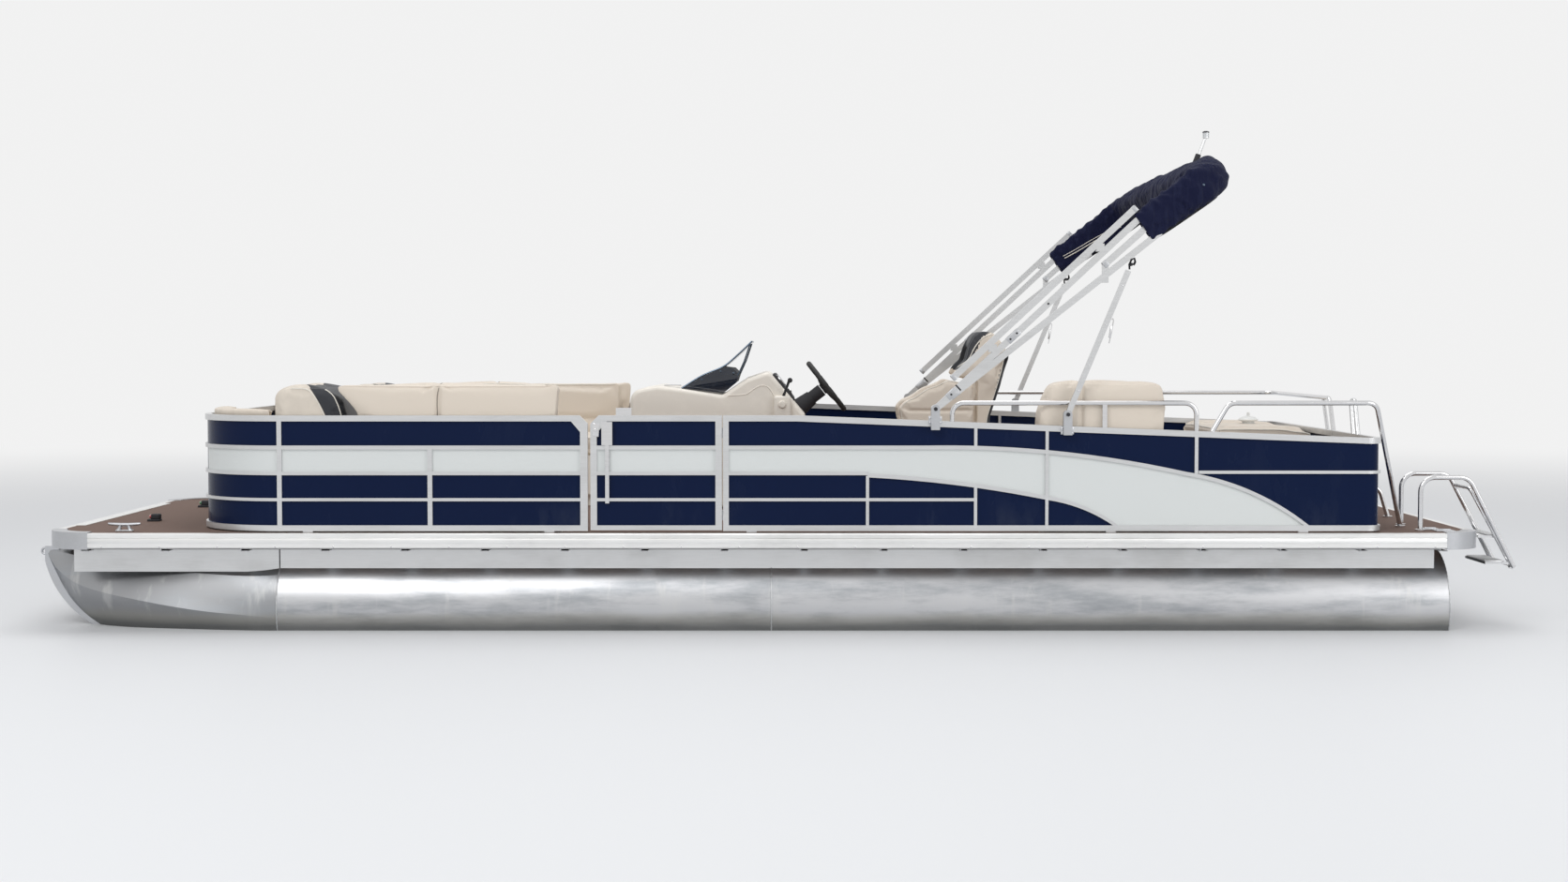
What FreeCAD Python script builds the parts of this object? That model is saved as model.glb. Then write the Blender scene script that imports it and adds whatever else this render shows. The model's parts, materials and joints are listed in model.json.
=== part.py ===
"""Pontoon boat: two aluminium tubes under a fenced deck, with seats, a helm, a stowed top and a ladder.

Millimetres. +X runs to the stern, -Y to port and +Z up; Z is 0 at the bottom of the tubes, and the origin
is midway along the whole boat. Most places along the boat are given as stations, measured aft from the
bow edge of the deck; at() turns a station into X. Pieces that come in pairs are drawn for the starboard
side, where +Y is outboard, and mirrored to port.
"""
import FreeCAD, Part

import math
import os

Vec = FreeCAD.Vector
X_AXIS, Y_AXIS, Z_AXIS = Vec(1, 0, 0), Vec(0, 1, 0), Vec(0, 0, 1)

# ---------------------------------------------------------------- driving dimensions
DECK_LENGTH = 7340.0        # over the bow and stern rails
DECK_WIDTH = 2590.0         # over the rub rails
DECK_BOARD = 19.0           # thickness of the deck board
NOSE_REACH = 110.0          # tow eye ahead of the deck
LADDER_REACH = 210.0        # ladder foot behind the deck

TUBE_RADIUS = 292.0
TUBE_OFFSET = 930.0         # tube centre from the boat's centre line
TUBE_SETBACK = 158.0        # tube's stern seam ahead of the deck's stern edge
TUBE_DISH = 50.0            # how far the stern cap bulges
NOSE_WELD = 1187.0          # station where the nosecone meets the tube
CROSSMEMBER_HEIGHT = 76.0
RISER_HEIGHT = 13.0         # riser's top above the tube's top
RUB_RAIL_HEIGHT = 78.0
RUB_RAIL_DEPTH = 40.0
BOW_CORNER, STERN_CORNER = 250.0, 200.0     # radii of the deck's corner castings

FENCE_INSET = 60.0          # outer face of the fence inboard of the rub rail
FENCE_DEPTH = 32.0          # thickness of the fence's bars
FENCE_BOW = 730.0           # station of the bow fence's outer face
FENCE_BOW_RADIUS = 470.0
STERN_DECK = 506.0          # open deck behind the stern fence
FENCE_STERN_RADIUS = 80.0
FENCE_FOOT = 8.0            # gap between the fence and the deck
FENCE_HEIGHT = 597.0        # top of the fence above the deck, forward
STERN_DROP = 114.0          # how much lower the fence is at the stern
DROP_START = 3847.0         # station where the top rail starts to slope down
SHEET = 4.0                 # thickness of a fence's panels
SHEET_INSET = 12.0          # panel behind the outer face of the bars

GATE_START, GATE_END = 2795.0, 3464.0       # stations of the side gate
GATE_GAP = 14.0             # gap on its latch side
HINGE_GAP = 6.0             # gap on its hinge side
GATE_LIFT = 12.0            # gate above the deck
BOW_GATE_HALF = 345.0       # half the bow gate's width
STERN_GATE = (300.0, 855.0)                 # the stern gate's edges, to port of the centre line

SEAT_HEIGHT = 420.0         # top of the seat cushions above the deck
SEAT_DEPTH = 595.0
SEAT_CUSHION = 120.0
BACK_THICK = 150.0
FIT = 6.0                   # clearance between furniture and fence

PIPE = 12.5                 # radius of the guard rails and the ladder's rails
GUARD_RISE = 63.0           # guard rail's centre line above the fence's forward top
TOP_BAR = 32.0              # square tube of the folding top

# ---------------------------------------------------------------- worked out from them
BOW_X = -(DECK_LENGTH + NOSE_REACH + LADDER_REACH) / 2 + NOSE_REACH
HALF_WIDTH = DECK_WIDTH / 2
RISER_TOP = 2 * TUBE_RADIUS + RISER_HEIGHT
BOARD_BOTTOM = RISER_TOP + CROSSMEMBER_HEIGHT
DECK = BOARD_BOTTOM + DECK_BOARD            # height of the deck's surface
FENCE_SIDE = HALF_WIDTH - FENCE_INSET       # outer face of the side fences
FENCE_INNER = FENCE_SIDE - FENCE_DEPTH
FENCE_TOP = DECK + FENCE_HEIGHT
STERN_TOP = FENCE_TOP - STERN_DROP
ARC_START = FENCE_BOW + FENCE_BOW_RADIUS
TUBE_STERN = DECK_LENGTH - TUBE_SETBACK         # station of the tube's stern seam
FENCE_STERN = DECK_LENGTH - STERN_DECK          # station of the stern fence's outer face
STERN_ARC = FENCE_STERN - FENCE_STERN_RADIUS
GUARD_Z = FENCE_TOP + GUARD_RISE
PANEL_END = GATE_START - GATE_GAP
AFT_START = GATE_END + HINGE_GAP
STERN_SPLIT = HINGE_GAP - STERN_GATE[0]     # Y where the stern fence's starboard part ends

# Heights of the fence's level bars above the deck: bottom edge, top edge.
BARS = {"foot": (FENCE_FOOT, 37.0), "low": (160.0, 176.0), "middle": (293.0, 311.0),
        "high": (424.0, 444.0), "top": (FENCE_HEIGHT - 30.0, FENCE_HEIGHT)}

# Rows of holes for the motor's bolts: distance between the pair, height.
BOLT_ROWS = ((327.0, RISER_TOP - 60.0), (250.8, RISER_TOP - 263.0))
BOLT_RADIUS = 6.75

parts = {}


# ---------------------------------------------------------------- shape helpers
def at(station):
    """X of a station, which is measured aft from the bow edge of the deck."""
    return BOW_X + station


def keep(name, *shapes):
    """Add solids to the node called name."""
    solids = [solid for shape in shapes for solid in shape.Solids]
    parts.setdefault(name, []).extend(solids)


def both_sides(name, *shapes):
    """Add shapes drawn for starboard, and their mirror images to port, to one node."""
    keep(name, *shapes)
    keep(name, *[to_port(shape) for shape in shapes])


def to_port(shape):
    """Mirror a shape drawn for starboard to the port side."""
    return shape.mirror(Vec(0, 0, 0), Y_AXIS)


def block(station, y, z):
    """Box from pairs of low and high station, Y and Z."""
    size = [high - low for low, high in (station, y, z)]
    return Part.makeBox(*size, Vec(at(station[0]), y[0], z[0]))


def rod(start, end, radius):
    """Round bar between two points."""
    axis = end - start
    return Part.makeCylinder(radius, axis.Length, start, axis)


def join(shapes):
    """Fuse touching shapes into one clean solid."""
    return shapes[0].multiFuse(shapes[1:]).removeSplitter() if len(shapes) > 1 else shapes[0]


def wire_of(points):
    """Closed wire through points; an item that holds two points is an arc through them."""
    edges, last = [], points[0]
    for item in points[1:] + [points[0]]:
        if isinstance(item, tuple):
            edges.append(Part.Arc(last, item[0], item[1]).toShape())
            last = item[1]
        else:
            edges.append(Part.LineSegment(last, item).toShape())
            last = item
    return Part.Wire(edges)


def side_plate(outline, y_low, y_high):
    """Plate whose side view is an outline of (station, z) points, and of pairs of them for arcs."""
    def place(point):
        return Vec(at(point[0]), y_low, point[1])
    points = [tuple(place(p) for p in item) if isinstance(item[0], tuple) else place(item)
              for item in outline]
    return Part.Face(wire_of(points)).extrude(Vec(0, y_high - y_low, 0))


def cross_plate(outline, start, end):
    """Bar whose end view is an outline of (y, z) points, run between two stations."""
    points = [Vec(at(start), y, z) for y, z in outline]
    return Part.Face(wire_of(points)).extrude(Vec(end - start, 0, 0))


def pipe_path(points, bend):
    """Wire of straight runs through points, with its corners rounded to a bend radius."""
    edges, start = [], points[0]
    for before, corner, after in zip(points, points[1:], points[2:]):
        back, ahead = (before - corner).normalize(), (after - corner).normalize()
        half = back.getAngle(ahead) / 2
        middle = (back + ahead).normalize()
        enter, leave = corner + back * (bend / math.tan(half)), corner + ahead * (bend / math.tan(half))
        crown = corner + middle * (bend / math.sin(half) - bend)
        edges += [Part.LineSegment(start, enter).toShape(), Part.Arc(enter, crown, leave).toShape()]
        start = leave
    edges.append(Part.LineSegment(start, points[-1]).toShape())
    return Part.Wire(edges)


def pipe(points, bend, radius=PIPE):
    """Round pipe bent along points."""
    path = pipe_path(points, bend)
    ring = Part.Wire([Part.makeCircle(radius, points[0], points[1] - points[0])])
    return path.makePipeShell([ring], True, True)


# ---------------------------------------------------------------- hull
def keel_height(station):
    """Height of the nosecone's keel: a quarter ellipse that rises from the tube's bottom to the stem."""
    rise, run = 600.0, 960.0
    along = max(0.0, (880.0 - station) / run)
    return rise * (1 - math.sqrt(max(0.0, 1 - along ** 2)))


def nosecone():
    """Starboard nosecone: sections with a keel, a spray ridge and a crease, drawn to a narrow stem."""
    top = 2 * TUBE_RADIUS
    on_tube = [(math.sqrt(TUBE_RADIUS ** 2 - (z - TUBE_RADIUS) ** 2), z) for z in (248.0, 470.0)]
    sections = [        # station, ridge half-width and height, crease half-width and height
        (NOSE_WELD, on_tube[0][0], on_tube[0][1], on_tube[1][0], on_tube[1][1]),
        (820.0, 276.0, 285.0, 205.0, 470.0),
        (480.0, 222.0, 333.0, 140.0, 492.0),
        (200.0, 136.0, 382.0, 78.0, 530.0),
        (20.0, 60.0, 455.0, 36.0, 565.0),
        (-70.0, 14.0, 562.0, 10.0, 576.0)]
    wires = []
    for station, ridge_w, ridge_z, crease_w, crease_z in sections:
        x, keel = at(station), keel_height(station)
        bulge = 0.2071 * (1 if station == NOSE_WELD else 0.55)
        def arc(first, second, amount):
            middle = (first + second) * 0.5
            out = Vec(0, middle.y, middle.z - TUBE_RADIUS).normalize()
            return Part.Arc(first, middle + out * amount * (second - first).Length, second).toShape()
        def on_circle(first, second):
            centre = Vec(x, 0, TUBE_RADIUS)
            out = ((first + second) * 0.5 - centre).normalize()
            return Part.Arc(first, centre + out * TUBE_RADIUS, second).toShape()
        corners = [Vec(x, 0, keel), Vec(x, ridge_w, ridge_z), Vec(x, crease_w, crease_z), Vec(x, 0, top),
                   Vec(x, -crease_w, crease_z), Vec(x, -ridge_w, ridge_z), Vec(x, 0, keel)]
        pairs = zip(corners, corners[1:])
        if station == NOSE_WELD:
            edges = [on_circle(a, b) for a, b in pairs]
        else:
            amounts = (bulge, 0.02, 0.05, 0.05, 0.02, bulge)
            edges = [arc(a, b, amount) for (a, b), amount in zip(pairs, amounts)]
        wires.append(Part.Wire(edges))
    cone = Part.makeLoft(wires, True, False)
    cone.translate(Vec(0, TUBE_OFFSET, 0))
    return cone


def stem_strip(cone):
    """Rub strip down the stem, with the tow eye at its top."""
    width, proud, sunk = 30.0, 14.0, 60.0
    stations = (-70.0, -16.0, 149.0, 420.0, 860.0)
    keel = [(s, keel_height(s)) for s in stations]
    inner = [(s + sunk, z + sunk * 0.6) for s, z in keel]
    outer = [(keel[0][0] - proud, keel[0][1] + 6)] + [(s - proud * 0.8, max(0.5, z - proud * 0.7))
                                                     for s, z in keel[1:]]
    outline = [(outer[0][0], 2 * TUBE_RADIUS + 12), outer[0], (outer[1], outer[2]), (outer[3], outer[4]),
               inner[4], (inner[3], inner[2]), (inner[1], inner[0]), (inner[0][0], 2 * TUBE_RADIUS + 12)]
    strip = side_plate(outline, TUBE_OFFSET - width / 2, TUBE_OFFSET + width / 2).cut(cone)
    biggest = max(strip.Solids, key=lambda solid: solid.Volume)
    eye_z, eye_thick = 570.0, 12.0
    eye = Part.makeTorus(16.0, 6.0, Vec(at(-NOSE_REACH + 22), TUBE_OFFSET, eye_z), Y_AXIS)
    stub = block((-NOSE_REACH + 36, -70.0), (TUBE_OFFSET - eye_thick / 2, TUBE_OFFSET + eye_thick / 2),
                 (eye_z - eye_thick / 2, eye_z + eye_thick / 2))
    return join([biggest, eye.cut(cone), stub.cut(cone)])


def tube():
    """Starboard tube with its dished stern cap."""
    ends = [Vec(at(station), TUBE_OFFSET, TUBE_RADIUS) for station in (NOSE_WELD, TUBE_STERN)]
    barrel = rod(*ends, TUBE_RADIUS)
    dish_radius = (TUBE_RADIUS ** 2 + TUBE_DISH ** 2) / (2 * TUBE_DISH)
    rim_angle = math.degrees(math.asin((dish_radius - TUBE_DISH) / dish_radius))
    centre = Vec(at(TUBE_STERN) + TUBE_DISH - dish_radius, TUBE_OFFSET, TUBE_RADIUS)
    return join([barrel, Part.makeSphere(dish_radius, centre, X_AXIS, rim_angle, 90.0, 360.0)])


def riser(obstacles):
    """Starboard riser: a hat-shaped bracket that carries the deck on the tube."""
    wall, reach, lip_z = 5.0, 205.0, TUBE_RADIUS + 190.0
    start, gap = 130.0, 3.0
    pieces = []
    for first, last in ((start, NOSE_WELD - gap), (NOSE_WELD + gap, TUBE_STERN - 60.0)):
        outline = [(-reach, lip_z), (-reach, RISER_TOP), (reach, RISER_TOP), (reach, lip_z),
                   (reach - wall, lip_z), (reach - wall, RISER_TOP - wall), (wall - reach, RISER_TOP - wall),
                   (wall - reach, lip_z)]
        hat = cross_plate([(TUBE_OFFSET + y, z) for y, z in outline], first, last)
        hat = hat.cut(obstacles[0]).cut(obstacles[1])
        pieces.append(max(hat.Solids, key=lambda solid: solid.Volume))
    return pieces


def crossmembers():
    """Channels across the tubes that carry the deck board."""
    first, last, count, flange, wall = 200.0, DECK_LENGTH - 220.0, 18, 38.0, 4.0
    half = HALF_WIDTH - RUB_RAIL_DEPTH - 8.0
    for index in range(count):
        station = first + (last - first) * index / (count - 1)
        outer = block((station, station + flange), (-half, half), (RISER_TOP, BOARD_BOTTOM))
        hollow = block((station + wall, station + flange), (-half, half),
                       (RISER_TOP + wall, BOARD_BOTTOM - wall))
        keep("crossmembers", outer.cut(hollow))


def corner_ring(radius, inset, z_low, z_high, bow, width):
    """Quarter ring of a deck corner on the starboard side."""
    centre_station = radius if bow else DECK_LENGTH - radius
    centre = Vec(at(centre_station), HALF_WIDTH - radius, z_low)
    ring = Part.makeCylinder(radius - inset, z_high - z_low, centre)
    if width:
        ring = ring.cut(Part.makeCylinder(radius - inset - width, z_high - z_low, centre))
    side = (centre_station - radius, centre_station) if bow else (centre_station, centre_station + radius)
    return ring.common(block(side, (HALF_WIDTH - radius, HALF_WIDTH), (z_low, z_high)))


def deck_board():
    """Deck board inside the rails, with its corners rounded to the castings."""
    inset = RUB_RAIL_DEPTH
    half = HALF_WIDTH - inset
    board = block((inset, DECK_LENGTH - inset), (-half, half), (BOARD_BOTTOM, DECK))
    for radius, bow in ((BOW_CORNER, True), (STERN_CORNER, False)):
        span = (0, radius) if bow else (DECK_LENGTH - radius, DECK_LENGTH)
        corner = block(span, (HALF_WIDTH - radius, HALF_WIDTH), (BOARD_BOTTOM, DECK))
        corner = corner.cut(corner_ring(radius, inset, BOARD_BOTTOM, DECK, bow, 0))
        board = board.cut(corner).cut(to_port(corner))
    return board


def rail_profile():
    """End view of a rub rail as (distance in from its face, height above its bottom) points."""
    groove, height = 3.0, RUB_RAIL_HEIGHT
    return [(RUB_RAIL_DEPTH, 0), (6, 0), (0, 6), (0, 26), (groove, 29), (0, 32), (0, 50), (groove, 53),
            (0, 56), (0, height - 5), (5, height), (RUB_RAIL_DEPTH, height)]


def rub_rails():
    """Extruded rails round the deck, between the corner castings."""
    low = DECK - RUB_RAIL_HEIGHT
    side = cross_plate([(HALF_WIDTH - depth, low + z) for depth, z in rail_profile()],
                       BOW_CORNER, DECK_LENGTH - STERN_CORNER)
    both_sides("rub_rails", side)
    for station, inward, corner in ((0, 1, BOW_CORNER), (DECK_LENGTH, -1, STERN_CORNER)):
        half = HALF_WIDTH - corner
        outline = [(station + inward * depth, low + z) for depth, z in rail_profile()]
        keep("rub_rails", side_plate(outline, -half, half))


def corner_castings():
    """Cast corners that join the rub rails, with a flat lip over the deck."""
    low, lip, lip_width = DECK - RUB_RAIL_HEIGHT - 4.0, 5.0, 75.0
    for radius, bow in ((BOW_CORNER, True), (STERN_CORNER, False)):
        wall = corner_ring(radius, 0, low, DECK, bow, RUB_RAIL_DEPTH)
        cap = corner_ring(radius, 0, DECK, DECK + lip, bow, lip_width)
        both_sides("corner_castings", join([wall, cap]))


def motor_pod():
    """Mounting pod for an outboard motor: a drilled transom on two side plates under the deck."""
    plate, half, foot, step = 8.0, 260.0, 190.0, 60.0
    start, end, board_thick = DECK_LENGTH - 860.0, DECK_LENGTH - 50.0, 45.0
    flank = [(start, RISER_TOP), (end, RISER_TOP), (end, foot), (end - board_thick, foot),
             (start + 300, foot + step)]
    sides = [side_plate(flank, y, y + plate) for y in (-half, half - plate)]
    board = block((end - board_thick, end), (plate - half, half - plate), (foot, RISER_TOP))
    floor = side_plate([(start + 300, foot + step), (end - board_thick, foot),
                        (end - board_thick, foot + plate),
                        (start + 300, foot + step + plate)], plate - half, half - plate)
    pod = join(sides + [board, floor])
    for spread, z in BOLT_ROWS:
        for y in (-spread / 2, spread / 2):
            pod = pod.cut(rod(Vec(at(end - 2 * board_thick), y, z), Vec(at(end + plate), y, z), BOLT_RADIUS))
    return pod


def build_hull():
    """Tubes, nosecones, risers, deck and rails."""
    cone, barrel = nosecone(), tube()
    keep("starboard_tube", barrel)
    keep("port_tube", to_port(barrel))
    both_sides("nosecones", cone)
    both_sides("stem_strips", stem_strip(cone))
    both_sides("risers", *riser((cone, barrel)))
    crossmembers()
    keep("deck", deck_board())
    rub_rails()
    corner_castings()
    keep("motor_pod", motor_pod())


# ---------------------------------------------------------------- fences
def bow_band(outer, inner, z_low, z_high, side_end, centre_edge):
    """Starboard half of a band that follows the bow fence's plan.

    outer and inner are distances in from the fence's outer face; the band runs from a station on the side,
    round the bow's corner, to a distance from the centre line.
    """
    def face_line(inset):
        radius = FENCE_BOW_RADIUS - inset
        centre = Vec(at(ARC_START), FENCE_SIDE - FENCE_BOW_RADIUS, 0)
        slant = Vec(-math.sqrt(0.5), math.sqrt(0.5), 0)
        return (Vec(at(side_end), FENCE_SIDE - inset, 0), centre + Y_AXIS * radius, centre + slant * radius,
                centre - X_AXIS * radius, Vec(at(FENCE_BOW + inset), centre_edge, 0))
    far, near = face_line(outer), face_line(inner)
    edges = []
    for side, top, crown, front, end in (far, near):
        edges += [Part.LineSegment(side, top).toShape(), Part.Arc(top, crown, front).toShape(),
                  Part.LineSegment(front, end).toShape()]
    edges += [Part.LineSegment(far[0], near[0]).toShape(), Part.LineSegment(far[4], near[4]).toShape()]
    face = Part.Face(Part.Wire(Part.__sortEdges__(edges)))
    band = face.extrude(Vec(0, 0, z_high - z_low))
    band.translate(Vec(0, 0, z_low))
    return band


def stern_band(outer, inner, z_low, z_high, centre_edge):
    """Band that follows the stern fence's plan, from its corner to a distance from the centre."""
    radius = FENCE_STERN_RADIUS
    def face_line(inset):
        centre = Vec(at(STERN_ARC), FENCE_SIDE - radius, 0)
        slant = Vec(math.sqrt(0.5), math.sqrt(0.5), 0)
        return (centre + Y_AXIS * (radius - inset), centre + slant * (radius - inset),
                centre + X_AXIS * (radius - inset), Vec(at(FENCE_STERN - inset), centre_edge, 0))
    far, near = face_line(outer), face_line(inner)
    edges = []
    for top, crown, back, end in (far, near):
        edges += [Part.Arc(top, crown, back).toShape(), Part.LineSegment(back, end).toShape()]
    edges += [Part.LineSegment(far[0], near[0]).toShape(), Part.LineSegment(far[3], near[3]).toShape()]
    face = Part.Face(Part.Wire(Part.__sortEdges__(edges)))
    band = face.extrude(Vec(0, 0, z_high - z_low))
    band.translate(Vec(0, 0, z_low))
    return band


def level(name):
    """Bottom and top heights of a level bar of the fence."""
    return DECK + BARS[name][0], DECK + BARS[name][1]


def top_edge(station):
    """Height of the fence's top, which slopes down to the stern."""
    slope = STERN_DROP / (STERN_ARC - DROP_START)
    return FENCE_TOP - max(0.0, station - DROP_START) * slope


def upright(station, width, z_low, z_high):
    """Upright bar of a side fence, from its bow-side edge."""
    return block((station, station + width), (FENCE_INNER, FENCE_SIDE), (z_low, z_high))


def level_bar(name, start, end):
    """Level bar of a side fence between two stations."""
    return block((start, end), (FENCE_INNER, FENCE_SIDE), level(name))


def feet(stations):
    """Small feet that hold a side fence off the deck."""
    length = 50.0
    return [block((s, s + length), (FENCE_INNER, FENCE_SIDE), (DECK, DECK + FENCE_FOOT)) for s in stations]


def clipped_corner(station, inward):
    """Wedge outside a fence's top corner; inward is +1 where the fence lies aft of the station."""
    clip = 42.0
    far = station + inward * clip
    top = FENCE_TOP + 1.0
    edge = station - inward
    outline = [(edge, top), (far, top), (far, FENCE_TOP), (station, FENCE_TOP - clip),
               (edge, FENCE_TOP - clip)]
    return side_plate(outline, FENCE_INNER - 1, FENCE_SIDE + 1)


def corner_bar(station, inward):
    """Slanted bar across a fence's clipped top corner."""
    clip, wide = 42.0, 42.0
    return side_plate([(station, FENCE_TOP - clip), (station + inward * clip, FENCE_TOP),
                       (station + inward * (clip + wide), FENCE_TOP),
                       (station + inward * (clip + wide), FENCE_TOP - 30),
                       (station + inward * 38, FENCE_TOP - clip - wide), (station, FENCE_TOP - clip - wide)],
                      FENCE_INNER, FENCE_SIDE)


def bow_fence(side_end, clipped):
    """Frame of the bow fence's starboard half, aft to a station."""
    post, stile = 24.0, 38.0
    gate_post = BOW_GATE_HALF + HINGE_GAP
    bars = [bow_band(0, FENCE_DEPTH, *level(name), side_end, gate_post) for name in BARS]
    bottom, top = DECK + BARS["foot"][0], FENCE_TOP
    bars += [upright(ARC_START, post, bottom, top), upright(1966.0, post, bottom, level("high")[0]),
             upright(side_end - stile, stile, bottom, top)]
    front = (FENCE_BOW, FENCE_BOW + FENCE_DEPTH)
    corner = FENCE_SIDE - FENCE_BOW_RADIUS
    bars.append(block(front, (corner - 36, corner), (bottom, top)))
    bars.append(block(front, (gate_post, gate_post + stile), (bottom, top)))
    bars += feet((1330.0, 2560.0))
    bars.append(block(front, (gate_post, gate_post + stile), (DECK, bottom)))
    if clipped:
        bars.append(corner_bar(side_end, -1))
    frame = join(bars)
    return frame.cut(clipped_corner(side_end, -1)) if clipped else frame


def bow_sheets(side_end, clipped, frame):
    """Blue and grey panels between the bars of the bow fence's starboard half."""
    bottom, top = DECK + BARS["foot"][1] - 1, FENCE_TOP - 15
    skin = (SHEET_INSET, SHEET_INSET + SHEET)
    whole = bow_band(*skin, bottom, top, side_end - 10, BOW_GATE_HALF + HINGE_GAP + 10)
    if clipped:
        whole = whole.cut(clipped_corner(side_end, -1))
    grey_start = FENCE_BOW + 45.0       # the grey band starts part of the way round the corner
    grey = whole.common(block((grey_start, side_end), (0, HALF_WIDTH), level_gap("middle", "high")))
    return whole.cut(grey).cut(frame), grey.cut(frame)


def level_gap(lower, upper):
    """Heights between two level bars of the fence, to the middle of each."""
    return sum(level(lower)) / 2, sum(level(upper)) / 2


# The grey sweep's edges aft: station and height above the deck, as a start and (through, end) arcs.
UPPER_SWEEP = [(4500.0, 434.0), ((5118.0, 411.0), (5831.0, 299.0)), ((6150.0, 208.0), (6460.0, 22.0))]
LOWER_SWEEP = [(4205.0, 292.0), ((4660.0, 252.0), (5118.0, 177.0)), ((5329.0, 117.0), (5490.0, 22.0))]
SWEEP_BAR = 20.0


def raised(outline, shift):
    """An edge's points at their real height, moved up or down by a shift."""
    lift = DECK + shift
    return [tuple((s, z + lift) for s, z in item) if isinstance(item[0], tuple) else (item[0], item[1] + lift)
            for item in outline]


def reversed_edge(outline):
    """The same edge, drawn from its end to its start."""
    ends = [item[1] if isinstance(item[0], tuple) else item for item in outline]
    back = [ends[-1]]
    for index in range(len(outline) - 1, 0, -1):
        back.append((outline[index][0], ends[index - 1]))
    return back


def sweep_bar(outline):
    """Aluminium trim along an edge of the grey sweep."""
    band = raised(outline, SWEEP_BAR / 2) + reversed_edge(raised(outline, -SWEEP_BAR / 2))
    return side_plate(band, FENCE_INNER + 6, FENCE_SIDE)


def below_sweep(outline, start):
    """Region of the side fence that lies below an edge and aft of a station."""
    first, last = raised(outline, 0)[0], raised(outline, 0)[-1][1]
    low = DECK - 20
    region = [(start, first[1])] + raised(outline, 0) + [(last[0], low), (start, low)]
    return side_plate(region, FENCE_INNER, FENCE_SIDE)


UPPER_START = LOWER_SWEEP[0][0] + 2


def aft_fence(start, y_end):
    """Frame of the starboard side fence from a station to the stern, and across to y_end."""
    stile, thin, post = 29.0, 16.0, 34.0
    bottom = DECK + BARS["foot"][0]
    slope = side_plate([(start, FENCE_TOP), (DROP_START, FENCE_TOP), (STERN_ARC, STERN_TOP),
                        (STERN_ARC, STERN_TOP - 30), (DROP_START, FENCE_TOP - 30), (start, FENCE_TOP - 30)],
                       FENCE_INNER, FENCE_SIDE)
    rear_level = DECK + 300.0, DECK + 316.0
    bars = [slope, level_bar("foot", start, STERN_ARC), level_bar("low", start, 4763.0),
            level_bar("middle", start, UPPER_START), level_bar("high", start, UPPER_SWEEP[0][0] + 2),
            block((5890.0, STERN_ARC), (FENCE_INNER, FENCE_SIDE), rear_level),
            upright(start, stile, bottom, FENCE_TOP - 10), upright(4197.0, thin, bottom, DECK + 290),
            upright(4747.0, thin, bottom, DECK + 250),
            upright(4747.0, thin, DECK + 430, top_edge(4755.0) - 10),
            upright(5110.0, thin, bottom, top_edge(5118.0) - 10),
            upright(5869.0, 18.0, DECK + 300, top_edge(5878.0) - 10),
            sweep_bar(UPPER_SWEEP), sweep_bar(LOWER_SWEEP)]
    for z_low, z_high in (level("foot"), rear_level, (STERN_TOP - 30, STERN_TOP)):
        bars.append(stern_band(0, FENCE_DEPTH, z_low, z_high, y_end))
    back = (FENCE_STERN - FENCE_DEPTH, FENCE_STERN)
    bars.append(block(back, (y_end, y_end + post), (DECK, STERN_TOP)))
    bars += feet((3590.0, 5420.0, 6400.0))
    return join(bars)


def aft_sheets(start, y_end, frame):
    """Blue and grey panels between the bars of the aft fence's starboard half."""
    low, y_range = DECK + BARS["foot"][1] - 1, (FENCE_SIDE - SHEET_INSET - SHEET, FENCE_SIDE - SHEET_INSET)
    side = side_plate([(start + 10, low), (STERN_ARC, low), (STERN_ARC, STERN_TOP - 15),
                       (DROP_START, FENCE_TOP - 15), (start + 10, FENCE_TOP - 15)], *y_range)
    corner = stern_band(SHEET_INSET, SHEET_INSET + SHEET, low, STERN_TOP - 15, y_end + 10)
    band = below_sweep(UPPER_SWEEP, start).cut(below_sweep(LOWER_SWEEP, start))
    grey = side.common(band)
    return side.cut(band).fuse(corner).removeSplitter().cut(frame), grey.cut(frame)


def large(shape, smallest=4000.0):
    """The solids of a cut that are real pieces, without its slivers."""
    return Part.makeCompound([solid for solid in shape.Solids if solid.Volume > smallest])


def build_fences():
    """Both bow and aft fences, with their panels; the side gate opens in the port one."""
    starboard_end = GATE_START + 60.0
    for side, end, aft_start, aft_end in (("port", PANEL_END, AFT_START, STERN_GATE[1] + HINGE_GAP),
                                          ("starboard", starboard_end, starboard_end + 4.0, STERN_SPLIT)):
        place = to_port if side == "port" else (lambda shape: shape)
        bow = bow_fence(end, side == "port")
        aft = aft_fence(aft_start, aft_end)
        keep(side + "_bow_fence", place(bow))
        keep(side + "_aft_fence", place(aft))
        for kind, sheets in (("bow", bow_sheets(end, side == "port", bow)),
                             ("aft", aft_sheets(aft_start, aft_end, aft))):
            for colour, shape in zip(("blue", "grey"), sheets):
                keep(kind + "_" + colour + "_panels", place(large(shape)))


# ---------------------------------------------------------------- gates and guard rails
HINGE_PIN, HINGE_BARREL, HINGE_FIT = 4.0, 8.0, 0.05
HINGE_BACK = 9.0            # hinge axis inboard of the fence's inner face
HINGE_LEAF = 4.0


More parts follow.
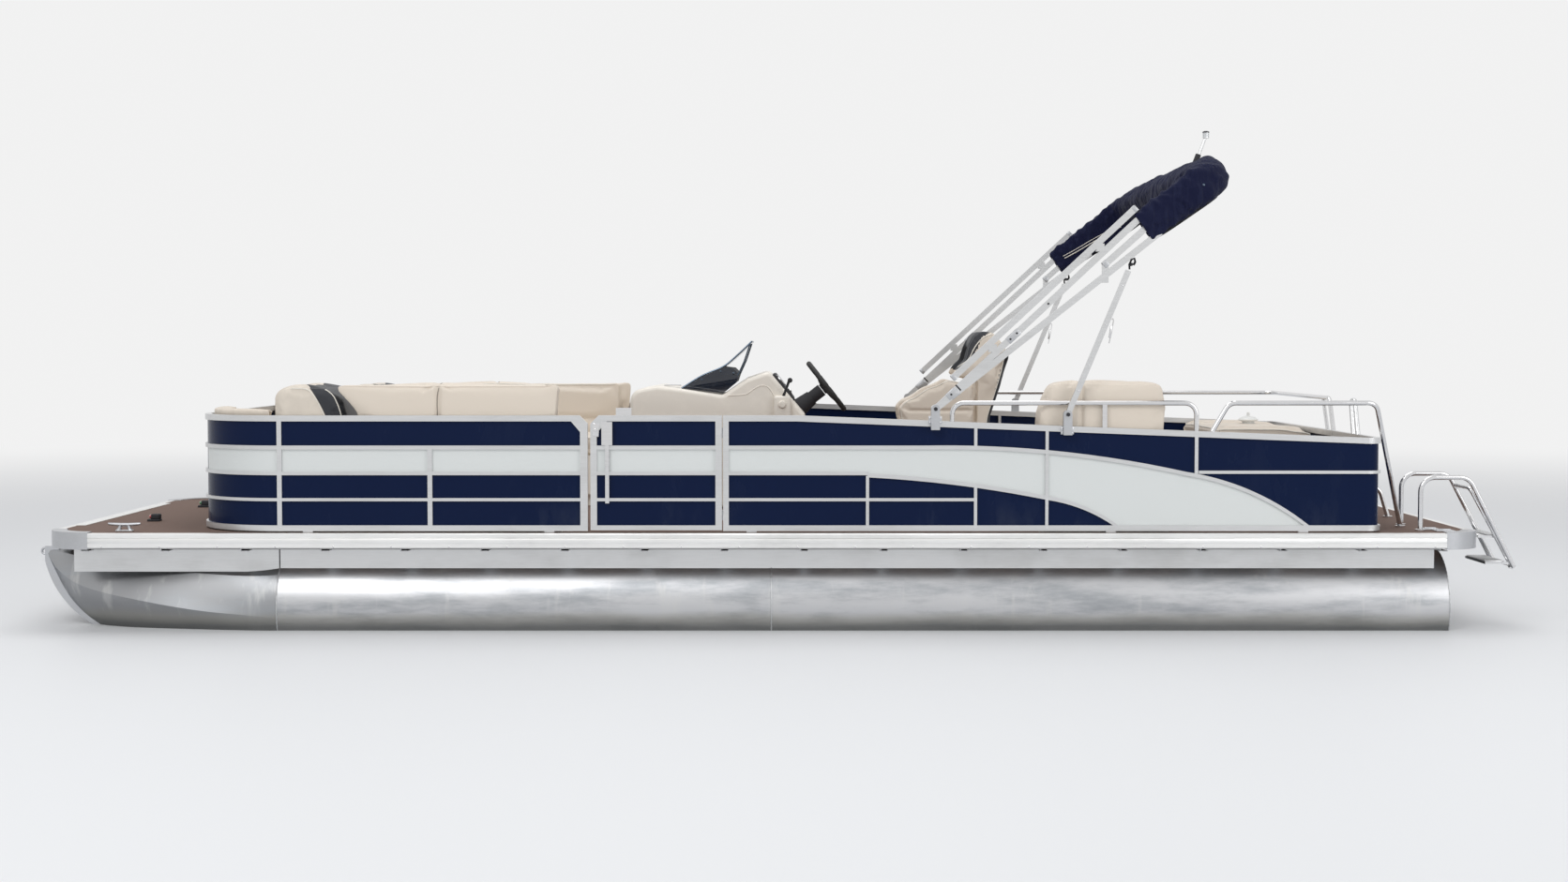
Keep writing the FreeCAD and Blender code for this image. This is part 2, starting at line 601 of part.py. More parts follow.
def hinge_pair(fixed_side, z_levels):
    """Fixed and moving halves of a gate's hinges, drawn about the Z axis.

    The gate's closed face lies towards +Y, and fixed_side is +1 where the fence lies towards +X.
    """
    tall, reach = 26.0, 34.0
    fixed, moving = [], []
    for z in z_levels:
        barrel = Part.makeCylinder(HINGE_BARREL, tall, Vec(0, 0, z))
        pin = Part.makeCylinder(HINGE_PIN, tall * 2, Vec(0, 0, z))
        leaf_x = 0 if fixed_side > 0 else -reach
        leaf = Part.makeBox(reach, HINGE_LEAF, tall, Vec(leaf_x, HINGE_BACK - HINGE_LEAF, z))
        fixed.append(join([barrel, pin, leaf]))
        high = z + tall + 0.5
        ring = Part.makeCylinder(HINGE_BARREL, tall, Vec(0, 0, high))
        leaf = Part.makeBox(reach, HINGE_LEAF, tall, Vec(-reach - leaf_x, HINGE_BACK - HINGE_LEAF, high))
        hole = Part.makeCylinder(HINGE_PIN + HINGE_FIT, tall, Vec(0, 0, high))
        moving.append(ring.fuse(leaf).cut(hole))
    return fixed, moving


def place_hinges(shapes, angle, x, y):
    """Turn hinge halves about Z and move them to their axis."""
    placed = []
    for shape in shapes:
        copy = shape.copy()
        copy.rotate(Vec(0, 0, 0), Z_AXIS, angle)
        copy.translate(Vec(x, y, 0))
        placed.append(copy)
    return placed


def side_gate():
    """Port side gate: frame, panels, latch and hinges."""
    stile, low = 33.0, DECK + GATE_LIFT
    bars = [level_bar(name, GATE_START, GATE_END) for name in ("low", "middle", "high", "top")]
    bars.append(block((GATE_START, GATE_END), (FENCE_INNER, FENCE_SIDE), (low, level("foot")[1])))
    bars += [upright(GATE_START, stile, low, FENCE_TOP), upright(GATE_END - stile, stile, low, FENCE_TOP),
             corner_bar(GATE_START, 1)]
    frame = join(bars).cut(clipped_corner(GATE_START, 1))
    sheet_y = (FENCE_SIDE - SHEET_INSET - SHEET, FENCE_SIDE - SHEET_INSET)
    sheet = block((GATE_START + 10, GATE_END - 10), sheet_y, (low + 10, FENCE_TOP - 15))
    sheet = sheet.cut(clipped_corner(GATE_START, 1))
    grey = sheet.common(block((GATE_START, GATE_END), sheet_y, level_gap("middle", "high")))
    keep("side_gate_blue_panels", to_port(large(sheet.cut(grey).cut(frame))))
    keep("side_gate_grey_panel", to_port(large(grey.cut(frame))))
    fixed, moving = hinge_pair(1, (DECK + 60, DECK + 480))
    x, y = at(GATE_END + HINGE_GAP / 2), FENCE_INNER - HINGE_BACK
    keep("side_gate_frame", to_port(join([frame] + place_hinges(moving, 0, x, y))))
    keep("gate_hinges", *[to_port(shape) for shape in place_hinges(fixed, 0, x, y)])
    keep("side_gate_latch", to_port(side_latch()))


def side_latch():
    """Gate latch: a lift bar in a housing on the outer face, and its handle inside."""
    station, wide = GATE_START + 58.0, 55.0
    head = block((station, station + wide), (FENCE_SIDE, FENCE_SIDE + 16),
                 (DECK + 446, DECK + FENCE_HEIGHT - 32))
    bar = block((station + 18, station + 38), (FENCE_SIDE, FENCE_SIDE + 10), (DECK + 150, DECK + 446))
    handle = block((station + 70, station + 150), (FENCE_INNER - 8, FENCE_INNER),
                   (FENCE_TOP - 25, FENCE_TOP + 38))
    strap = block((station, station + 70), (FENCE_INNER - 8, FENCE_INNER), (FENCE_TOP - 25, FENCE_TOP - 5))
    return Part.makeCompound([join([head, bar]), join([handle, strap])])


def bow_gate():
    """Gate in the middle of the bow fence, hinged on its starboard side."""
    stile, low, half = 33.0, DECK + GATE_LIFT, BOW_GATE_HALF
    front = (FENCE_BOW, FENCE_BOW + FENCE_DEPTH)
    spans = [(low, level("foot")[1])] + [level(name) for name in ("low", "middle", "high", "top")]
    bars = [block(front, (-half, half), span) for span in spans]
    bars += [block(front, y_range, (low, FENCE_TOP))
             for y_range in ((-half, stile - half), (half - stile, half))]
    frame = join(bars)
    skin = (FENCE_BOW + SHEET_INSET, FENCE_BOW + SHEET_INSET + SHEET)
    sheet = block(skin, (10 - half, half - 10), (low + 10, FENCE_TOP - 15))
    keep("bow_gate_panels", large(sheet.cut(frame)))
    fixed, moving = hinge_pair(1, (DECK + 60, DECK + 480))
    x, y = at(FENCE_BOW + FENCE_DEPTH + HINGE_BACK), half + HINGE_GAP / 2
    keep("bow_gate_frame", join([frame] + place_hinges(moving, 90, x, y)))
    keep("gate_hinges", *place_hinges(fixed, 90, x, y))


def stern_gate():
    """Gate in the stern fence, hinged on its starboard side."""
    stile, low = 33.0, DECK + GATE_LIFT
    near, far = -STERN_GATE[1], -STERN_GATE[0]
    back = (FENCE_STERN - FENCE_DEPTH, FENCE_STERN)
    spans = [(low, level("foot")[1]), (DECK + 300, DECK + 316), (STERN_TOP - 30, STERN_TOP)]
    bars = [block(back, (near, far), span) for span in spans]
    bars += [block(back, y_range, (low, STERN_TOP)) for y_range in ((near, near + stile), (far - stile, far))]
    middle = at(FENCE_STERN - FENCE_DEPTH / 2)
    grip = pipe([Vec(middle, near + along, z) for along, z in (
        (75, STERN_TOP - 8), (149, GUARD_Z), (225, GUARD_Z), (165, STERN_TOP - 8))], 26.0)
    frame = join(bars + [grip])
    skin = (FENCE_STERN - SHEET_INSET - SHEET, FENCE_STERN - SHEET_INSET)
    sheet = block(skin, (near + 10, far - 10), (low + 10, STERN_TOP - 15))
    keep("stern_gate_panels", large(sheet.cut(frame)))
    fixed, moving = hinge_pair(-1, (DECK + 60, DECK + 370))
    x, y = at(FENCE_STERN - FENCE_DEPTH - HINGE_BACK), far + HINGE_GAP / 2
    keep("stern_gate_frame", join([frame] + place_hinges(moving, -90, x, y)))
    keep("gate_hinges", *place_hinges(fixed, -90, x, y))


def guard_rails():
    """Pipe rails above the side fences, the starboard one run on across the stern; a brace by the gate."""
    y, bend, base = FENCE_SIDE - 20.0, 60.0, 8.0
    def point(station, out, z):
        return Vec(at(station), out, z)
    front, back = 4636.0, 5880.0
    forward = pipe([point(front, y, top_edge(front)), point(front, y, GUARD_Z), point(back, y, GUARD_Z),
                    point(back, y, top_edge(back))], bend)
    post = 5400.0
    stand = block((post, post + 24), (y - 10, y + 10), (top_edge(post) - 2, GUARD_Z))
    forward = join([forward, stand.cut(aft_top_rail())])
    foot_y = STERN_GATE[1] + 25.0
    turn, landing = FENCE_STERN - 34.0, FENCE_STERN + 184.0
    rise = [point(5960, y, top_edge(5960)), point(6045, y, GUARD_Z)]
    port = pipe(rise + [point(turn, y - 19, GUARD_Z), point(landing, foot_y, DECK)], bend)
    port = join([port, Part.makeCylinder(26.0, base, point(landing, foot_y, DECK))])
    across, last = FENCE_STERN - FENCE_DEPTH / 2, STERN_SPLIT + 26.0
    starboard = pipe(rise + [point(across, y, GUARD_Z), point(across, last + 100, GUARD_Z),
                             point(across, last, STERN_TOP - 8)], bend)
    prop = rod(point(across, last + 245, GUARD_Z), point(across, last + 130, STERN_TOP - 8), PIPE - 2)
    stern_top = block((turn - 40, FENCE_STERN + 40), (last - 60, last + 200), (STERN_TOP - 60, STERN_TOP))
    starboard = join([starboard, prop]).cut(stern_top)
    below_deck = block((landing - 60, landing + 182), (-HALF_WIDTH, HALF_WIDTH), (DECK - 60, DECK))
    both_sides("guard_rails", forward.cut(aft_top_rail()))
    keep("guard_rails", to_port(port.cut(aft_top_rail()).cut(below_deck)), starboard.cut(aft_top_rail()))
    brace_y = STERN_GATE[0] - 60.0
    brace_foot = point(FENCE_STERN + 296, -brace_y, DECK)
    brace = pipe([point(FENCE_STERN, -brace_y, DECK + 190), point(FENCE_STERN + 246, -brace_y, DECK + 170),
                  brace_foot], 70.0)
    keep("guard_rails", join([brace, Part.makeCylinder(26.0, base, brace_foot)]).cut(below_deck))


def aft_top_rail():
    """The sloping top rail's region, so that what stands on it meets its face."""
    low = DECK + 200
    return side_plate([(GATE_END, FENCE_TOP), (DROP_START, FENCE_TOP), (STERN_ARC, STERN_TOP),
                       (STERN_ARC + 70, STERN_TOP), (STERN_ARC + 70, low), (GATE_END, low)],
                      FENCE_INNER, FENCE_SIDE)


# ---------------------------------------------------------------- seats
def cushion(station, y, z, radius=28.0):
    """Pad with rounded edges."""
    pad = block(station, y, z)
    return pad.makeFillet(radius, pad.Edges)


def inside_bow(shape, inset):
    """Trim a shape to the inside of the bow fence's corner, at a distance in from its outer face."""
    centre = (FENCE_SIDE - FENCE_BOW_RADIUS, HALF_WIDTH)
    corner = block((FENCE_BOW - 50, ARC_START), centre, (DECK - 1, DECK + 1500))
    keep_in = Part.makeCylinder(FENCE_BOW_RADIUS - inset, 1501, Vec(at(ARC_START), centre[0], DECK - 1))
    return shape.cut(corner.cut(keep_in))


# Each side's couch: where it ends, and how high its side back stands above the deck.
COUCHES = {"port": (2645.0, 764.0), "starboard": (2850.0, 734.0)}
LOUNGE_START = FENCE_BOW + FENCE_DEPTH + FIT    # bow end of the couches
CHAISE = (1158.0, 1353.0)                       # beige part of the backrest across the couch
CHAISE_FOOT = 1560.0                            # where its after side meets the seat
CHAISE_DROP = 11.0                              # how much lower it stands than the side back
CUSHION_GAP = 4.0


def couch(side, end, high):
    """Couch along one side of the bow: base, seat cushions, side back, and the sloping backrest across it."""
    place = to_port if side == "port" else (lambda shape: shape)
    outer, inner = FENCE_INNER - FIT, FENCE_INNER - FIT - SEAT_DEPTH
    base_top = DECK + SEAT_HEIGHT - SEAT_CUSHION
    toe, toe_high = 45.0, 70.0
    base = block((LOUNGE_START, end), (inner, outer), (DECK, base_top))
    base = base.cut(block((LOUNGE_START, end), (inner, inner + toe), (DECK, DECK + toe_high)))
    keep("couch_bases", place(inside_bow(base, FENCE_DEPTH + FIT)))
    seat_low = base_top
    back_inner = outer - BACK_THICK
    lounge = block((LOUNGE_START, CHAISE[0] - CUSHION_GAP), (inner, outer), (seat_low, DECK + SEAT_HEIGHT))
    seat = cushion((CHAISE_FOOT + CUSHION_GAP, end), (inner, back_inner - CUSHION_GAP),
                   (seat_low, DECK + SEAT_HEIGHT))
    keep(side + "_couch_seat", place(inside_bow(lounge, FENCE_DEPTH + FIT)), place(seat))
    # The side back's front edge slopes down behind the backrest across the couch.
    top, brow = DECK + high, CHAISE_FOOT - 66.0
    across = top - CHAISE_DROP
    back = side_plate([(CHAISE_FOOT + 24, seat_low), (end - 60, seat_low), (end, top - 160),
                       ((end - 20, top - 40), (end - 90, top)), (brow + 35, top),
                       ((brow + 6, top - 9), (brow, top - 34)), (CHAISE_FOOT - 30, across - 70),
                       (CHAISE_FOOT + 24, across - 151)], back_inner, outer)
    keep(side + "_couch_back", place(back))
    hump = side_plate([(CHAISE[0], seat_low), (CHAISE[0], across - 120),
                       ((CHAISE[0] + 30, across - 30), (CHAISE[0] + 120, across)),
                       (CHAISE_FOOT - 130, across),
                       ((CHAISE_FOOT - 89, across - 18), (CHAISE_FOOT - 59, across - 54)),
                       ((CHAISE_FOOT - 38, across - 106), (CHAISE_FOOT - 26, across - 151)),
                       (CHAISE_FOOT, across - 300), (CHAISE_FOOT, seat_low)], inner, outer)
    keep("chaise_backs", place(inside_bow(hump, FENCE_DEPTH + FIT)))


def corner_pads():
    """Padded bolsters round the inside of the bow fence, ahead of the chaise backs."""
    low, high, edge = DECK + SEAT_HEIGHT + 8.0, DECK + 630.0, BOW_GATE_HALF + 260.0
    pad = bow_band(FENCE_DEPTH + FIT, FENCE_DEPTH + FIT + 85.0, low, high, CHAISE[1], edge)
    behind = block((CHAISE[0] - CUSHION_GAP, CHAISE[1]), (0, HALF_WIDTH), (low, high))
    both_sides("corner_pads", pad.cut(behind))


def aft_bench():
    """Port bench beside the helm chair: base, seat and a back with a dark band."""
    start, end = 5045.0, 5745.0
    outer, inner = FENCE_INNER - FIT, FENCE_INNER - FIT - SEAT_DEPTH
    base_top = DECK + SEAT_HEIGHT - SEAT_CUSHION
    toe, toe_high = 45.0, 70.0
    base = block((start + 40, end), (inner, outer), (DECK, base_top))
    base = base.cut(block((start, end), (inner, inner + toe), (DECK, DECK + toe_high)))
    keep("aft_bench_base", to_port(base))
    back_inner = outer - BACK_THICK
    seat = cushion((start + 40, end), (inner, back_inner - CUSHION_GAP), (base_top, DECK + SEAT_HEIGHT))
    keep("aft_bench_seat", to_port(seat))
    top = DECK + 773.0
    back = side_plate([(start + 10, base_top), (end - 20, base_top), (end, top - 130),
                       ((end - 22, top - 35), (end - 90, top)), (start + 180, top),
                       ((start + 75, top - 45), (start + 25, top - 170))], back_inner, outer)
    keep("aft_bench_back", to_port(back))


SUNPAD_START = 6240.0


def sunpad():
    """Sunpad in the starboard stern corner, on its base."""
    outer, inner = FENCE_INNER - FIT, 60.0
    end = FENCE_STERN - FENCE_DEPTH - FIT
    low, high = DECK + 390.0, DECK + 490.0
    keep("sunpad_base", block((SUNPAD_START, end - 60), (inner + 40, outer - 60), (DECK, low)))
    pad = side_plate([(SUNPAD_START, low), (end, low), (end, high - 17), (end - 200, high),
                      (SUNPAD_START, high)], inner, outer - 45)
    keep("sunpad", pad)


# ---------------------------------------------------------------- helm
CONSOLE = (2882.0, 3905.0)
CONSOLE_INNER = 400.0       # console's side towards the centre line
WHEEL_CENTRE = (4033.0, 720.0, DECK + 709.0)
WHEEL_RADIUS = 185.0
WHEEL_RIM = 14.0
WHEEL_TILT = 38.0           # degrees that the wheel's top leans to the bow


def console():
    """Helm console: a moulded body with a raised dash."""
    floor, outer = DECK, FENCE_INNER - FIT
    body = side_plate([(CONSOLE[0], floor), (CONSOLE[0], floor + 625),
                       ((CONSOLE[0] + 35, floor + 690), (CONSOLE[0] + 160, floor + 712)),
                       (CONSOLE[0] + 301, floor + 716), (3440.0, floor + 700), (3586.0, floor + 775),
                       ((3672.0, floor + 797), (3720.0, floor + 770)), (CONSOLE[1], floor + 548),
                       (CONSOLE[1] - 20, floor)], CONSOLE_INNER, outer)
    keep("console", body)


def windshield():
    """Tinted wrap-round windshield: a raked screen on dark side fairings."""
    outer, inner, thick = FENCE_INNER - 90.0, CONSOLE_INNER + 45.0, 6.0
    front, top, foot = (3185.0, DECK + 716.0), (3590.0, DECK + 976.0), DECK + 700.0
    bend, bend_low = (front[0] + 240, DECK + 832), (front[0] + 240, DECK + 818)
    screen = side_plate([front, bend, top, (top[0] + 2, top[1] - 12), bend_low, (front[0] + 24, front[1])],
                        inner, outer)
    cheek = [(front[0] + 10, front[1]), (bend[0], DECK + 826), (3500.0, DECK + 818), (3540.0, DECK + 785),
             (3500.0, DECK + 735), (3440.0, DECK + 702)]
    strut = [(top[0] - 16, top[1] - 14), (top[0] - 2, top[1] - 10), (3534.0, DECK + 780),
             (3518.0, DECK + 780)]
    cheeks = [side_plate(outline, y, y + thick) for outline in (cheek, strut) for y in (inner, outer - thick)]
    return join([screen] + cheeks).cut(parts["console"][0])


def wheel_frame(shape):
    """Lean a shape drawn about the Z axis to the steering wheel's axis and centre."""
    copy = shape.copy()
    copy.rotate(Vec(0, 0, 0), Y_AXIS, 90.0 - WHEEL_TILT)
    station, y, z = WHEEL_CENTRE
    copy.translate(Vec(at(station), y, z))
    return copy


def steering():
    """Steering wheel with three spokes, and the column that carries it."""
    hub_radius, hub_length, gap = 34.0, 40.0, 1.0
    rim = Part.makeTorus(WHEEL_RADIUS - WHEEL_RIM, WHEEL_RIM)
    hub = Part.makeCylinder(hub_radius, hub_length, Vec(0, 0, -hub_length + 6))
    spokes = []
    for angle in (0, 120, 240):
        spoke = Part.makeBox(WHEEL_RADIUS - 1.2 * WHEEL_RIM, 24, 8, Vec(0, -12, -8))
        spoke.rotate(Vec(0, 0, 0), Z_AXIS, angle)
        spokes.append(spoke)
    keep("steering_wheel", wheel_frame(join([rim, hub] + spokes)))
    neck = Part.makeCylinder(38.0, 75.0, Vec(0, 0, -hub_length + 6 - gap - 75))
    shroud = Part.makeCone(58.0, 44.0, 120.0, Vec(0, 0, -hub_length + 6 - gap - 195))
    column = wheel_frame(join([neck, shroud]))
    keep("steering_column", column.cut(parts["console"][0]))


def throttle():
    """Control lever in its box on the inboard side of the console."""
    station, z, side = 3790.0, DECK + 600.0, CONSOLE_INNER
    box = block((station - 70, station + 30), (side - 45, side), (z - 70, z + 60))
    lever = rod(Vec(at(station - 20), side - 60, z + 10), Vec(at(station + 25), side - 60, z + 150), 8.0)
    boss = rod(Vec(at(station - 20), side - 70, z + 10), Vec(at(station - 20), side - 45, z + 10), 22.0)
    grip = rod(Vec(at(station + 25), side - 90, z + 150), Vec(at(station + 25), side - 30, z + 150), 15.0)
    keep("throttle", join([box, boss, lever, grip]))


CHAIR_STATION, CHAIR_Y = 4800.0, 680.0
CHAIR_SEAT = DECK + 330.0                       # underside of the turning seat
CHAIR_GAP = 1.0
CHAIR_HALF, CHAIR_WAIST = 255.0, 170.0          # half widths over the arms and between them
CHAIR_BACK_HALF, CHAIR_HEAD_HALF = 230.0, 188.0
# Outlines of the turning chair: distance aft of its pivot and height above the seat's underside.
CHAIR_ARM = [(-320.0, 60.0), (98.0, 60.0), (98.0, 400.0), (-64.0, 441.0), (-114.0, 406.0), (-191.0, 383.0),
             (-247.0, 339.0), (-318.0, 306.0), (-360.0, 256.0), (-345.0, 190.0)]
CHAIR_BACK = [(103.0, 60.0), (103.0, 402.0), (-58.0, 447.0), (-14.0, 508.0), (28.0, 543.0), (45.0, 622.0),
              (83.0, 690.0), (135.0, 726.0), (205.0, 714.0), (262.0, 640.0), (300.0, 565.0), (258.0, 408.0),
              (190.0, 200.0), (185.0, 60.0)]
CHAIR_HOLLOW = [(-100.0, 385.0), (128.0, 385.0), (172.0, 590.0), (-100.0, 590.0)]


def from_chair(outline):
    """Stations and heights of an outline given from the chair's pivot."""
    return [(CHAIR_STATION + along, CHAIR_SEAT + up) for along, up in outline]


def helm_chair():
    """Swivel helm chair: fixed pedestal, and the turning seat with arms and a winged back."""
    foot = Part.makeCylinder(150.0, 12.0, Vec(at(CHAIR_STATION), CHAIR_Y, DECK))
    post = Part.makeCylinder(36.0, CHAIR_SEAT - DECK - 12.0, Vec(at(CHAIR_STATION), CHAIR_Y, DECK + 12.0))
    keep("chair_pedestal", join([foot, post]))
    front, rear = CHAIR_STATION - 360.0, CHAIR_STATION + 98.0
    pad_low, pad_high = CHAIR_SEAT + 40.0, CHAIR_SEAT + 170.0
    keep("chair_swivel_plate", block((front + 130, rear), (CHAIR_Y - 150, CHAIR_Y + 150),
                                     (CHAIR_SEAT + CHAIR_GAP, pad_low)))
    seat_half = CHAIR_WAIST - 2.0
    across = (CHAIR_Y - seat_half, CHAIR_Y + seat_half)
    keep("chair_seat", cushion((front, rear), across, (pad_low, pad_high)))
    for low in (CHAIR_Y - CHAIR_HALF, CHAIR_Y + CHAIR_WAIST):
        keep("chair_arms", side_plate(from_chair(CHAIR_ARM), low, low + CHAIR_HALF - CHAIR_WAIST))
    back = side_plate(from_chair(CHAIR_BACK), CHAIR_Y - CHAIR_BACK_HALF, CHAIR_Y + CHAIR_BACK_HALF)
    back = back.cut(side_plate(from_chair(CHAIR_HOLLOW), CHAIR_Y - 150, CHAIR_Y + 150))
    low, high = CHAIR_SEAT + 560, CHAIR_SEAT + 760
    for side in (-1, 1):
        edge, shoulder, tip = (CHAIR_Y + side * out for out in (260.0, CHAIR_BACK_HALF, CHAIR_HEAD_HALF))
        wedge = [(edge, low), (shoulder, low), (tip, high), (edge, high)]
        back = back.cut(cross_plate(wedge, rear - 200, rear + 400))
    keep("chair_back", back)


# ---------------------------------------------------------------- folding top
TOP_PIVOT = (4548.0, FENCE_TOP + 34.0)          # station and height of the top's pivot
TOP_PLANE = FENCE_SIDE + 21.0                   # middle of the legs, outboard of the guard rails
STRUT_PIVOT = (5219.0, STERN_TOP + 120.0)       # foot of the rear struts
STRUT_EYE = (5534.0, FENCE_TOP + 765.0)         # where they meet the second legs
# Legs of the stowed top, as their lower and upper ends: station and height above the fence's top.
LEGS = {"main": ((4548.0, 34.0), (5590.0, 1011.1)), "second": ((4548.0, 34.0), (5680.0, 927.0)),
        "forward": ((4642.0, 197.0), (5552.0, 1046.0)), "short": ((5400.0, 763.0), (5660.0, 995.0))}
TOP_PIN = 5.0


def slanted_bar(start, end, y, width, height):
    """Flat-sided bar in the plane of one side, between two (station, z) points on its centre line."""
    along = Vec(end[0] - start[0], 0, end[1] - start[1])
    length = along.Length
    bar = Part.makeBox(length, width, height, Vec(0, -width / 2, -height / 2))
    bar.rotate(Vec(0, 0, 0), Y_AXIS, -math.degrees(math.atan2(along.z, along.x)))
    bar.translate(Vec(at(start[0]), y, start[1]))
    return bar


def leg_points(name):
    """Both ends of a leg as (station, z)."""
    return [(station, z + FENCE_TOP) for station, z in LEGS[name]]


def top_legs():
    """Square legs of the stowed top on the starboard side, with the knuckle at their pivot."""
    bars = [slanted_bar(*leg_points(name), TOP_PLANE, TOP_BAR, TOP_BAR) for name in LEGS]
    knuckle = rod(Vec(at(TOP_PIVOT[0]), TOP_PLANE - TOP_BAR / 2, TOP_PIVOT[1]),
                  Vec(at(TOP_PIVOT[0]), TOP_PLANE + TOP_BAR / 2, TOP_PIVOT[1]), 22.0)
    hub = bars[0].fuse(bars[1]).fuse(knuckle)
    low, high = leg_points("main")
    link_at = [(low[0] + (high[0] - low[0]) * f, low[1] + (high[1] - low[1]) * f) for f in (0.30, 0.82)]
    links = [block((s - 45, s - 5), (TOP_PLANE - TOP_BAR / 2, TOP_PLANE + TOP_BAR / 2), (z - 5, z + 35))
             for s, z in link_at]
    short = leg_points("short")[0]
    links.append(block((short[0] - 12, short[0] + 20), (TOP_PLANE - 12, TOP_PLANE + 12),
                       (short[1] - 90, short[1])))
    pin_hole = rod(Vec(at(TOP_PIVOT[0]), TOP_PLANE - 40, TOP_PIVOT[1]),
                   Vec(at(TOP_PIVOT[0]), TOP_PLANE + 40, TOP_PIVOT[1]), TOP_PIN + 0.05)
    return join([hub, bars[2], bars[3]] + links).cut(pin_hole)


def pivot_fork(station, z, base, gap):
    """Fork with a pin through it, on a saddle over the top rail; gap is the width between its ears."""
    ear, half = 4.0, 22.0
    forks = []
    for side in (-1, 1):
        face = TOP_PLANE + side * (gap / 2 + (ear if side > 0 else 0))
        low = face if side > 0 else face - ear
        y = (TOP_PLANE + gap / 2, TOP_PLANE + gap / 2 + ear) if side > 0 else (low, TOP_PLANE - gap / 2)
        ear_plate = block((station - half, station + half), y, (base - 45, z))
        forks.append(join([ear_plate, rod(Vec(at(station), y[0], z), Vec(at(station), y[1], z), half)]))
    saddle = block((station - half, station + half), (TOP_PLANE - gap / 2 - ear, TOP_PLANE + gap / 2 + ear),
                   (base - 45, base - 41))
    pin = rod(Vec(at(station), TOP_PLANE - gap / 2 - ear - 3, z),
              Vec(at(station), TOP_PLANE + gap / 2 + ear + 3, z),
              TOP_PIN)
    fence = aft_top_rail()
    return join(forks + [saddle, pin]).cut(fence)


def top_boot(legs):
    """Boot over the folded top: an arm up each side and a long roll across the boat."""
    low, high, roll = (5640.0, FENCE_TOP + 975.0), (5950.0, FENCE_TOP + 1211.0), 108.0
    arm = slanted_bar(low, high, TOP_PLANE, 76.0, 165.0)
    tip = rod(Vec(at(high[0]), -TOP_PLANE - 38, high[1]), Vec(at(high[0]), TOP_PLANE + 38, high[1]), roll)
    arms = [arm, to_port(arm)]
    return join([tip] + arms).cut(legs).cut(to_port(legs))


def rear_strut():
    """Strut that props the stowed top: foot on the fence, eye beside the second leg."""
    foot, eye = STRUT_PIVOT, STRUT_EYE
    reach = 34.0
    slope = math.atan2(eye[1] - foot[1], eye[0] - foot[0])
    short_eye = (eye[0] - reach * math.cos(slope), eye[1] - reach * math.sin(slope))
    bar = slanted_bar(foot, short_eye, TOP_PLANE, 24.0, 28.0)
    boss = rod(Vec(at(foot[0]), TOP_PLANE - 12, foot[1]), Vec(at(foot[0]), TOP_PLANE + 12, foot[1]), 16.0)
    hole = rod(Vec(at(foot[0]), TOP_PLANE - 40, foot[1]), Vec(at(foot[0]), TOP_PLANE + 40, foot[1]),
               TOP_PIN + 0.05)
    return join([bar, boss]).cut(hole)


def folding_top():
    """Stowed folding top: mounts, legs, struts, boot and the light on its pole."""
    legs = top_legs()
    both_sides("top_legs", legs)
    boot = top_boot(legs)
    keep("top_boot", boot)
    both_sides("top_struts", rear_strut())
    top_fork = pivot_fork(*TOP_PIVOT, top_edge(TOP_PIVOT[0]), TOP_BAR + 2)
    strut_fork = pivot_fork(*STRUT_PIVOT, top_edge(STRUT_PIVOT[0]), 26.0)
    both_sides("top_mounts", top_fork, strut_fork)
    lamp_y = -650.0
    low, high = (Vec(at(station), lamp_y, FENCE_TOP + rise)
                 for station, rise in ((5955.0, 1283.0), (6024.0, 1468.0)))
    pole = rod(low, high, 8.0).cut(boot)
    lamp = Part.makeCylinder(16.0, 30.0, high - Vec(0, 0, 10))
    keep("anchor_light", join([max(pole.Solids, key=lambda solid: solid.Volume), lamp]))


# ---------------------------------------------------------------- ladder and fittings
LADDER_MIDDLE = 952.0       # ladder's centre line, to port
LADDER_HALF = 175.0
LADDER_BOSS = 14.0                                     # radius of the folding section's pivot bosses
LADDER_FOOT = (DECK_LENGTH + LADDER_REACH - LADDER_BOSS, DECK - 187.0)
LADDER_LANDING, LADDER_BEND = DECK_LENGTH - 289.0, DECK_LENGTH - 40.0     # the handrails' foot and bend


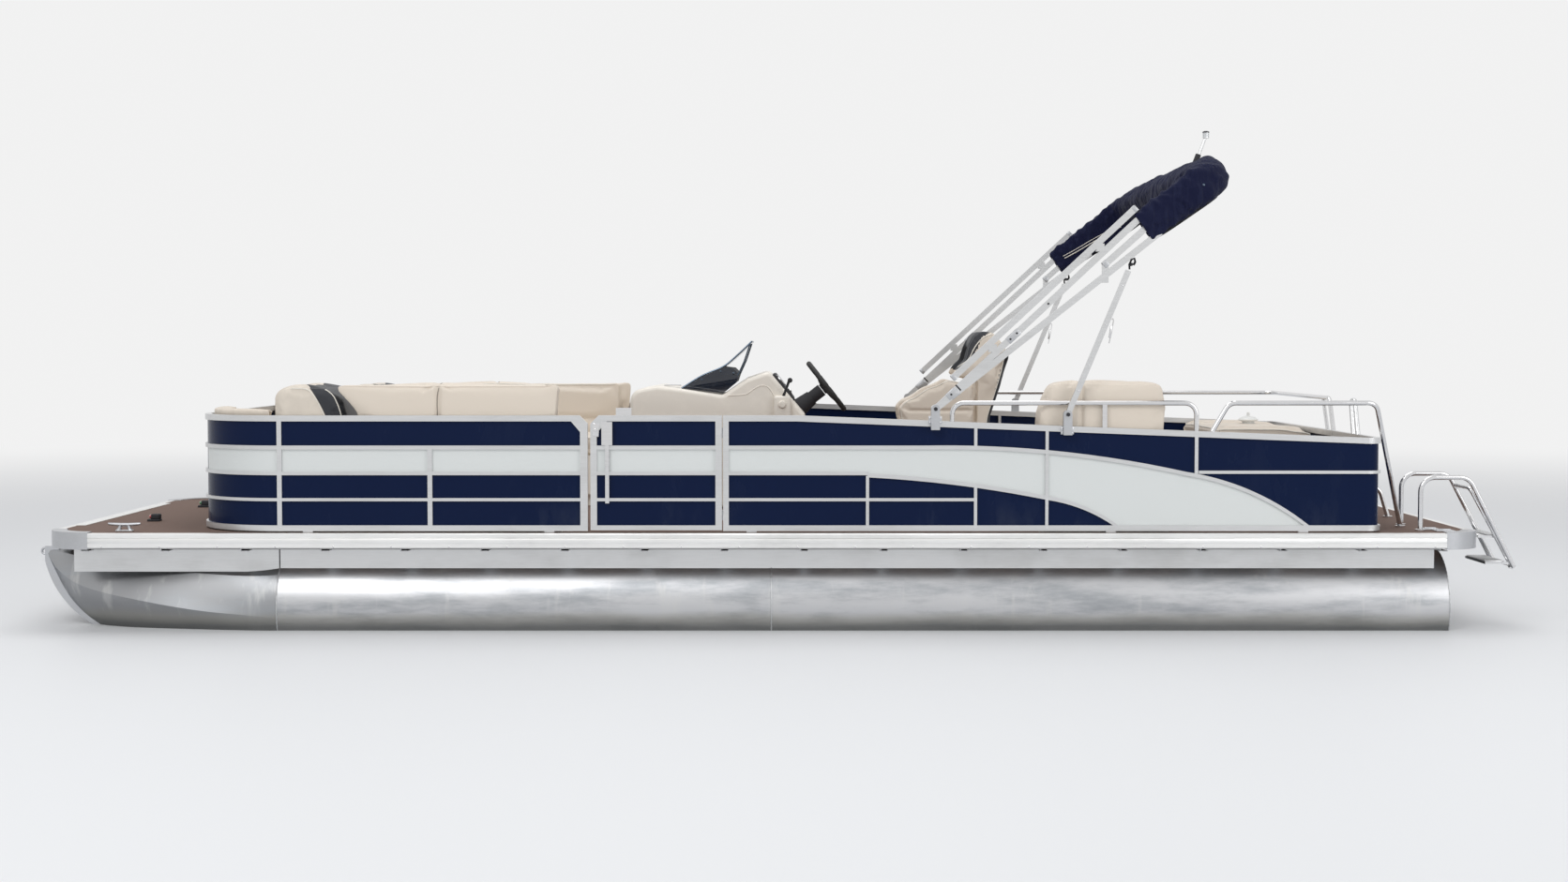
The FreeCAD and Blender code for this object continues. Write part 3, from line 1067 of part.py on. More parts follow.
def ladder():
    """Stern ladder: bent handrails with a fixed lower tread, and a folded section hinged at their feet."""
    foot_station, foot_z = LADDER_FOOT
    rails = []
    for side in (-1, 1):
        y = -LADDER_MIDDLE + side * LADDER_HALF
        landing, top = Vec(at(LADDER_LANDING), y, DECK), DECK + 275.0
        rails.append(pipe([landing, Vec(landing.x, y, top), Vec(at(LADDER_BEND), y, top),
                           Vec(at(foot_station), y, foot_z)], 75.0))
        rails.append(Part.makeCylinder(26.0, 8.0, landing))
    edge = LADDER_HALF - PIPE + 2
    tread_y = (-LADDER_MIDDLE - edge, -LADDER_MIDDLE + edge)
    tread = block((foot_station - 145, foot_station - 42), tread_y, (foot_z + 14, foot_z + 26))
    arms = [block((foot_station - 60, foot_station + 4), (y - 4, y + 4), (foot_z + 14, foot_z + 26))
            for y in (-LADDER_MIDDLE - edge, -LADDER_MIDDLE + edge)]
    pin = rod(Vec(at(foot_station), tread_y[0], foot_z), Vec(at(foot_station), tread_y[1], foot_z), 4.0)
    keep("ladder_rails", join(rails + [tread, pin] + arms))
    top_station, top_z = foot_station - 219.0, foot_z + 406.0
    inner = LADDER_HALF - 2 * PIPE - 12.0
    radius = 11.0
    low_y, high_y = -LADDER_MIDDLE - inner, -LADDER_MIDDLE + inner
    ends = [Vec(at(foot_station), low_y, foot_z), Vec(at(top_station), low_y, top_z),
            Vec(at(top_station), high_y, top_z), Vec(at(foot_station), high_y, foot_z)]
    swing = [pipe(ends, 30.0, radius)]
    for y in (low_y, high_y):
        swing.append(rod(Vec(at(foot_station), y - LADDER_BOSS, foot_z),
                         Vec(at(foot_station), y + LADDER_BOSS, foot_z), LADDER_BOSS))
    fraction = 0.38
    step_station, step_z = foot_station - 219 * fraction, foot_z + 406 * fraction
    swing.append(block((step_station - 90, step_station + 15), (low_y, high_y), (step_z - 6, step_z + 6)))
    hole = rod(Vec(at(foot_station), low_y - 30, foot_z), Vec(at(foot_station), high_y + 30, foot_z), 4.05)
    keep("ladder_step_section", join(swing).cut(hole))


def cleat(station, y, angle):
    """Horn cleat on the deck."""
    base = Part.makeBox(90, 24, 10, Vec(-45, -12, 0))
    horns = Part.makeBox(170, 16, 12, Vec(-85, -8, 30))
    legs = [Part.makeBox(16, 16, 24, Vec(x, -8, 8)) for x in (-32, 16)]
    shape = join([base, horns] + legs)
    shape.rotate(Vec(0, 0, 0), Z_AXIS, angle)
    shape.translate(Vec(at(station), y, DECK))
    return shape


def fittings():
    """Deck cleats, flush ones at the stern, and the bow's running lights."""
    flush = block((DECK_LENGTH - 255, DECK_LENGTH - 120), (HALF_WIDTH - 310, HALF_WIDTH - 110),
                  (DECK, DECK + 6))
    both_sides("cleats", cleat(400.0, HALF_WIDTH - 130, 0), flush)
    light = cushion((330, 400), (480, 540), (DECK, DECK + 42), 8.0)
    both_sides("bow_lights", light)


# ---------------------------------------------------------------- the whole boat
def build():
    """Model every node."""
    build_hull()
    build_fences()
    side_gate()
    bow_gate()
    stern_gate()
    guard_rails()
    for side, (end, high) in COUCHES.items():
        couch(side, end, high)
    corner_pads()
    aft_bench()
    sunpad()
    console()
    keep("windshield", windshield())
    steering()
    throttle()
    helm_chair()
    folding_top()
    ladder()
    fittings()


build()
os.makedirs("parts", exist_ok=True)
for name, solids in parts.items():
    shape = solids[0] if len(solids) == 1 else Part.makeCompound(solids)
    shape.exportStep("parts/" + name + ".step")
    print(name, len(solids), "solids", round(shape.Volume / 1e6, 2), "litres", shape.isValid())
print("deck at", DECK, "pivots", at(GATE_END + HINGE_GAP / 2), at(TOP_PIVOT[0]), at(STRUT_PIVOT[0]))
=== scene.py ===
"""Looks of the pontoon boat: finishes, upholstery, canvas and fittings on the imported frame.

Metres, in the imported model's frame: +X to the stern, -Y to port, +Z up. Places along the boat are stations,
metres aft of the bow edge of the deck; at() turns a station into X. Port is the side of the gate and ladder.
"""
from __future__ import annotations

import json
import logging
import math
from dataclasses import dataclass, field
from enum import Enum
from typing import Callable, Iterable, Sequence

import bmesh
import bpy
from mathutils import Matrix, Vector, noise
from mathutils.bvhtree import BVHTree

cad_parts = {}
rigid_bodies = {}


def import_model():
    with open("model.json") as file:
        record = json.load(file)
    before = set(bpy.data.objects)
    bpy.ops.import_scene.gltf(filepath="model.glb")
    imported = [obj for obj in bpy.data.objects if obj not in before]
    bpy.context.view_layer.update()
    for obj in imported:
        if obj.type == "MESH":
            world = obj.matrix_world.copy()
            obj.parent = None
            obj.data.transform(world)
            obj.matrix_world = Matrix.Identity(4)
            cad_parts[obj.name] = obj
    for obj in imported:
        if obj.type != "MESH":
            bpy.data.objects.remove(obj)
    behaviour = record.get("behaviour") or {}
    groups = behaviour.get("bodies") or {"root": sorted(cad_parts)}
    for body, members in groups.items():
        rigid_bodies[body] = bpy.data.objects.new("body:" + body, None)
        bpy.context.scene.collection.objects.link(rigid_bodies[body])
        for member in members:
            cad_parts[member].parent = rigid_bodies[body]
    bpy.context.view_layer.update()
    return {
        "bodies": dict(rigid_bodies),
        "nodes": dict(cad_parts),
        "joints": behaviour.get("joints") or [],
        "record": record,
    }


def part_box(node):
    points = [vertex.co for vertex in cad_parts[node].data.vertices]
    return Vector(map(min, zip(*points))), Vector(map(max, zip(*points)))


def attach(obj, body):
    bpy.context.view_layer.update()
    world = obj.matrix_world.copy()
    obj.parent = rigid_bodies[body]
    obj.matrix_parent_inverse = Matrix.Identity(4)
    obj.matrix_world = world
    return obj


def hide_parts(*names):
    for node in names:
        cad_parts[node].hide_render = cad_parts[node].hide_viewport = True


log = logging.getLogger("pontoon_boat")

Point = tuple[float, float, float]
Colour = tuple[float, float, float]
Place = Sequence[float]
Line = Sequence[Place]
Outline = Sequence[tuple[float, float]]
Parts = dict[str, bpy.types.Object]
Verts = list[bmesh.types.BMVert]
Inputs = dict[int | str, object]

# Heights and places of the boat, in metres.
BOW_X = -3.72
DECK = 0.692
SEAT_TOP = 1.112
FENCE_SIDE = 1.235
WATER_LINE = 0.186
PORT, STARBOARD = -1, 1

# Directions and limits: FAR is past the boat's ends, THIN is too little to see.
ACROSS = Vector((0.0, 1.0, 0.0))
EVEN = (1.0, 1.0, 1.0)
FAR = 9.0
THIN = 1e-5

# Upholstery: frames of the cloth simulation, where a seat's front seam lies, and how its piping is laid.
CLOTH_FRAMES = 20
SEAM_INSET = 0.10
SEAM_RISE = 0.08
WELT_STEP = 0.02
WELT_LIFT = 0.35


def at(station: float) -> float:
    """X of a station."""
    return BOW_X + station


def frange(start: float, end: float, step: float) -> list[float]:
    """Evenly spaced values from start to end, both included, no further apart than step."""
    count = max(1, math.ceil((end - start) / step))
    return [start + (end - start) * i / count for i in range(count + 1)]


# ---------------------------------------------------------------- shader kit
class Value:
    """A number that varies over a surface, held as a node socket; Python's operators add Math nodes."""

    def __init__(self, nodes: "Nodes", socket: bpy.types.NodeSocket) -> None:
        """Keep the socket and the material's nodes it belongs to."""
        self.nodes, self.socket = nodes, socket

    def _math(self, operation: str, first: "Value | float", second: "Value | float") -> "Value":
        """Math node on two values."""
        return self.nodes.add("ShaderNodeMath", {"operation": operation}, {0: first, 1: second})

    def __add__(self, other: "Value | float") -> "Value":
        """Sum."""
        return self._math("ADD", self, other)

    __radd__ = __add__

    def __sub__(self, other: "Value | float") -> "Value":
        """Difference."""
        return self._math("SUBTRACT", self, other)

    def __rsub__(self, other: "Value | float") -> "Value":
        """Difference, the other way round."""
        return self._math("SUBTRACT", other, self)

    def __mul__(self, other: "Value | float") -> "Value":
        """Product."""
        return self._math("MULTIPLY", self, other)

    __rmul__ = __mul__

    def __pow__(self, other: float) -> "Value":
        """Power."""
        return self._math("POWER", self, other)

    def above(self, low: float, high: float) -> "Value":
        """0 where the value is under low, 1 over high, and smooth between."""
        return self.nodes.add("ShaderNodeMapRange", {"interpolation_type": "SMOOTHSTEP"},
                              {"Value": self, "From Min": low, "From Max": high})

    def least(self, other: "Value | float") -> "Value":
        """The smaller of two values."""
        return self._math("MINIMUM", self, other)

    def most(self, other: "Value | float") -> "Value":
        """The larger of two values."""
        return self._math("MAXIMUM", self, other)


class Nodes:
    """The node tree of one material or world, with its patterns on Object coordinates."""

    def __init__(self, name: str, owner: bpy.types.World | None = None) -> None:
        """Start a material, or take a world, with an empty tree.

        Args:
            name: The material's name.
            owner: A world to use in place of a new material.
        """
        self.owner = owner or bpy.data.materials.new(name)
        self.owner.use_nodes = True
        self.tree = self.owner.node_tree
        self.tree.nodes.clear()
        self.place = self.add("ShaderNodeTexCoord", output="Object")

    def add(self, kind: str, settings: dict[str, object] | None = None,
            inputs: Inputs | None = None, output: int | str = 0) -> Value:
        """Add a node.

        Args:
            kind: The node's type.
            settings: Its settings, set before its sockets; "stops" holds a ramp's places and greys or colours.
            inputs: Values or links of its sockets.
            output: The socket that is returned.

        Returns:
            The output socket.
        """
        node = self.tree.nodes.new(kind)
        for key, value in (settings or {}).items():
            if key == "stops":
                for index, (stop, shade) in enumerate(value):
                    element = (node.color_ramp.elements[index] if index < 2
                               else node.color_ramp.elements.new(stop))
                    element.position, element.color = stop, (*shade, 1.0)
            else:
                setattr(node, key, value)
        for key, value in (inputs or {}).items():
            self.link(node.inputs[key], value)
        return Value(self, node.outputs[output]) if node.outputs else Value(self, node.inputs[0])

    def link(self, socket: bpy.types.NodeSocket, value: object) -> None:
        """Give a socket a link or a constant.

        Args:
            socket: A node's input.
            value: A value, a colour or a number.
        """
        if isinstance(value, Value):
            self.tree.links.new(value.socket, socket)
        elif isinstance(value, tuple) and len(value) == 3 and len(socket.default_value) == 4:
            socket.default_value = (*value, 1.0)
        else:
            socket.default_value = value

    def mapped(self, scale: Point, turn: Point = (0.0, 0.0, 0.0)) -> Value:
        """Object coordinates, scaled and turned."""
        return self.add("ShaderNodeMapping", {}, {"Vector": self.place, "Scale": scale, "Rotation": turn})

    def noise(self, scale: float, stretch: Point = EVEN, detail: float = 3.0, rough: float = 0.5) -> Value:
        """Noise pattern, stretched along the axes with a small factor."""
        return self.add("ShaderNodeTexNoise", {}, {"Vector": self.mapped(stretch), "Scale": scale,
                                                   "Detail": detail, "Roughness": rough})

    def cells(self, scale: float) -> Value:
        """Distance pattern of random cells."""
        return self.add("ShaderNodeTexVoronoi", {}, {"Vector": self.mapped(EVEN), "Scale": scale})

    def waves(self, scale: float, direction: str, distortion: float = 0.0) -> Value:
        """Bands across one axis.

        Args:
            scale: Bands per metre, roughly.
            direction: The axis, X, Y or Z.
            distortion: How far the bands waver.

        Returns:
            The pattern.
        """
        return self.add("ShaderNodeTexWave", {"bands_direction": direction},
                        {"Vector": self.mapped(EVEN), "Scale": scale, "Distortion": distortion,
                         "Detail": 1.0, "Detail Scale": 2.0}, "Fac")

    def axis(self, name: str) -> Value:
        """One of the Object coordinates, in metres."""
        return self.add("ShaderNodeSeparateXYZ", {}, {0: self.place}, name)

    def facing(self, name: str) -> Value:
        """How far the surface faces along one of the axes, from -1 to 1."""
        normal = self.add("ShaderNodeNewGeometry", {}, {}, "Normal")
        return self.add("ShaderNodeSeparateXYZ", {}, {0: normal}, name)

    def mix(self, factor: Value | float, low: Value | Colour, high: Value | Colour) -> Value:
        """Blend of two colours."""
        return self.add("ShaderNodeMix", {"data_type": "RGBA"}, {0: factor, 6: low, 7: high}, 2)

    def bump(self, height: Value, depth: float, below: Value | None = None) -> Value:
        """Bump whose relief is depth metres for a height of 1, on top of another bump.

        Args:
            height: The relief, from 0 to 1.
            depth: Its depth in metres.
            below: The bump under it.

        Returns:
            The normal.
        """
        inputs: Inputs = {"Strength": 1.0, "Distance": depth, "Height": height}
        if below is not None:
            inputs["Normal"] = below
        return self.add("ShaderNodeBump", {}, inputs)

    def straight(self) -> Value:
        """1 for rays of the camera, of gloss and of glass, and 0 for the light that falls on a surface.

        Returns:
            The mask.
        """
        rays = self.add("ShaderNodeLightPath", output="Is Camera Ray")
        others = ("Is Glossy Ray", "Is Transmission Ray")
        gloss, glass = (Value(self, rays.socket.node.outputs[name]) for name in others)
        return rays.most(gloss).most(glass)

    def close(self, shader: Value, output: str = "ShaderNodeOutputMaterial") -> bpy.types.ID:
        """End the tree with a shader and return the material or world."""
        self.add(output, {}, {"Surface": shader})
        return self.owner

    def surface(self, inputs: Inputs) -> bpy.types.Material:
        """End the tree with a Principled surface and return the material."""
        return self.close(self.add("ShaderNodeBsdfPrincipled", {}, inputs))


# ---------------------------------------------------------------- finishes
@dataclass(frozen=True)
class Metal:
    """Bare or anodised metal, with fine grain along one axis, cloudy patches and small scratches."""

    name: str
    colour: Colour
    roughness: float
    grain: Point = (0.06, 1.0, 1.0)
    fine: float = 160.0
    relief: float = 0.00006
    stain: Colour = (0.42, 0.42, 0.41)
    stained: float = 0.35

    def make(self) -> bpy.types.Material:
        """Build the material.

        Returns:
            The material.
        """
        n = Nodes(self.name)
        streaks = n.noise(self.fine, self.grain, 5.0, 0.65)
        patches = n.noise(2.6, (0.7, 1.0, 1.6), 6.0, 0.62).above(0.42, 0.72)
        scuffs = n.noise(34.0, (0.35, 1.0, 1.0), 4.0, 0.7).above(0.60, 0.78)
        tint = n.mix(patches * self.stained, self.colour, self.stain)
        tint = n.mix(streaks.above(0.35, 0.7) * 0.22, tint, tuple(min(1.0, c * 1.22) for c in self.colour))
        rough = self.roughness + (streaks - 0.5) * 0.16 + patches * 0.10 + scuffs * 0.12
        return n.surface({"Base Color": tint, "Metallic": 1.0, "Roughness": rough,
                          "Normal": n.bump(streaks + scuffs * 0.6, self.relief)})


@dataclass(frozen=True)
class HullMetal:
    """Marine sheet of the tubes: mill grain, rolled ripple, water marks and a painted dark reflection of the water near
    the water line, and drips from the weld.
    """

    name: str
    colour: Colour = (0.56, 0.565, 0.58)

    def make(self) -> bpy.types.Material:
        """Build the material.

        Returns:
            The material.
        """
        n = Nodes(self.name)
        height = n.axis("Z")
        grain = n.noise(210.0, (0.03, 1.0, 1.0), 5.0, 0.7)
        ripple = n.noise(1.5, (0.55, 1.0, 2.2), 2.0, 0.45)
        cloud = n.noise(3.2, (0.5, 1.0, 2.6), 6.0, 0.66)
        drips = n.noise(16.0, (1.0, 1.0, 0.07), 3.0, 0.6).above(0.56, 0.74)
        edge = height + (n.noise(7.0, (0.3, 0.3, 1.0), 3.0) - 0.5) * 0.05
        # Dark band along the water line: water staining, deepened as a painted dark reflection of the water.
        wet_and_reflection = 1 - edge.above(WATER_LINE + 0.015, WATER_LINE + 0.080)
        scum = edge.above(WATER_LINE + 0.02, WATER_LINE + 0.04) * (1 - edge.above(WATER_LINE + 0.06, WATER_LINE + 0.11))
        tint = n.mix(cloud.above(0.40, 0.70), self.colour, (0.35, 0.365, 0.385))
        tint = n.mix(drips * 0.45, tint, (0.60, 0.60, 0.59))
        tint = n.mix(scum * 0.55, tint, (0.30, 0.29, 0.25))
        tint = n.mix(wet_and_reflection * 0.8, tint, (0.15, 0.152, 0.145))
        rough = 0.27 + cloud * 0.20 + (grain - 0.5) * 0.14 + scum * 0.2 + drips * 0.06
        relief = n.bump(grain, 0.00005, n.bump(ripple, 0.010))
        return n.surface({"Base Color": tint, "Metallic": 0.94 - scum * 0.35, "Roughness": rough, "Normal": relief})


@dataclass(frozen=True)
class GlossSheet:
    """Painted aluminium sheet with a clear coat: faint waviness, dust toward the foot and fine wash marks."""

    name: str
    colour: Colour
    dust: Colour
    scratch: Colour
    scratches: float = 0.35
    base_rough: float = 0.24

    def make(self) -> bpy.types.Material:
        """Build the material.

        Returns:
            The material.
        """
        n = Nodes(self.name)
        wave = n.noise(1.3, (1.0, 1.0, 0.6), 1.5, 0.4)
        peel = n.noise(230.0, detail=2.0)
        fleck = n.cells(900.0)
        smear = n.noise(9.0, (0.4, 0.4, 0.16), 5.0, 0.65).above(0.50, 0.80)
        foot = 1 - n.axis("Z").above(DECK + 0.02, DECK + 0.20)
        marks = n.noise(42.0, (0.5, 1.0, 0.10), 6.0, 0.8).above(0.70, 0.78) * self.scratches
        tint = n.mix(fleck.above(0.0, 0.35) * 0.10, tuple(min(1.0, c * 1.25 + 0.002) for c in self.colour), self.colour)
        tint = n.mix((smear * 0.10 + foot * smear * 0.30).least(0.5), tint, self.dust)
        tint = n.mix(marks, tint, self.scratch)
        return n.surface({
            "Base Color": tint, "Roughness": self.base_rough + smear * 0.14 + marks * 0.2,
            "Coat Weight": 0.12 - smear * 0.06, "Coat Roughness": 0.045, "Coat IOR": 1.4,
            "Specular IOR Level": 0.04,
            "Normal": n.bump(peel, 0.00002, n.bump(wave, 0.0035))})


BAND_STATION = 1.331
BEIGE_DYE = (0.70, 0.63, 0.54)
CHARCOAL_DYE = (0.030, 0.032, 0.038)


def swoop(fallen: Value | float) -> Value | float:
    """How far aft of its top the dark band's front edge lies, once it has come down by fallen metres."""
    return 0.108 * (fallen * (1.0 / 0.149)) ** 0.62


@dataclass(frozen=True)
class Vinyl:
    """Grained marine vinyl: pebbled relief, slight mottling, darker creases and a soft sheen.

    Where it has a band colour, that covers all that lies astern of the band's front edge, whose top is at
    band_top.
    """

    name: str
    colour: Colour
    grain: float = 620.0
    relief: float = 0.00022
    roughness: float = 0.50
    band: Colour | None = None
    band_top: float = 0.0

    def make(self) -> bpy.types.Material:
        """Build the material.

        Returns:
            The material.
        """
        n = Nodes(self.name)
        pebble = n.cells(self.grain)
        fine = n.noise(self.grain * 2.2, detail=2.0)
        mottle = n.noise(7.0, detail=5.0, rough=0.6)
        pull = n.noise(26.0, (0.25, 1.0, 1.0), 3.0, 0.6)
        tint = self.shade(n, self.colour, mottle, pebble)
        if self.band:
            edge = n.axis("X") - at(BAND_STATION) - swoop((self.band_top - n.axis("Z")).most(0.0))
            tint = n.mix(edge.above(-0.0006, 0.0006), tint, self.shade(n, self.band, mottle, pebble))
        rough = self.roughness + (mottle - 0.5) * 0.14 + pebble * 0.06
        return n.surface({
            "Base Color": tint, "Roughness": rough, "Specular IOR Level": 0.3,
            "Sheen Weight": 0.06, "Sheen Roughness": 0.4,
            "Normal": n.bump(pebble + fine * 0.25, self.relief, n.bump(pull, 0.0012))})

    def shade(self, n: Nodes, colour: Colour, mottle: Value, pebble: Value) -> Value:
        """One of the colours, mottled and darker in the grain."""
        dark, pale = tuple(c * 0.93 for c in colour), tuple(min(1.0, c * 1.05) for c in colour)
        return n.mix(pebble.above(0.25, 0.75) * 0.22, n.mix(mottle.above(0.34, 0.68), dark, pale), dark)


@dataclass(frozen=True)
class Canvas:
    """Woven acrylic canvas: warp and weft relief, gathers across the arms, fading on top, and painted highlights along
    the folds.
    """

    name: str
    colour: Colour
    faded_and_highlight: Colour
    threads: float = 520.0

    def make(self) -> bpy.types.Material:
        """Build the material.

        Returns:
            The material.
        """
        n = Nodes(self.name)
        warp, weft, pile = (n.waves(self.threads, direction, 1.2) for direction in ("X", "Y", "Z"))
        slub = n.noise(90.0, (0.2, 1.0, 1.0), 3.0, 0.6)
        fade = n.noise(3.5, detail=5.0, rough=0.6).above(0.38, 0.72)
        top = n.facing("Z").above(0.1, 0.9)
        weave = (warp * weft).most(pile * 0.6)
        tint = n.mix((fade * 0.35 + top * 0.05).least(0.6), self.colour, self.faded_and_highlight)
        folds = n.add("ShaderNodeTexNoise", {}, {"Vector": n.mapped((1.0, 1.0, 0.10), (0.0, math.radians(36.0), 0.0)),
                                                "Scale": 34.0, "Detail": 2.0, "Roughness": 0.5}).above(0.46, 0.66)
        # Paler lines along the folds: painted highlights on the fold ridges, in the faded colour.
        tint = n.mix(folds * 0.55, tint, self.faded_and_highlight)
        tint = n.mix(weave * 0.25, tint, tuple(c * 0.5 for c in self.colour))
        return n.surface({
            "Base Color": tint, "Roughness": 0.82 + slub * 0.12, "Specular IOR Level": 0.15, "Sheen Weight": 0.05,
            "Sheen Roughness": 0.5, "Normal": n.bump(weave + slub * 0.3, 0.00025, n.bump(folds, 0.004))})


@dataclass(frozen=True)
class Carpet:
    """Brown marine deck covering: short looped pile with trodden patches."""

    name: str
    colour: Colour

    def make(self) -> bpy.types.Material:
        """Build the material.

        Returns:
            The material.
        """
        n = Nodes(self.name)
        loops = n.cells(380.0)
        tuft = n.noise(900.0, detail=2.0)
        trodden = n.noise(2.2, (0.8, 1.4, 1.0), 5.0, 0.6).above(0.42, 0.70)
        ribs = n.waves(26.0, "Y", 0.4)
        tint = n.mix(loops.above(0.1, 0.7), tuple(min(1.0, c * 1.35) for c in self.colour),
                     tuple(c * 0.55 for c in self.colour))
        tint = n.mix(trodden * 0.30, tint, tuple(c * 1.5 for c in self.colour))
        return n.surface({"Base Color": tint, "Roughness": 0.92 - trodden * 0.08,
                          "Normal": n.bump(loops * 0.8 + tuft * 0.5 + ribs * 0.35, 0.0012)})


@dataclass(frozen=True)
class Moulded:
    """Moulded or cast plastic: fine texture, moulding waves, rubbed patches and fine scratches."""

    name: str
    colour: Colour
    roughness: float = 0.36
    texture: float = 0.00005

    def make(self) -> bpy.types.Material:
        """Build the material.

        Returns:
            The material.
        """
        n = Nodes(self.name)
        fine = n.noise(700.0, detail=2.0)
        wave = n.noise(2.4, detail=2.0, rough=0.4)
        rub = n.noise(11.0, detail=5.0, rough=0.65).above(0.48, 0.76)
        scratch = n.noise(60.0, (0.12, 1.0, 1.0), 4.0, 0.75).above(0.68, 0.76)
        tint = n.mix(rub * 0.35, self.colour, tuple(min(1.0, c * 1.12 + 0.01) for c in self.colour))
        tint = n.mix(scratch * 0.25, tint, tuple(c * 0.75 for c in self.colour))
        return n.surface({"Base Color": tint, "Roughness": self.roughness + rub * 0.12 + scratch * 0.12,
                          "Normal": n.bump(fine, self.texture, n.bump(wave, 0.0015))})


@dataclass(frozen=True)
class Clear:
    """Clear or smoked acrylic, with faint wash marks."""

    name: str
    colour: Colour
    alpha: float
    roughness: float = 0.03

    def make(self) -> bpy.types.Material:
        """Build the material.

        Returns:
            The material.
        """
        n = Nodes(self.name)
        smear = n.noise(7.0, (0.5, 1.0, 0.3), 5.0, 0.65).above(0.52, 0.82)
        return n.surface({"Base Color": self.colour, "Roughness": self.roughness + smear * 0.10, "IOR": 1.49,
                          "Alpha": self.alpha + smear * 0.10, "Specular IOR Level": 0.8})


@dataclass(frozen=True)
class Lamp:
    """Coloured lens with moulded ribs."""

    name: str
    colour: Colour

    def make(self) -> bpy.types.Material:
        """Build the material.

        Returns:
            The material.
        """
        n = Nodes(self.name)
        ribs = n.waves(150.0, "Z")
        tint = n.mix(ribs * 0.5, self.colour, tuple(c * 0.6 for c in self.colour))
        return n.surface({"Base Color": tint, "Roughness": 0.12 + ribs * 0.1, "Coat Weight": 1.0,
                          "Coat Roughness": 0.04, "Normal": n.bump(ribs, 0.0008)})


class Finish(Enum):
    """Every finish on the boat; an Enum member's material is made once, when it is first asked for."""

    TUBE = HullMetal("tube_sheet")
    NOSE = HullMetal("nosecone_sheet_painted_shade", (0.34, 0.345, 0.355))
    RUB = Metal("rub_rail_aluminium", (0.84, 0.84, 0.83), 0.34, (0.05, 0.6, 1.0))
    RAIL = Metal("satin_aluminium", (0.64, 0.645, 0.65), 0.32, (0.05, 0.6, 1.0))
    WELD = Metal("weld_bead", (0.55, 0.56, 0.57), 0.42, EVEN, 90.0, 0.0004)
    CAST = Metal("cast_aluminium", (0.50, 0.51, 0.53), 0.38, EVEN, 120.0, 0.0003)
    STAINLESS = Metal("polished_stainless", (0.68, 0.68, 0.69), 0.12, (0.1, 0.5, 1.0), 120.0, 0.00001,
                      (0.66, 0.65, 0.63), 0.25)
    CROSSMEMBER = Metal("mill_aluminium", (0.50, 0.51, 0.52), 0.40, (1.0, 0.05, 1.0))
    DARK_TRIM = Metal("dark_trim", (0.10, 0.13, 0.17), 0.24, EVEN, 120.0, 0.00001, (0.06, 0.07, 0.09), 0.25)
    BLUE = GlossSheet("navy_sheet", (0.0018, 0.0075, 0.034), (0.05, 0.06, 0.09), (0.06, 0.08, 0.12), 0.25)
    GREY = GlossSheet("grey_sheet", (0.615, 0.625, 0.605), (0.50, 0.49, 0.46), (0.16, 0.17, 0.18), 0.55)
    BEIGE = Vinyl("beige_vinyl", BEIGE_DYE)
    CHARCOAL = Vinyl("charcoal_vinyl", CHARCOAL_DYE)
    BANDED_PORT = Vinyl("banded_vinyl_port", BEIGE_DYE, band=CHARCOAL_DYE, band_top=1.443)
    BANDED_STARBOARD = Vinyl("banded_vinyl_starboard", BEIGE_DYE, band=CHARCOAL_DYE, band_top=1.413)
    # Dark cord along the couch back's joint: a painted shadow line of the seam.
    SEAM = Vinyl("seam_shadow_line", (0.30, 0.265, 0.225), 900.0, 0.0001, 0.60)
    PIPING = Vinyl("pale_piping", (0.76, 0.72, 0.64), 900.0, 0.0001, 0.40)
    BOOT = Canvas("navy_canvas", (0.006, 0.008, 0.034), (0.016, 0.020, 0.055))
    BINDING = Canvas("black_binding", (0.012, 0.012, 0.014), (0.03, 0.03, 0.035), 700.0)
    CARPET = Carpet("deck_covering", (0.115, 0.062, 0.045))
    MOULDED = Moulded("beige_moulding", (0.84, 0.785, 0.70), 0.34)
    BLACK = Moulded("black_plastic", (0.018, 0.018, 0.020), 0.38, 0.0001)
    RUBBER = Moulded("black_rubber", (0.022, 0.022, 0.022), 0.70, 0.0003)
    WHITE = Moulded("white_plastic", (0.78, 0.78, 0.75), 0.28)
    DIAL = Moulded("dial_face", (0.03, 0.032, 0.036), 0.30)
    DIAL_MARK = Moulded("dial_marks", (0.80, 0.80, 0.78), 0.35)
    SMOKED = Clear("smoked_acrylic", (0.012, 0.018, 0.034), 0.74)
    GLASS = Clear("clear_lens", (0.80, 0.84, 0.86), 0.30)
    RED_LENS = Lamp("red_lens", (0.55, 0.02, 0.015))
    GREEN_LENS = Lamp("green_lens", (0.02, 0.30, 0.09))

    @property
    def material(self) -> bpy.types.Material:
        """The finish's material."""
        return bpy.data.materials.get(self.value.name) or self.value.make()


# ---------------------------------------------------------------- shape kit
def publish(piece: bpy.types.Object, body: str, replaces: Iterable[str] = ()) -> bpy.types.Object:
    """Tell the frame which body a piece rides on, and the CAD nodes it stands for.

    Args:
        piece: The finished piece.
        body: The CAD body it moves with.
        replaces: CAD nodes that it stands for.

    Returns:
        The piece.
    """
    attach(piece, body)
    if replaces:
        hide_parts(*replaces)
    log.info("%s on %s", piece.name, body)
    return piece


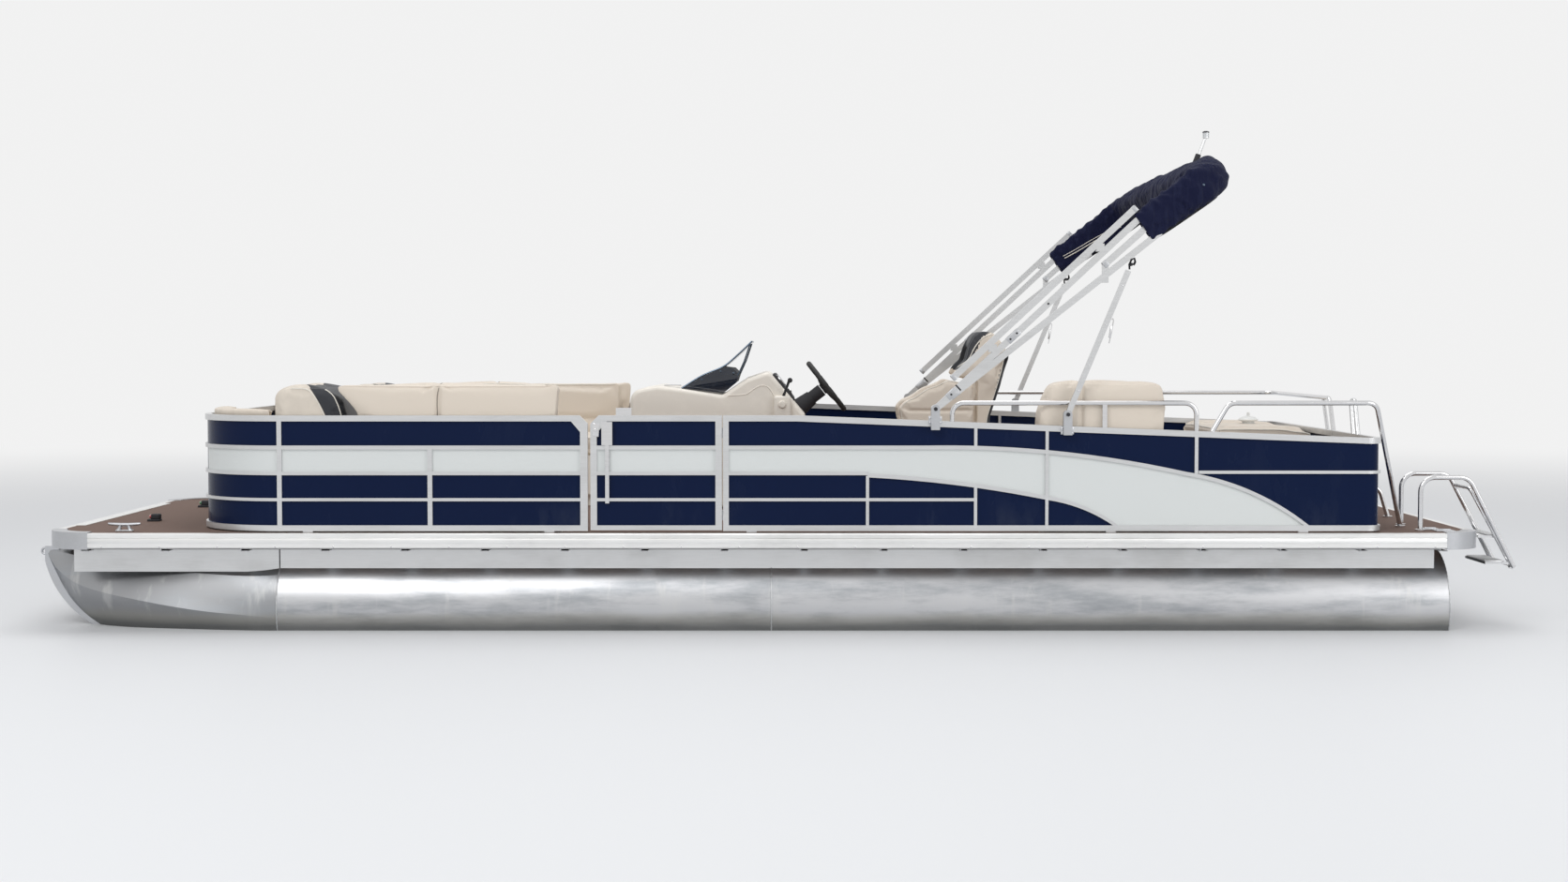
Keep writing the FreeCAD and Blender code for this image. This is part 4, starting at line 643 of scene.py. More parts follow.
class Form:
    """A mesh under construction in bmesh, in the boat's frame."""

    def __init__(self) -> None:
        """Start empty."""
        self.bm = bmesh.new()

    def join(self, other: "Form") -> None:
        """Take in another form's mesh.

        Args:
            other: The form that is copied in.
        """
        mesh = bpy.data.meshes.new("joined")
        other.bm.to_mesh(mesh)
        self.bm.from_mesh(mesh)
        bpy.data.meshes.remove(mesh)

    def box(self, low: Place, high: Place, bevel: float = 0.0, segments: int = 2) -> Verts:
        """Add a box between two corners, with rounded edges, and return its points.

        Args:
            low: Lowest corner.
            high: Highest corner.
            bevel: Width of the bevel.
            segments: Segments of the bevel.

        Returns:
            Its points.
        """
        lo, hi = Vector(low), Vector(high)
        verts = bmesh.ops.create_cube(self.bm, size=1.0)["verts"]
        bmesh.ops.scale(self.bm, vec=hi - lo, verts=verts)
        bmesh.ops.translate(self.bm, vec=(lo + hi) / 2, verts=verts)
        return self.soften(verts, list({e for v in verts for e in v.link_edges}), bevel, segments)

    def soften(self, verts: Verts, edges: list[bmesh.types.BMEdge], bevel: float,
               segments: int = 2) -> Verts:
        """Bevel a shape's edges and return its points, or leave it as it is for a bevel of 0.

        Args:
            verts: The shape's points.
            edges: The edges to bevel.
            bevel: Width of the bevel.
            segments: Segments of the bevel.

        Returns:
            The shape's points.
        """
        if not bevel:
            return verts
        made = bmesh.ops.bevel(self.bm, geom=edges, offset=bevel, offset_type="OFFSET", affect="EDGES",
                               segments=segments, profile=0.5, material=-1)
        return [v for v in {*verts, *made["verts"]} if v.is_valid]

    def rod(self, start: Place, end: Place, radius: float, sides: int = 20,
            end_radius: float | None = None, bevel: float = 0.0) -> Verts:
        """Add a round bar or a taper between two points, with its rims bevelled, and return its points.

        Args:
            start: Centre of one end.
            end: Centre of the other end.
            radius: Radius at the start.
            sides: Sides of its section.
            end_radius: Radius at the end, where it differs.
            bevel: Width of the bevel.

        Returns:
            Its points.
        """
        a, b = Vector(start), Vector(end)
        turn = (b - a).to_track_quat("Z", "Y").to_matrix().to_4x4()
        verts = bmesh.ops.create_cone(self.bm, cap_ends=True, segments=sides, radius1=radius,
                                      radius2=radius if end_radius is None else end_radius, depth=(b - a).length,
                                      matrix=Matrix.Translation((a + b) / 2) @ turn)["verts"]
        rims = [e for e in {e for v in verts for e in v.link_edges}
                if len(e.link_faces) == 2 and any(len(f.verts) == sides for f in e.link_faces)]
        return self.soften(verts, rims, bevel)

    def ball(self, centre: Place, size: Place, sides: int = 16) -> Verts:
        """Add an ellipsoid and return its points.

        Args:
            centre: Its centre.
            size: Its radius along each axis.
            sides: Segments round it.

        Returns:
            Its points.
        """
        verts = bmesh.ops.create_uvsphere(self.bm, u_segments=sides, v_segments=max(6, sides // 2), radius=1.0)["verts"]
        bmesh.ops.scale(self.bm, vec=Vector(size), verts=verts)
        bmesh.ops.translate(self.bm, vec=Vector(centre), verts=verts)
        return verts

    def tube(self, path: Line, radius: float | Place, sides: int = 12,
             closed: bool = False, flat: float = 1.0) -> None:
        """Add a round or flattened bar along points, its sections bridged loop to loop.

        Args:
            path: Points of its centre line.
            radius: One radius, or one for each point.
            sides: Sides of its section.
            closed: True where the last point meets the first.
            flat: Share of the radius that is left in the second direction of the section.
        """
        points = [Vector(p) for p in path]
        radii = [radius] * len(points) if isinstance(radius, (int, float)) else list(radius)
        count, loops, up = len(points), [], None
        for i, point in enumerate(points):
            before = points[i - 1] if i or closed else points[0]
            after = points[(i + 1) % count] if i < count - 1 or closed else points[-1]
            along = (after - before).normalized()
            up = (along.orthogonal() if up is None else up - along * up.dot(along)).normalized()
            side = along.cross(up)
            ring = bmesh.ops.create_circle(self.bm, cap_ends=False, segments=sides, radius=radii[i])["verts"]
            bmesh.ops.scale(self.bm, vec=(1.0, flat, 1.0), verts=ring)
            frame = Matrix((side, up, along)).transposed().to_4x4()
            bmesh.ops.transform(self.bm, matrix=Matrix.Translation(point) @ frame, verts=ring)
            loops.append([e for e in {e for v in ring for e in v.link_edges}])
        pairs = list(zip(loops, loops[1:] + ([loops[0]] if closed else [])))
        for first, second in pairs:
            bmesh.ops.bridge_loops(self.bm, edges=first + second)
        if not closed:
            for loop in (loops[0], loops[-1]):
                bmesh.ops.contextual_create(self.bm, geom=loop)

    def plate(self, outline: Line, push: Place, bevel: float = 0.0,
              segments: int = 2) -> Verts:
        """Add a plate: an outline of points pushed through a thickness, and return its points.

        Args:
            outline: Corners of the plate.
            push: Its thickness, as a move.
            bevel: Width of the bevel.
            segments: Segments of the bevel.

        Returns:
            Its points.
        """
        ring = [self.bm.verts.new(p) for p in outline]
        face = self.bm.faces.new(ring)
        made = bmesh.ops.extrude_face_region(self.bm, geom=[face])["geom"]
        top = [g for g in made if isinstance(g, bmesh.types.BMVert)]
        bmesh.ops.translate(self.bm, vec=Vector(push), verts=top)
        verts = ring + top
        return self.soften(verts, list({e for v in verts for e in v.link_edges}), bevel, segments)

    def lathe(self, profile: Outline, centre: Place, axis: Place,
              steps: int = 32) -> None:
        """Spin a profile of (distance along the axis, radius) points about an axis through a point.

        Args:
            profile: Points of the profile.
            centre: The point on the axis.
            axis: Direction of the axis.
            steps: Segments round it.
        """
        along = Vector(axis).normalized()
        out = along.orthogonal().normalized()
        origin = Vector(centre)
        verts = [self.bm.verts.new(origin + along * a + out * max(r, THIN)) for a, r in profile]
        edges = [self.bm.edges.new(pair) for pair in zip(verts, verts[1:])]
        bmesh.ops.spin(self.bm, geom=verts + edges, cent=origin, axis=along, angle=math.tau, steps=steps,
                       use_merge=True, use_duplicate=False)

    def mirror(self) -> None:
        """Add the mirror image across the boat's centre line."""
        made = bmesh.ops.duplicate(self.bm, geom=self.bm.verts[:] + self.bm.edges[:] + self.bm.faces[:])["geom"]
        verts = [g for g in made if isinstance(g, bmesh.types.BMVert)]
        bmesh.ops.scale(self.bm, vec=(1.0, -1.0, 1.0), verts=verts)

    def piece(self, name: str, finish: Finish, smooth: float = 40.0) -> bpy.types.Object:
        """Close the mesh: merge doubles, turn faces outwards, smooth the flat angles and dress it.

        Args:
            name: The piece's name.
            finish: Its finish.
            smooth: Edges that turn less than this many degrees are smoothed.

        Returns:
            The object, at the origin.
        """
        bmesh.ops.remove_doubles(self.bm, verts=self.bm.verts, dist=2e-5)
        bmesh.ops.recalc_face_normals(self.bm, faces=self.bm.faces)
        limit = math.radians(smooth)
        for face in self.bm.faces:
            face.smooth = True
        for edge in self.bm.edges:
            edge.smooth = len(edge.link_faces) == 2 and edge.calc_face_angle(0.0) < limit
        mesh = bpy.data.meshes.new(name)
        self.bm.to_mesh(mesh)
        self.bm.free()
        mesh.materials.append(finish.material)
        piece = bpy.data.objects.new(name, mesh)
        bpy.context.scene.collection.objects.link(piece)
        return piece

    def show(self, name: str, finish: Finish, body: str, slot: str, replaces: Iterable[str] = (),
             smooth: float = 40.0) -> bpy.types.Object:
        """Close the mesh as a piece and publish it on its body."""
        return publish(self.piece(name, finish, smooth), body, replaces)


def bezier(points: Line, steps: int = 8) -> list[Vector]:
    """Smooth line through points, sampled as a Catmull-Rom spline.

    Args:
        points: Points that it goes through.
        steps: Steps from each point to the next.

    Returns:
        The line's points.
    """
    pts = [Vector(p) for p in points]
    ends = [pts[0] * 2 - pts[1], *pts, pts[-1] * 2 - pts[-2]]
    line = []
    for a, b, c, d in zip(ends, ends[1:], ends[2:], ends[3:]):
        for i in range(steps):
            t = i / steps
            line.append(0.5 * (2 * b + (c - a) * t + (2 * a - 5 * b + 4 * c - d) * t * t
                               + (3 * b - a - 3 * c + d) * t ** 3))
    return line + [pts[-1]]


@dataclass
class Seam:
    """A sewn line round a pad, where a plane across one axis cuts it."""

    axis: int
    place: float
    low: Point = (-FAR, -FAR, -FAR)
    high: Point = (FAR, FAR, FAR)

    def distance(self, point: Vector) -> float:
        """How far a point is from the seam's plane, or far off where the seam doesn't reach it."""
        inside = all(self.low[i] <= point[i] <= self.high[i] for i in range(3))
        return abs(point[self.axis] - self.place) if inside else 1.0


@dataclass
class Pad:
    """An upholstered pad: a foam block whose cover is blown up a little by cloth simulation, held at its seams.

    The block is drawn slightly small, remeshed evenly and simulated; how far a point may move is capped, and
    the sewn lines are drawn in afterwards. Piping follows the finished surface.
    """

    name: str
    body: str
    replaces: tuple[str, ...] = ()
    finish: Finish = Finish.BEIGE
    voxel: float = 0.011
    mass: float = 0.4
    stretch_stiffness: float = 12.0
    shear_stiffness: float = 8.0
    bend_stiffness: float = 1.2
    shrink: float = 0.008
    cap: float = 0.014
    pressure: float = 4.0
    fill: float = 0.8
    seams: list[Seam] = field(default_factory=list)
    sunk: float = 0.006
    slot: str = "beige_vinyl"
    second: Finish | None = None
    in_second: Callable[[Vector], bool] | None = None

    def make(self, form: Form) -> bpy.types.Object:
        """Turn a closed form into the finished pad.

        Args:
            form: The block, closed and rounded.

        Returns:
            The pad, riding on its body.
        """
        raw = form.piece(self.name + "_block", self.finish)
        mesh = self._even(raw.data)
        bpy.data.objects.remove(raw)
        pad = bpy.data.objects.new(self.name, mesh)
        bpy.context.scene.collection.objects.link(pad)
        rest = [v.co.copy() for v in mesh.vertices]
        self._inflate(pad)
        self._cap(pad.data, rest)
        self._sew(pad.data, rest)
        for polygon in pad.data.polygons:
            polygon.use_smooth = True
        pad.data.materials.clear()
        pad.data.materials.append(self.finish.material)
        if self.second and self.in_second:
            pad.data.materials.append(self.second.material)
            for polygon in pad.data.polygons:
                polygon.material_index = int(self.in_second(polygon.center))
        smooth = pad.modifiers.new("crown", "SUBSURF")
        smooth.levels = smooth.render_levels = 1
        publish(pad, self.body, self.replaces)
        return pad

    def _even(self, source: bpy.types.Mesh) -> bpy.types.Mesh:
        """Remesh the block into even faces, and draw it in by the shrink.

        Args:
            source: The block's mesh.

        Returns:
            The new mesh.
        """
        block = bpy.data.objects.new("block", source)
        bpy.context.scene.collection.objects.link(block)
        remesh = block.modifiers.new("even", "REMESH")
        remesh.mode, remesh.voxel_size = "VOXEL", self.voxel
        graph = bpy.context.evaluated_depsgraph_get()
        mesh = bpy.data.meshes.new_from_object(block.evaluated_get(graph))
        bpy.data.objects.remove(block)
        shaped = bmesh.new()
        shaped.from_mesh(mesh)
        for _ in range(2):
            bmesh.ops.smooth_vert(shaped, verts=shaped.verts, factor=0.5, use_axis_x=True, use_axis_y=True,
                                  use_axis_z=True)
        shaped.normal_update()
        for vert, normal in [(v, v.normal.copy()) for v in shaped.verts]:
            vert.co -= normal * self.shrink
        shaped.to_mesh(mesh)
        shaped.free()
        mesh.name = self.name
        return mesh

    def _inflate(self, pad: bpy.types.Object) -> None:
        """Blow the cover up with the Cloth modifier, pinned at the seams, and keep the result.

        Args:
            pad: The pad, whose mesh is replaced.
        """
        held = pad.vertex_groups.new(name="sewn")
        near = [v.index for v in pad.data.vertices if any(s.distance(v.co) < self.voxel * 0.7 for s in self.seams)]
        if near:
            held.add(near, 1.0, "REPLACE")
        cloth = pad.modifiers.new("cloth", "CLOTH")
        settings = cloth.settings
        settings.quality = 4
        settings.mass = self.mass
        settings.tension_stiffness = settings.compression_stiffness = self.stretch_stiffness
        settings.shear_stiffness, settings.bending_stiffness = self.shear_stiffness, self.bend_stiffness
        settings.use_pressure, settings.uniform_pressure_force = True, self.pressure
        settings.effector_weights.gravity = 0.0
        if near:
            settings.vertex_group_mass = "sewn"
        cloth.collision_settings.use_collision = False
        cloth.point_cache.frame_start, cloth.point_cache.frame_end = 1, CLOTH_FRAMES
        scene = bpy.context.scene
        for frame in range(1, CLOTH_FRAMES + 1):
            scene.frame_set(frame)
        graph = bpy.context.evaluated_depsgraph_get()
        blown = bpy.data.meshes.new_from_object(pad.evaluated_get(graph))
        pad.modifiers.clear()
        pad.vertex_groups.clear()
        pad.data = blown
        scene.frame_set(1)

    def _cap(self, mesh: bpy.types.Mesh, rest: list[Vector]) -> None:
        """Limit how far each point moved from where it started.

        Args:
            mesh: The pad's mesh.
            rest: Where its points started.
        """
        for vertex, start in zip(mesh.vertices, rest):
            move = vertex.co - start
            if move.length > self.cap:
                vertex.co = start + move * (self.cap / move.length)

    def _sew(self, mesh: bpy.types.Mesh, rest: list[Vector]) -> None:
        """Draw the cover in along the seams.

        Args:
            mesh: The pad's mesh.
            rest: Where its points started.
        """
        reach = self.voxel * 1.1
        normals = [v.normal.copy() for v in mesh.vertices]
        for vertex, normal, start in zip(mesh.vertices, normals, rest):
            near = min((s.distance(start) for s in self.seams), default=1.0)
            if near < reach:
                vertex.co = vertex.co - normal * self.sunk * (1 - near / reach)


def welt(name: str, pad: bpy.types.Object, route: Line, body: str, radius: float = 0.0042,
         finish: Finish = Finish.PIPING) -> bpy.types.Object:
    """Piping sewn along a pad: a thin cord whose points are drawn onto the pad's surface.

    Args:
        name: The piece's name.
        pad: The pad it is sewn to.
        route: Points near the surface.
        body: The CAD body it moves with.
        radius: The piping's radius.
        finish: Its finish.

    Returns:
        The piping.
    """
    tree = BVHTree.FromObject(pad, bpy.context.evaluated_depsgraph_get())
    ends = [Vector(p) for p in route]
    line = [a.lerp(b, i / n) for a, b in zip(ends, ends[1:]) for n in [max(1, round((b - a).length / WELT_STEP))]
            for i in range(n)] + [ends[-1]]
    drawn = []
    for point in line:
        place, normal, _, _ = tree.find_nearest(point)
        drawn.append(place + normal * radius * WELT_LIFT)
    for _ in range(2):
        drawn = [drawn[0], *[(a + b * 2 + c) / 4 for a, b, c in zip(drawn, drawn[1:], drawn[2:])], drawn[-1]]
    form = Form()
    form.tube(drawn, radius, 8)
    return publish(form.piece(name, finish), body)


def dress(nodes: Parts, finishes: dict[str, Finish]) -> None:
    """Give CAD nodes their finishes.

    Args:
        nodes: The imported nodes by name.
        finishes: The finish of each node to dress.
    """
    for name, finish in finishes.items():
        node = nodes[name]
        node.data.materials.clear()
        node.data.materials.append(finish.material)


# ---------------------------------------------------------------- hull
@dataclass
class Hull:
    """Tubes, nosecones, deck edge and what holds them: CAD shapes with welds, rails, screws and strips added."""

    tube_y: float = 0.930
    tube_radius: float = 0.292
    seams: tuple[float, ...] = (1.187, 3.715, 7.182)
    weld_radius: float = 0.0035
    riser_top: float = 0.597
    rub_low: float = 0.614
    half_width: float = 1.295
    screw_step: float = 0.305

    def build(self, nodes: Parts) -> None:
        """Dress the hull's nodes and add its details.

        Args:
            nodes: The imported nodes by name.
        """
        dress(nodes, {"port_tube": Finish.TUBE, "starboard_tube": Finish.TUBE, "nosecones": Finish.NOSE,
                      "stem_strips": Finish.CAST, "risers": Finish.RAIL, "crossmembers": Finish.CROSSMEMBER,
                      "deck": Finish.CARPET, "rub_rails": Finish.RUB, "corner_castings": Finish.CAST,
                      "motor_pod": Finish.TUBE})
        self.welds()
        self.deck_edge()
        self.riser_screws()

    def welds(self) -> None:
        """Rippled weld beads round the tubes' seams."""
        form = Form()
        for station in self.seams:
            count = 220
            ring = [(at(station) + 0.0006 * math.sin(i * 2.1), self.tube_y + self.tube_radius * math.cos(a),
                     self.tube_radius + self.tube_radius * math.sin(a))
                    for i in range(count) for a in [math.tau * i / count]]
            form.tube(ring, [self.weld_radius * (1.0 + 0.16 * math.sin(i * 1.9)) for i in range(count)], 6, True)
        form.mirror()
        form.show("tube_welds", Finish.WELD, "hull", "tube_aluminium", smooth=60)

    def deck_edge(self) -> None:
        """Insert along the middle of the rub rails, with its screws."""
        insert, screws = Form(), Form()
        mid, face = 0.653, self.half_width
        for side in (PORT, STARBOARD):
            insert.box((at(0.252), side * (face - 0.0015) - 0.0022, mid - 0.013),
                       (at(7.138), side * (face - 0.0015) + 0.0022, mid + 0.013), 0.0018)
            for station in frange(0.32, 7.08, self.screw_step):
                screws.ball((at(station), side * (face + 0.0002), self.rub_low + 0.011), (0.005, 0.0022, 0.005), 10)
        for x, turn in ((at(0.0), -1), (at(7.340), 1)):
            for y in frange(-0.98, 0.98, self.screw_step):
                screws.ball((x + turn * 0.0002, y, self.rub_low + 0.011), (0.0022, 0.005, 0.005), 10)
        insert.show("rub_rail_inserts", Finish.RUB, "hull", "rail_aluminium")
        screws.show("rub_rail_screws", Finish.STAINLESS, "hull", "stainless")

    def riser_screws(self) -> None:
        """Bolts that hold the crossmembers down on the risers."""
        bolts = Form()
        for station in frange(0.42, 7.02, 0.406):
            for y in (self.tube_y - 0.175, self.tube_y + 0.175):
                bolts.rod((at(station), y, self.riser_top - 0.008), (at(station), y, self.riser_top + 0.009), 0.0075, 6)
        bolts.mirror()
        bolts.show("riser_bolts", Finish.STAINLESS, "hull", "stainless")


# ---------------------------------------------------------------- fences and gates
@dataclass
class Fences:
    """Fence bars and panels: CAD shapes with rivets, a latch lever and gate bumpers added."""

    uprights: tuple[float, ...] = (1.216, 1.978, 4.205, 4.755, 5.118, 5.878)
    rivet: float = 0.0042
    face: float = FENCE_SIDE

    def build(self, nodes: Parts) -> None:
        """Dress the fences and gates, and add their details.

        Args:
            nodes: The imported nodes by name.
        """
        bars = {name: Finish.RAIL for name in (
            "port_bow_fence", "starboard_bow_fence", "port_aft_fence", "starboard_aft_fence", "side_gate_frame",
            "bow_gate_frame", "stern_gate_frame")}
        sheets = {name: Finish.BLUE for name in (
            "bow_blue_panels", "aft_blue_panels", "side_gate_blue_panels", "bow_gate_panels", "stern_gate_panels")}
        greys = {name: Finish.GREY for name in ("bow_grey_panels", "aft_grey_panels", "side_gate_grey_panel")}
        dress(nodes, bars | sheets | greys | {"gate_hinges": Finish.STAINLESS, "side_gate_latch": Finish.STAINLESS,
                                             "guard_rails": Finish.STAINLESS})
        self.rivets()
        self.latch_details()
        self.gate_bumpers()

    def rivets(self) -> None:
        """Blind rivets where the uprights cross the foot and middle bars."""
        form = Form()
        for side in (PORT, STARBOARD):
            for station in self.uprights:
                for z in (0.716, 0.860 if station < 5.8 else 1.000):
                    form.ball((at(station), side * (self.face + 0.0004), z), (self.rivet, 0.0012, self.rivet), 10)
        form.show("fence_rivets", Finish.RAIL, "hull", "rail_aluminium")

    def latch_details(self) -> None:
        """Polished lever of the side gate's latch, with its boss."""
        lever = Form()
        x, y = at(2.812), -1.2385
        lever.plate([(x - 0.006, y, 1.185), (x + 0.026, y, 1.180), (x + 0.030, y, 1.246), (x - 0.003, y, 1.250)],
                    (0.0, 0.004, 0.0), 0.0016)
        lever.rod((x + 0.010, y - 0.0055, 1.215), (x + 0.010, y + 0.0045, 1.215), 0.008, 16, bevel=0.0015)
        lever.show("gate_latch_lever", Finish.STAINLESS, "side_gate", "stainless")

    def gate_bumpers(self) -> None:
        """Rubber bumpers up the side gate's after edge."""
        form = Form()
        for z in (0.735, 0.99, 1.19):
            form.rod((at(3.452), -1.2045, z), (at(3.452), -1.1985, z), 0.010, 16, bevel=0.002)
        form.show("gate_bumpers", Finish.RUBBER, "side_gate", "black_plastic")


# ---------------------------------------------------------------- seats
def rounded(outline: Outline, radii: Place, steps: int = 5) -> list[tuple[float, float]]:
    """Closed outline with its corners rounded.

    Args:
        outline: Corners, in order.
        radii: A radius for each corner.
        steps: Segments of each rounded corner.

    Returns:
        The outline's points.
    """
    points, count = [], len(outline)
    for i, radius in enumerate(radii):
        corner = Vector((*outline[i], 0.0))
        back, ahead = Vector((*outline[i - 1], 0.0)) - corner, Vector((*outline[(i + 1) % count], 0.0)) - corner
        if radius <= 0.0:
            points.append((corner.x, corner.y))
            continue
        reach = min(radius / math.tan(back.angle(ahead) / 2), 0.49 * min(back.length, ahead.length))
        enter, leave = corner + back.normalized() * reach, corner + ahead.normalized() * reach
        for k in range(steps + 1):
            t = k / steps
            p = enter * (1 - t) ** 2 + corner * 2 * t * (1 - t) + leave * t ** 2
            points.append((p.x, p.y))
    return points


def profile_block(outline: Outline, y_low: float, y_high: float) -> Form:
    """Closed block whose side view is an outline of (station, height) points.

    Args:
        outline: Points of the side view.
        y_low: Y of its port side.
        y_high: Y of its starboard side.

    Returns:
        The block.
    """
    form = Form()
    form.plate([(at(station), y_low, z) for station, z in outline], (0.0, y_high - y_low, 0.0))
    return form


def plan_block(outline: Outline, low: float, high: float) -> Form:
    """Closed block whose plan is an outline of (station, y) points.

    Args:
        outline: Points of the plan.
        low: Height of its underside.
        high: Height of its top.

    Returns:
        The block.
    """
    form = Form()
    form.plate([(at(station), y, low) for station, y in outline], (0.0, 0.0, high - low))
    return form


@dataclass
class Couch:
    """One bow couch: seat cushions, backrest, lounge seat, and the humped backrest across it with its dark band."""

    side: int
    end: float
    outer: float = 1.197
    inner: float = 0.602
    back_inner: float = 1.047
    low: float = 0.992
    start: float = 1.564
    back_top: float = 1.456
    hump: tuple[float, float] = (1.166, 1.560)
    hump_drop: float = 0.013
    shell: float = 0.065
    joint: float = 2.014
    corner_centre: tuple[float, float] = (1.200, 0.765)
    corner_radius: float = 0.430
    gap: float = 0.004

    @property
    def label(self) -> str:
        """The side's name."""
        return "port" if self.side == PORT else "starboard"

    @property
    def hump_top(self) -> float:
        """Top of the humped backrest."""
        return self.back_top - self.hump_drop

    def span(self, first: float, second: float) -> tuple[float, float]:
        """Two distances from the centre line as low and high Y on this side."""
        return tuple(sorted((self.side * first, self.side * second)))

    def build(self) -> None:
        """Make the couch's pads and piping."""
        self.seats()
        self.back()
        self.lounge()
        self.humped_back()

    def seats(self) -> None:
        """Two seat cushions with a boxed front and piping."""
        middle = (self.start + self.end) / 2
        low, high = self.span(self.inner, self.back_inner - self.gap)
        upper = (-FAR, -FAR, self.low + SEAM_RISE)
        y_in, y_out = self.side * (self.inner + 0.006), self.side * (self.back_inner - 0.010)
        z = SEAT_TOP - 0.014
        for number, a, b in ((1, self.start, middle - 0.002), (2, middle + 0.002, self.end)):
            form = Form()
            form.box((at(a), low, self.low), (at(b), high, SEAT_TOP + 0.004), 0.022, 3)
            replaced = (f"{self.label}_couch_seat",) if number == 1 else ()
            pad = Pad(f"{self.label}_couch_cushion_{number}", "hull", replaced, seams=[
                Seam(1, self.side * (self.inner + SEAM_INSET), upper), Seam(0, at((a + b) / 2), upper)]).make(form)
            front, rear = at(a + 0.008), at(b - 0.008)
            welt(f"{self.label}_couch_cushion_{number}_piping", pad,
                 [(front, y_out, z), (front, y_in, z), (rear, y_in, z), (rear, y_out, z)], "hull")

    def back(self) -> None:
        """Backrest with a rolled top, its cover sewn in panels."""
        foot, top, brow = self.start + 0.020, self.back_top, self.start - 0.070
        form = Form()
        for end, near, far in ((self.end, self.back_inner + 0.07, self.outer),
                               (self.end - self.shell, self.back_inner, self.outer - 0.03)):
            outline = rounded([(foot, self.low), (end - 0.05, self.low), (end - 0.010, top - 0.16), (end, top),
                               (brow, top), (brow, top - 0.034), (foot - 0.054, top - 0.081), (foot, top - 0.162)],
                              [0.01, 0.03, 0.04, 0.035, 0.030, 0.02, 0.05, 0.02])
            form.join(profile_block(outline, *self.span(near, far)))
        inner_face = self.side * (self.back_inner + 0.05)
        facing = {"low": (-FAR, inner_face, -FAR)} if self.side == PORT else {"high": (FAR, inner_face, FAR)}
        pad = Pad(f"{self.label}_couch_backrest", "hull", (f"{self.label}_couch_back",), cap=0.012, pressure=3.5,
                  seams=[Seam(0, at(self.joint)), Seam(2, 1.195, **facing)]).make(form)
        near, far = self.side * (self.back_inner + 0.002), self.side * (self.outer - 0.002)
        # The dark cord along the joint is a painted shadow line of the seam.
        welt(f"{self.label}_couch_back_joint", pad, [
            (at(self.joint), far, 1.10), (at(self.joint - 0.002), far, top - 0.05),
            (at(self.joint + 0.012), far, top - 0.004),
            (at(self.joint + 0.012), near, top - 0.004), (at(self.joint), near, 1.16)], "hull", 0.0026, Finish.SEAM)
        inner, z = self.side * (self.back_inner + 0.004), self.back_top - 0.016
        welt(f"{self.label}_couch_back_piping", pad,
             [(at(brow + 0.03), inner, z), (at(self.end - self.shell - 0.04), inner, z)], "hull")
        outer = self.side * (self.outer - 0.006)
        welt(f"{self.label}_couch_back_outer_piping", pad,
             [(at(brow + 0.03), outer, z), (at(self.end - 0.05), outer, z)], "hull", 0.003, Finish.BEIGE)

    def arc(self, radius: float, start: float, end: float, count: int = 14) -> list[tuple[float, float]]:
        """Points round the bow corner as (station, distance from the centre line), by angles from astern.

        Args:
            radius: Radius of the arc.
            start: First angle in degrees.
            end: Last angle in degrees.
            count: Steps between them.

        Returns:
            The points.
        """
        cx, cy = self.corner_centre
        return [(cx - radius * math.sin(a), cy + radius * math.cos(a))
                for i in range(count + 1) for a in [math.radians(start + (end - start) * i / count)]]

    def lounge(self) -> None:
        """Lounge cushion in the bow corner, whose outer corner follows the fence."""
        turn = [(s, self.side * y) for s, y in self.arc(self.corner_radius, 5.0, 88.0)]
        outline = [(self.hump[0] - self.gap, self.side * self.outer), *turn, (0.771, self.side * self.inner),
                   (self.hump[0] - self.gap, self.side * self.inner)]
        pad = Pad(f"{self.label}_lounge_cushion", "hull", seams=[
            Seam(1, self.side * (self.inner + SEAM_INSET), low=(-FAR, -FAR, self.low + SEAM_RISE))]
        ).make(plan_block(outline, self.low, SEAT_TOP + 0.003))
        z, inner = SEAT_TOP - 0.014, self.side * (self.inner + 0.006)
        welt(f"{self.label}_lounge_piping", pad, [(0.780 + BOW_X, inner, z), (at(self.hump[0] - 0.012), inner, z)],
             "hull")

    def humped_back(self) -> None:
        """Backrest across the couch that the lounge leans on, with a charcoal band over its after side."""
        low, high = self.span(self.inner, self.outer)
        a, b = self.hump
        top = self.hump_top
        outline = rounded([(a, self.low), (a, top - 0.04), (a + 0.04, top), (b - 0.120, top), (b - 0.068, top - 0.036),
                           (b - 0.040, top - 0.095), (b - 0.024, top - 0.151), (b, top - 0.300), (b, self.low)],
                          [0.006, 0.09, 0.09, 0.12, 0.09, 0.09, 0.06, 0.05, 0.006])
        replaced = ("chaise_backs",) if self.side == PORT else ()
        finish = Finish.BANDED_PORT if self.side == PORT else Finish.BANDED_STARBOARD
        ahead = {"low": (at(a) - 0.1, -FAR, 1.10), "high": (at(BAND_STATION), FAR, FAR)}
        pad = Pad(f"{self.label}_lounge_back", "hull", replaced, finish, cap=0.010, seams=[
            Seam(1, self.side * y, **ahead) for y in (self.inner + 0.19, self.outer - 0.19)
        ]).make(profile_block(outline, low, high))
        for name, y in (("outer", self.side * (self.outer - 0.002)), ("inner", self.side * (self.inner + 0.002))):
            welt(f"{self.label}_lounge_back_{name}_piping", pad,
                 [(at(a + 0.10), y, top - 0.004), (at(BAND_STATION - 0.02), y, top - 0.004),
                  *[(at(BAND_STATION - 0.004 + swoop(fallen)), y, top - fallen)
                    for fallen in (0.010, 0.03, 0.06, 0.10, 0.15, 0.22)]], "hull", 0.0032)
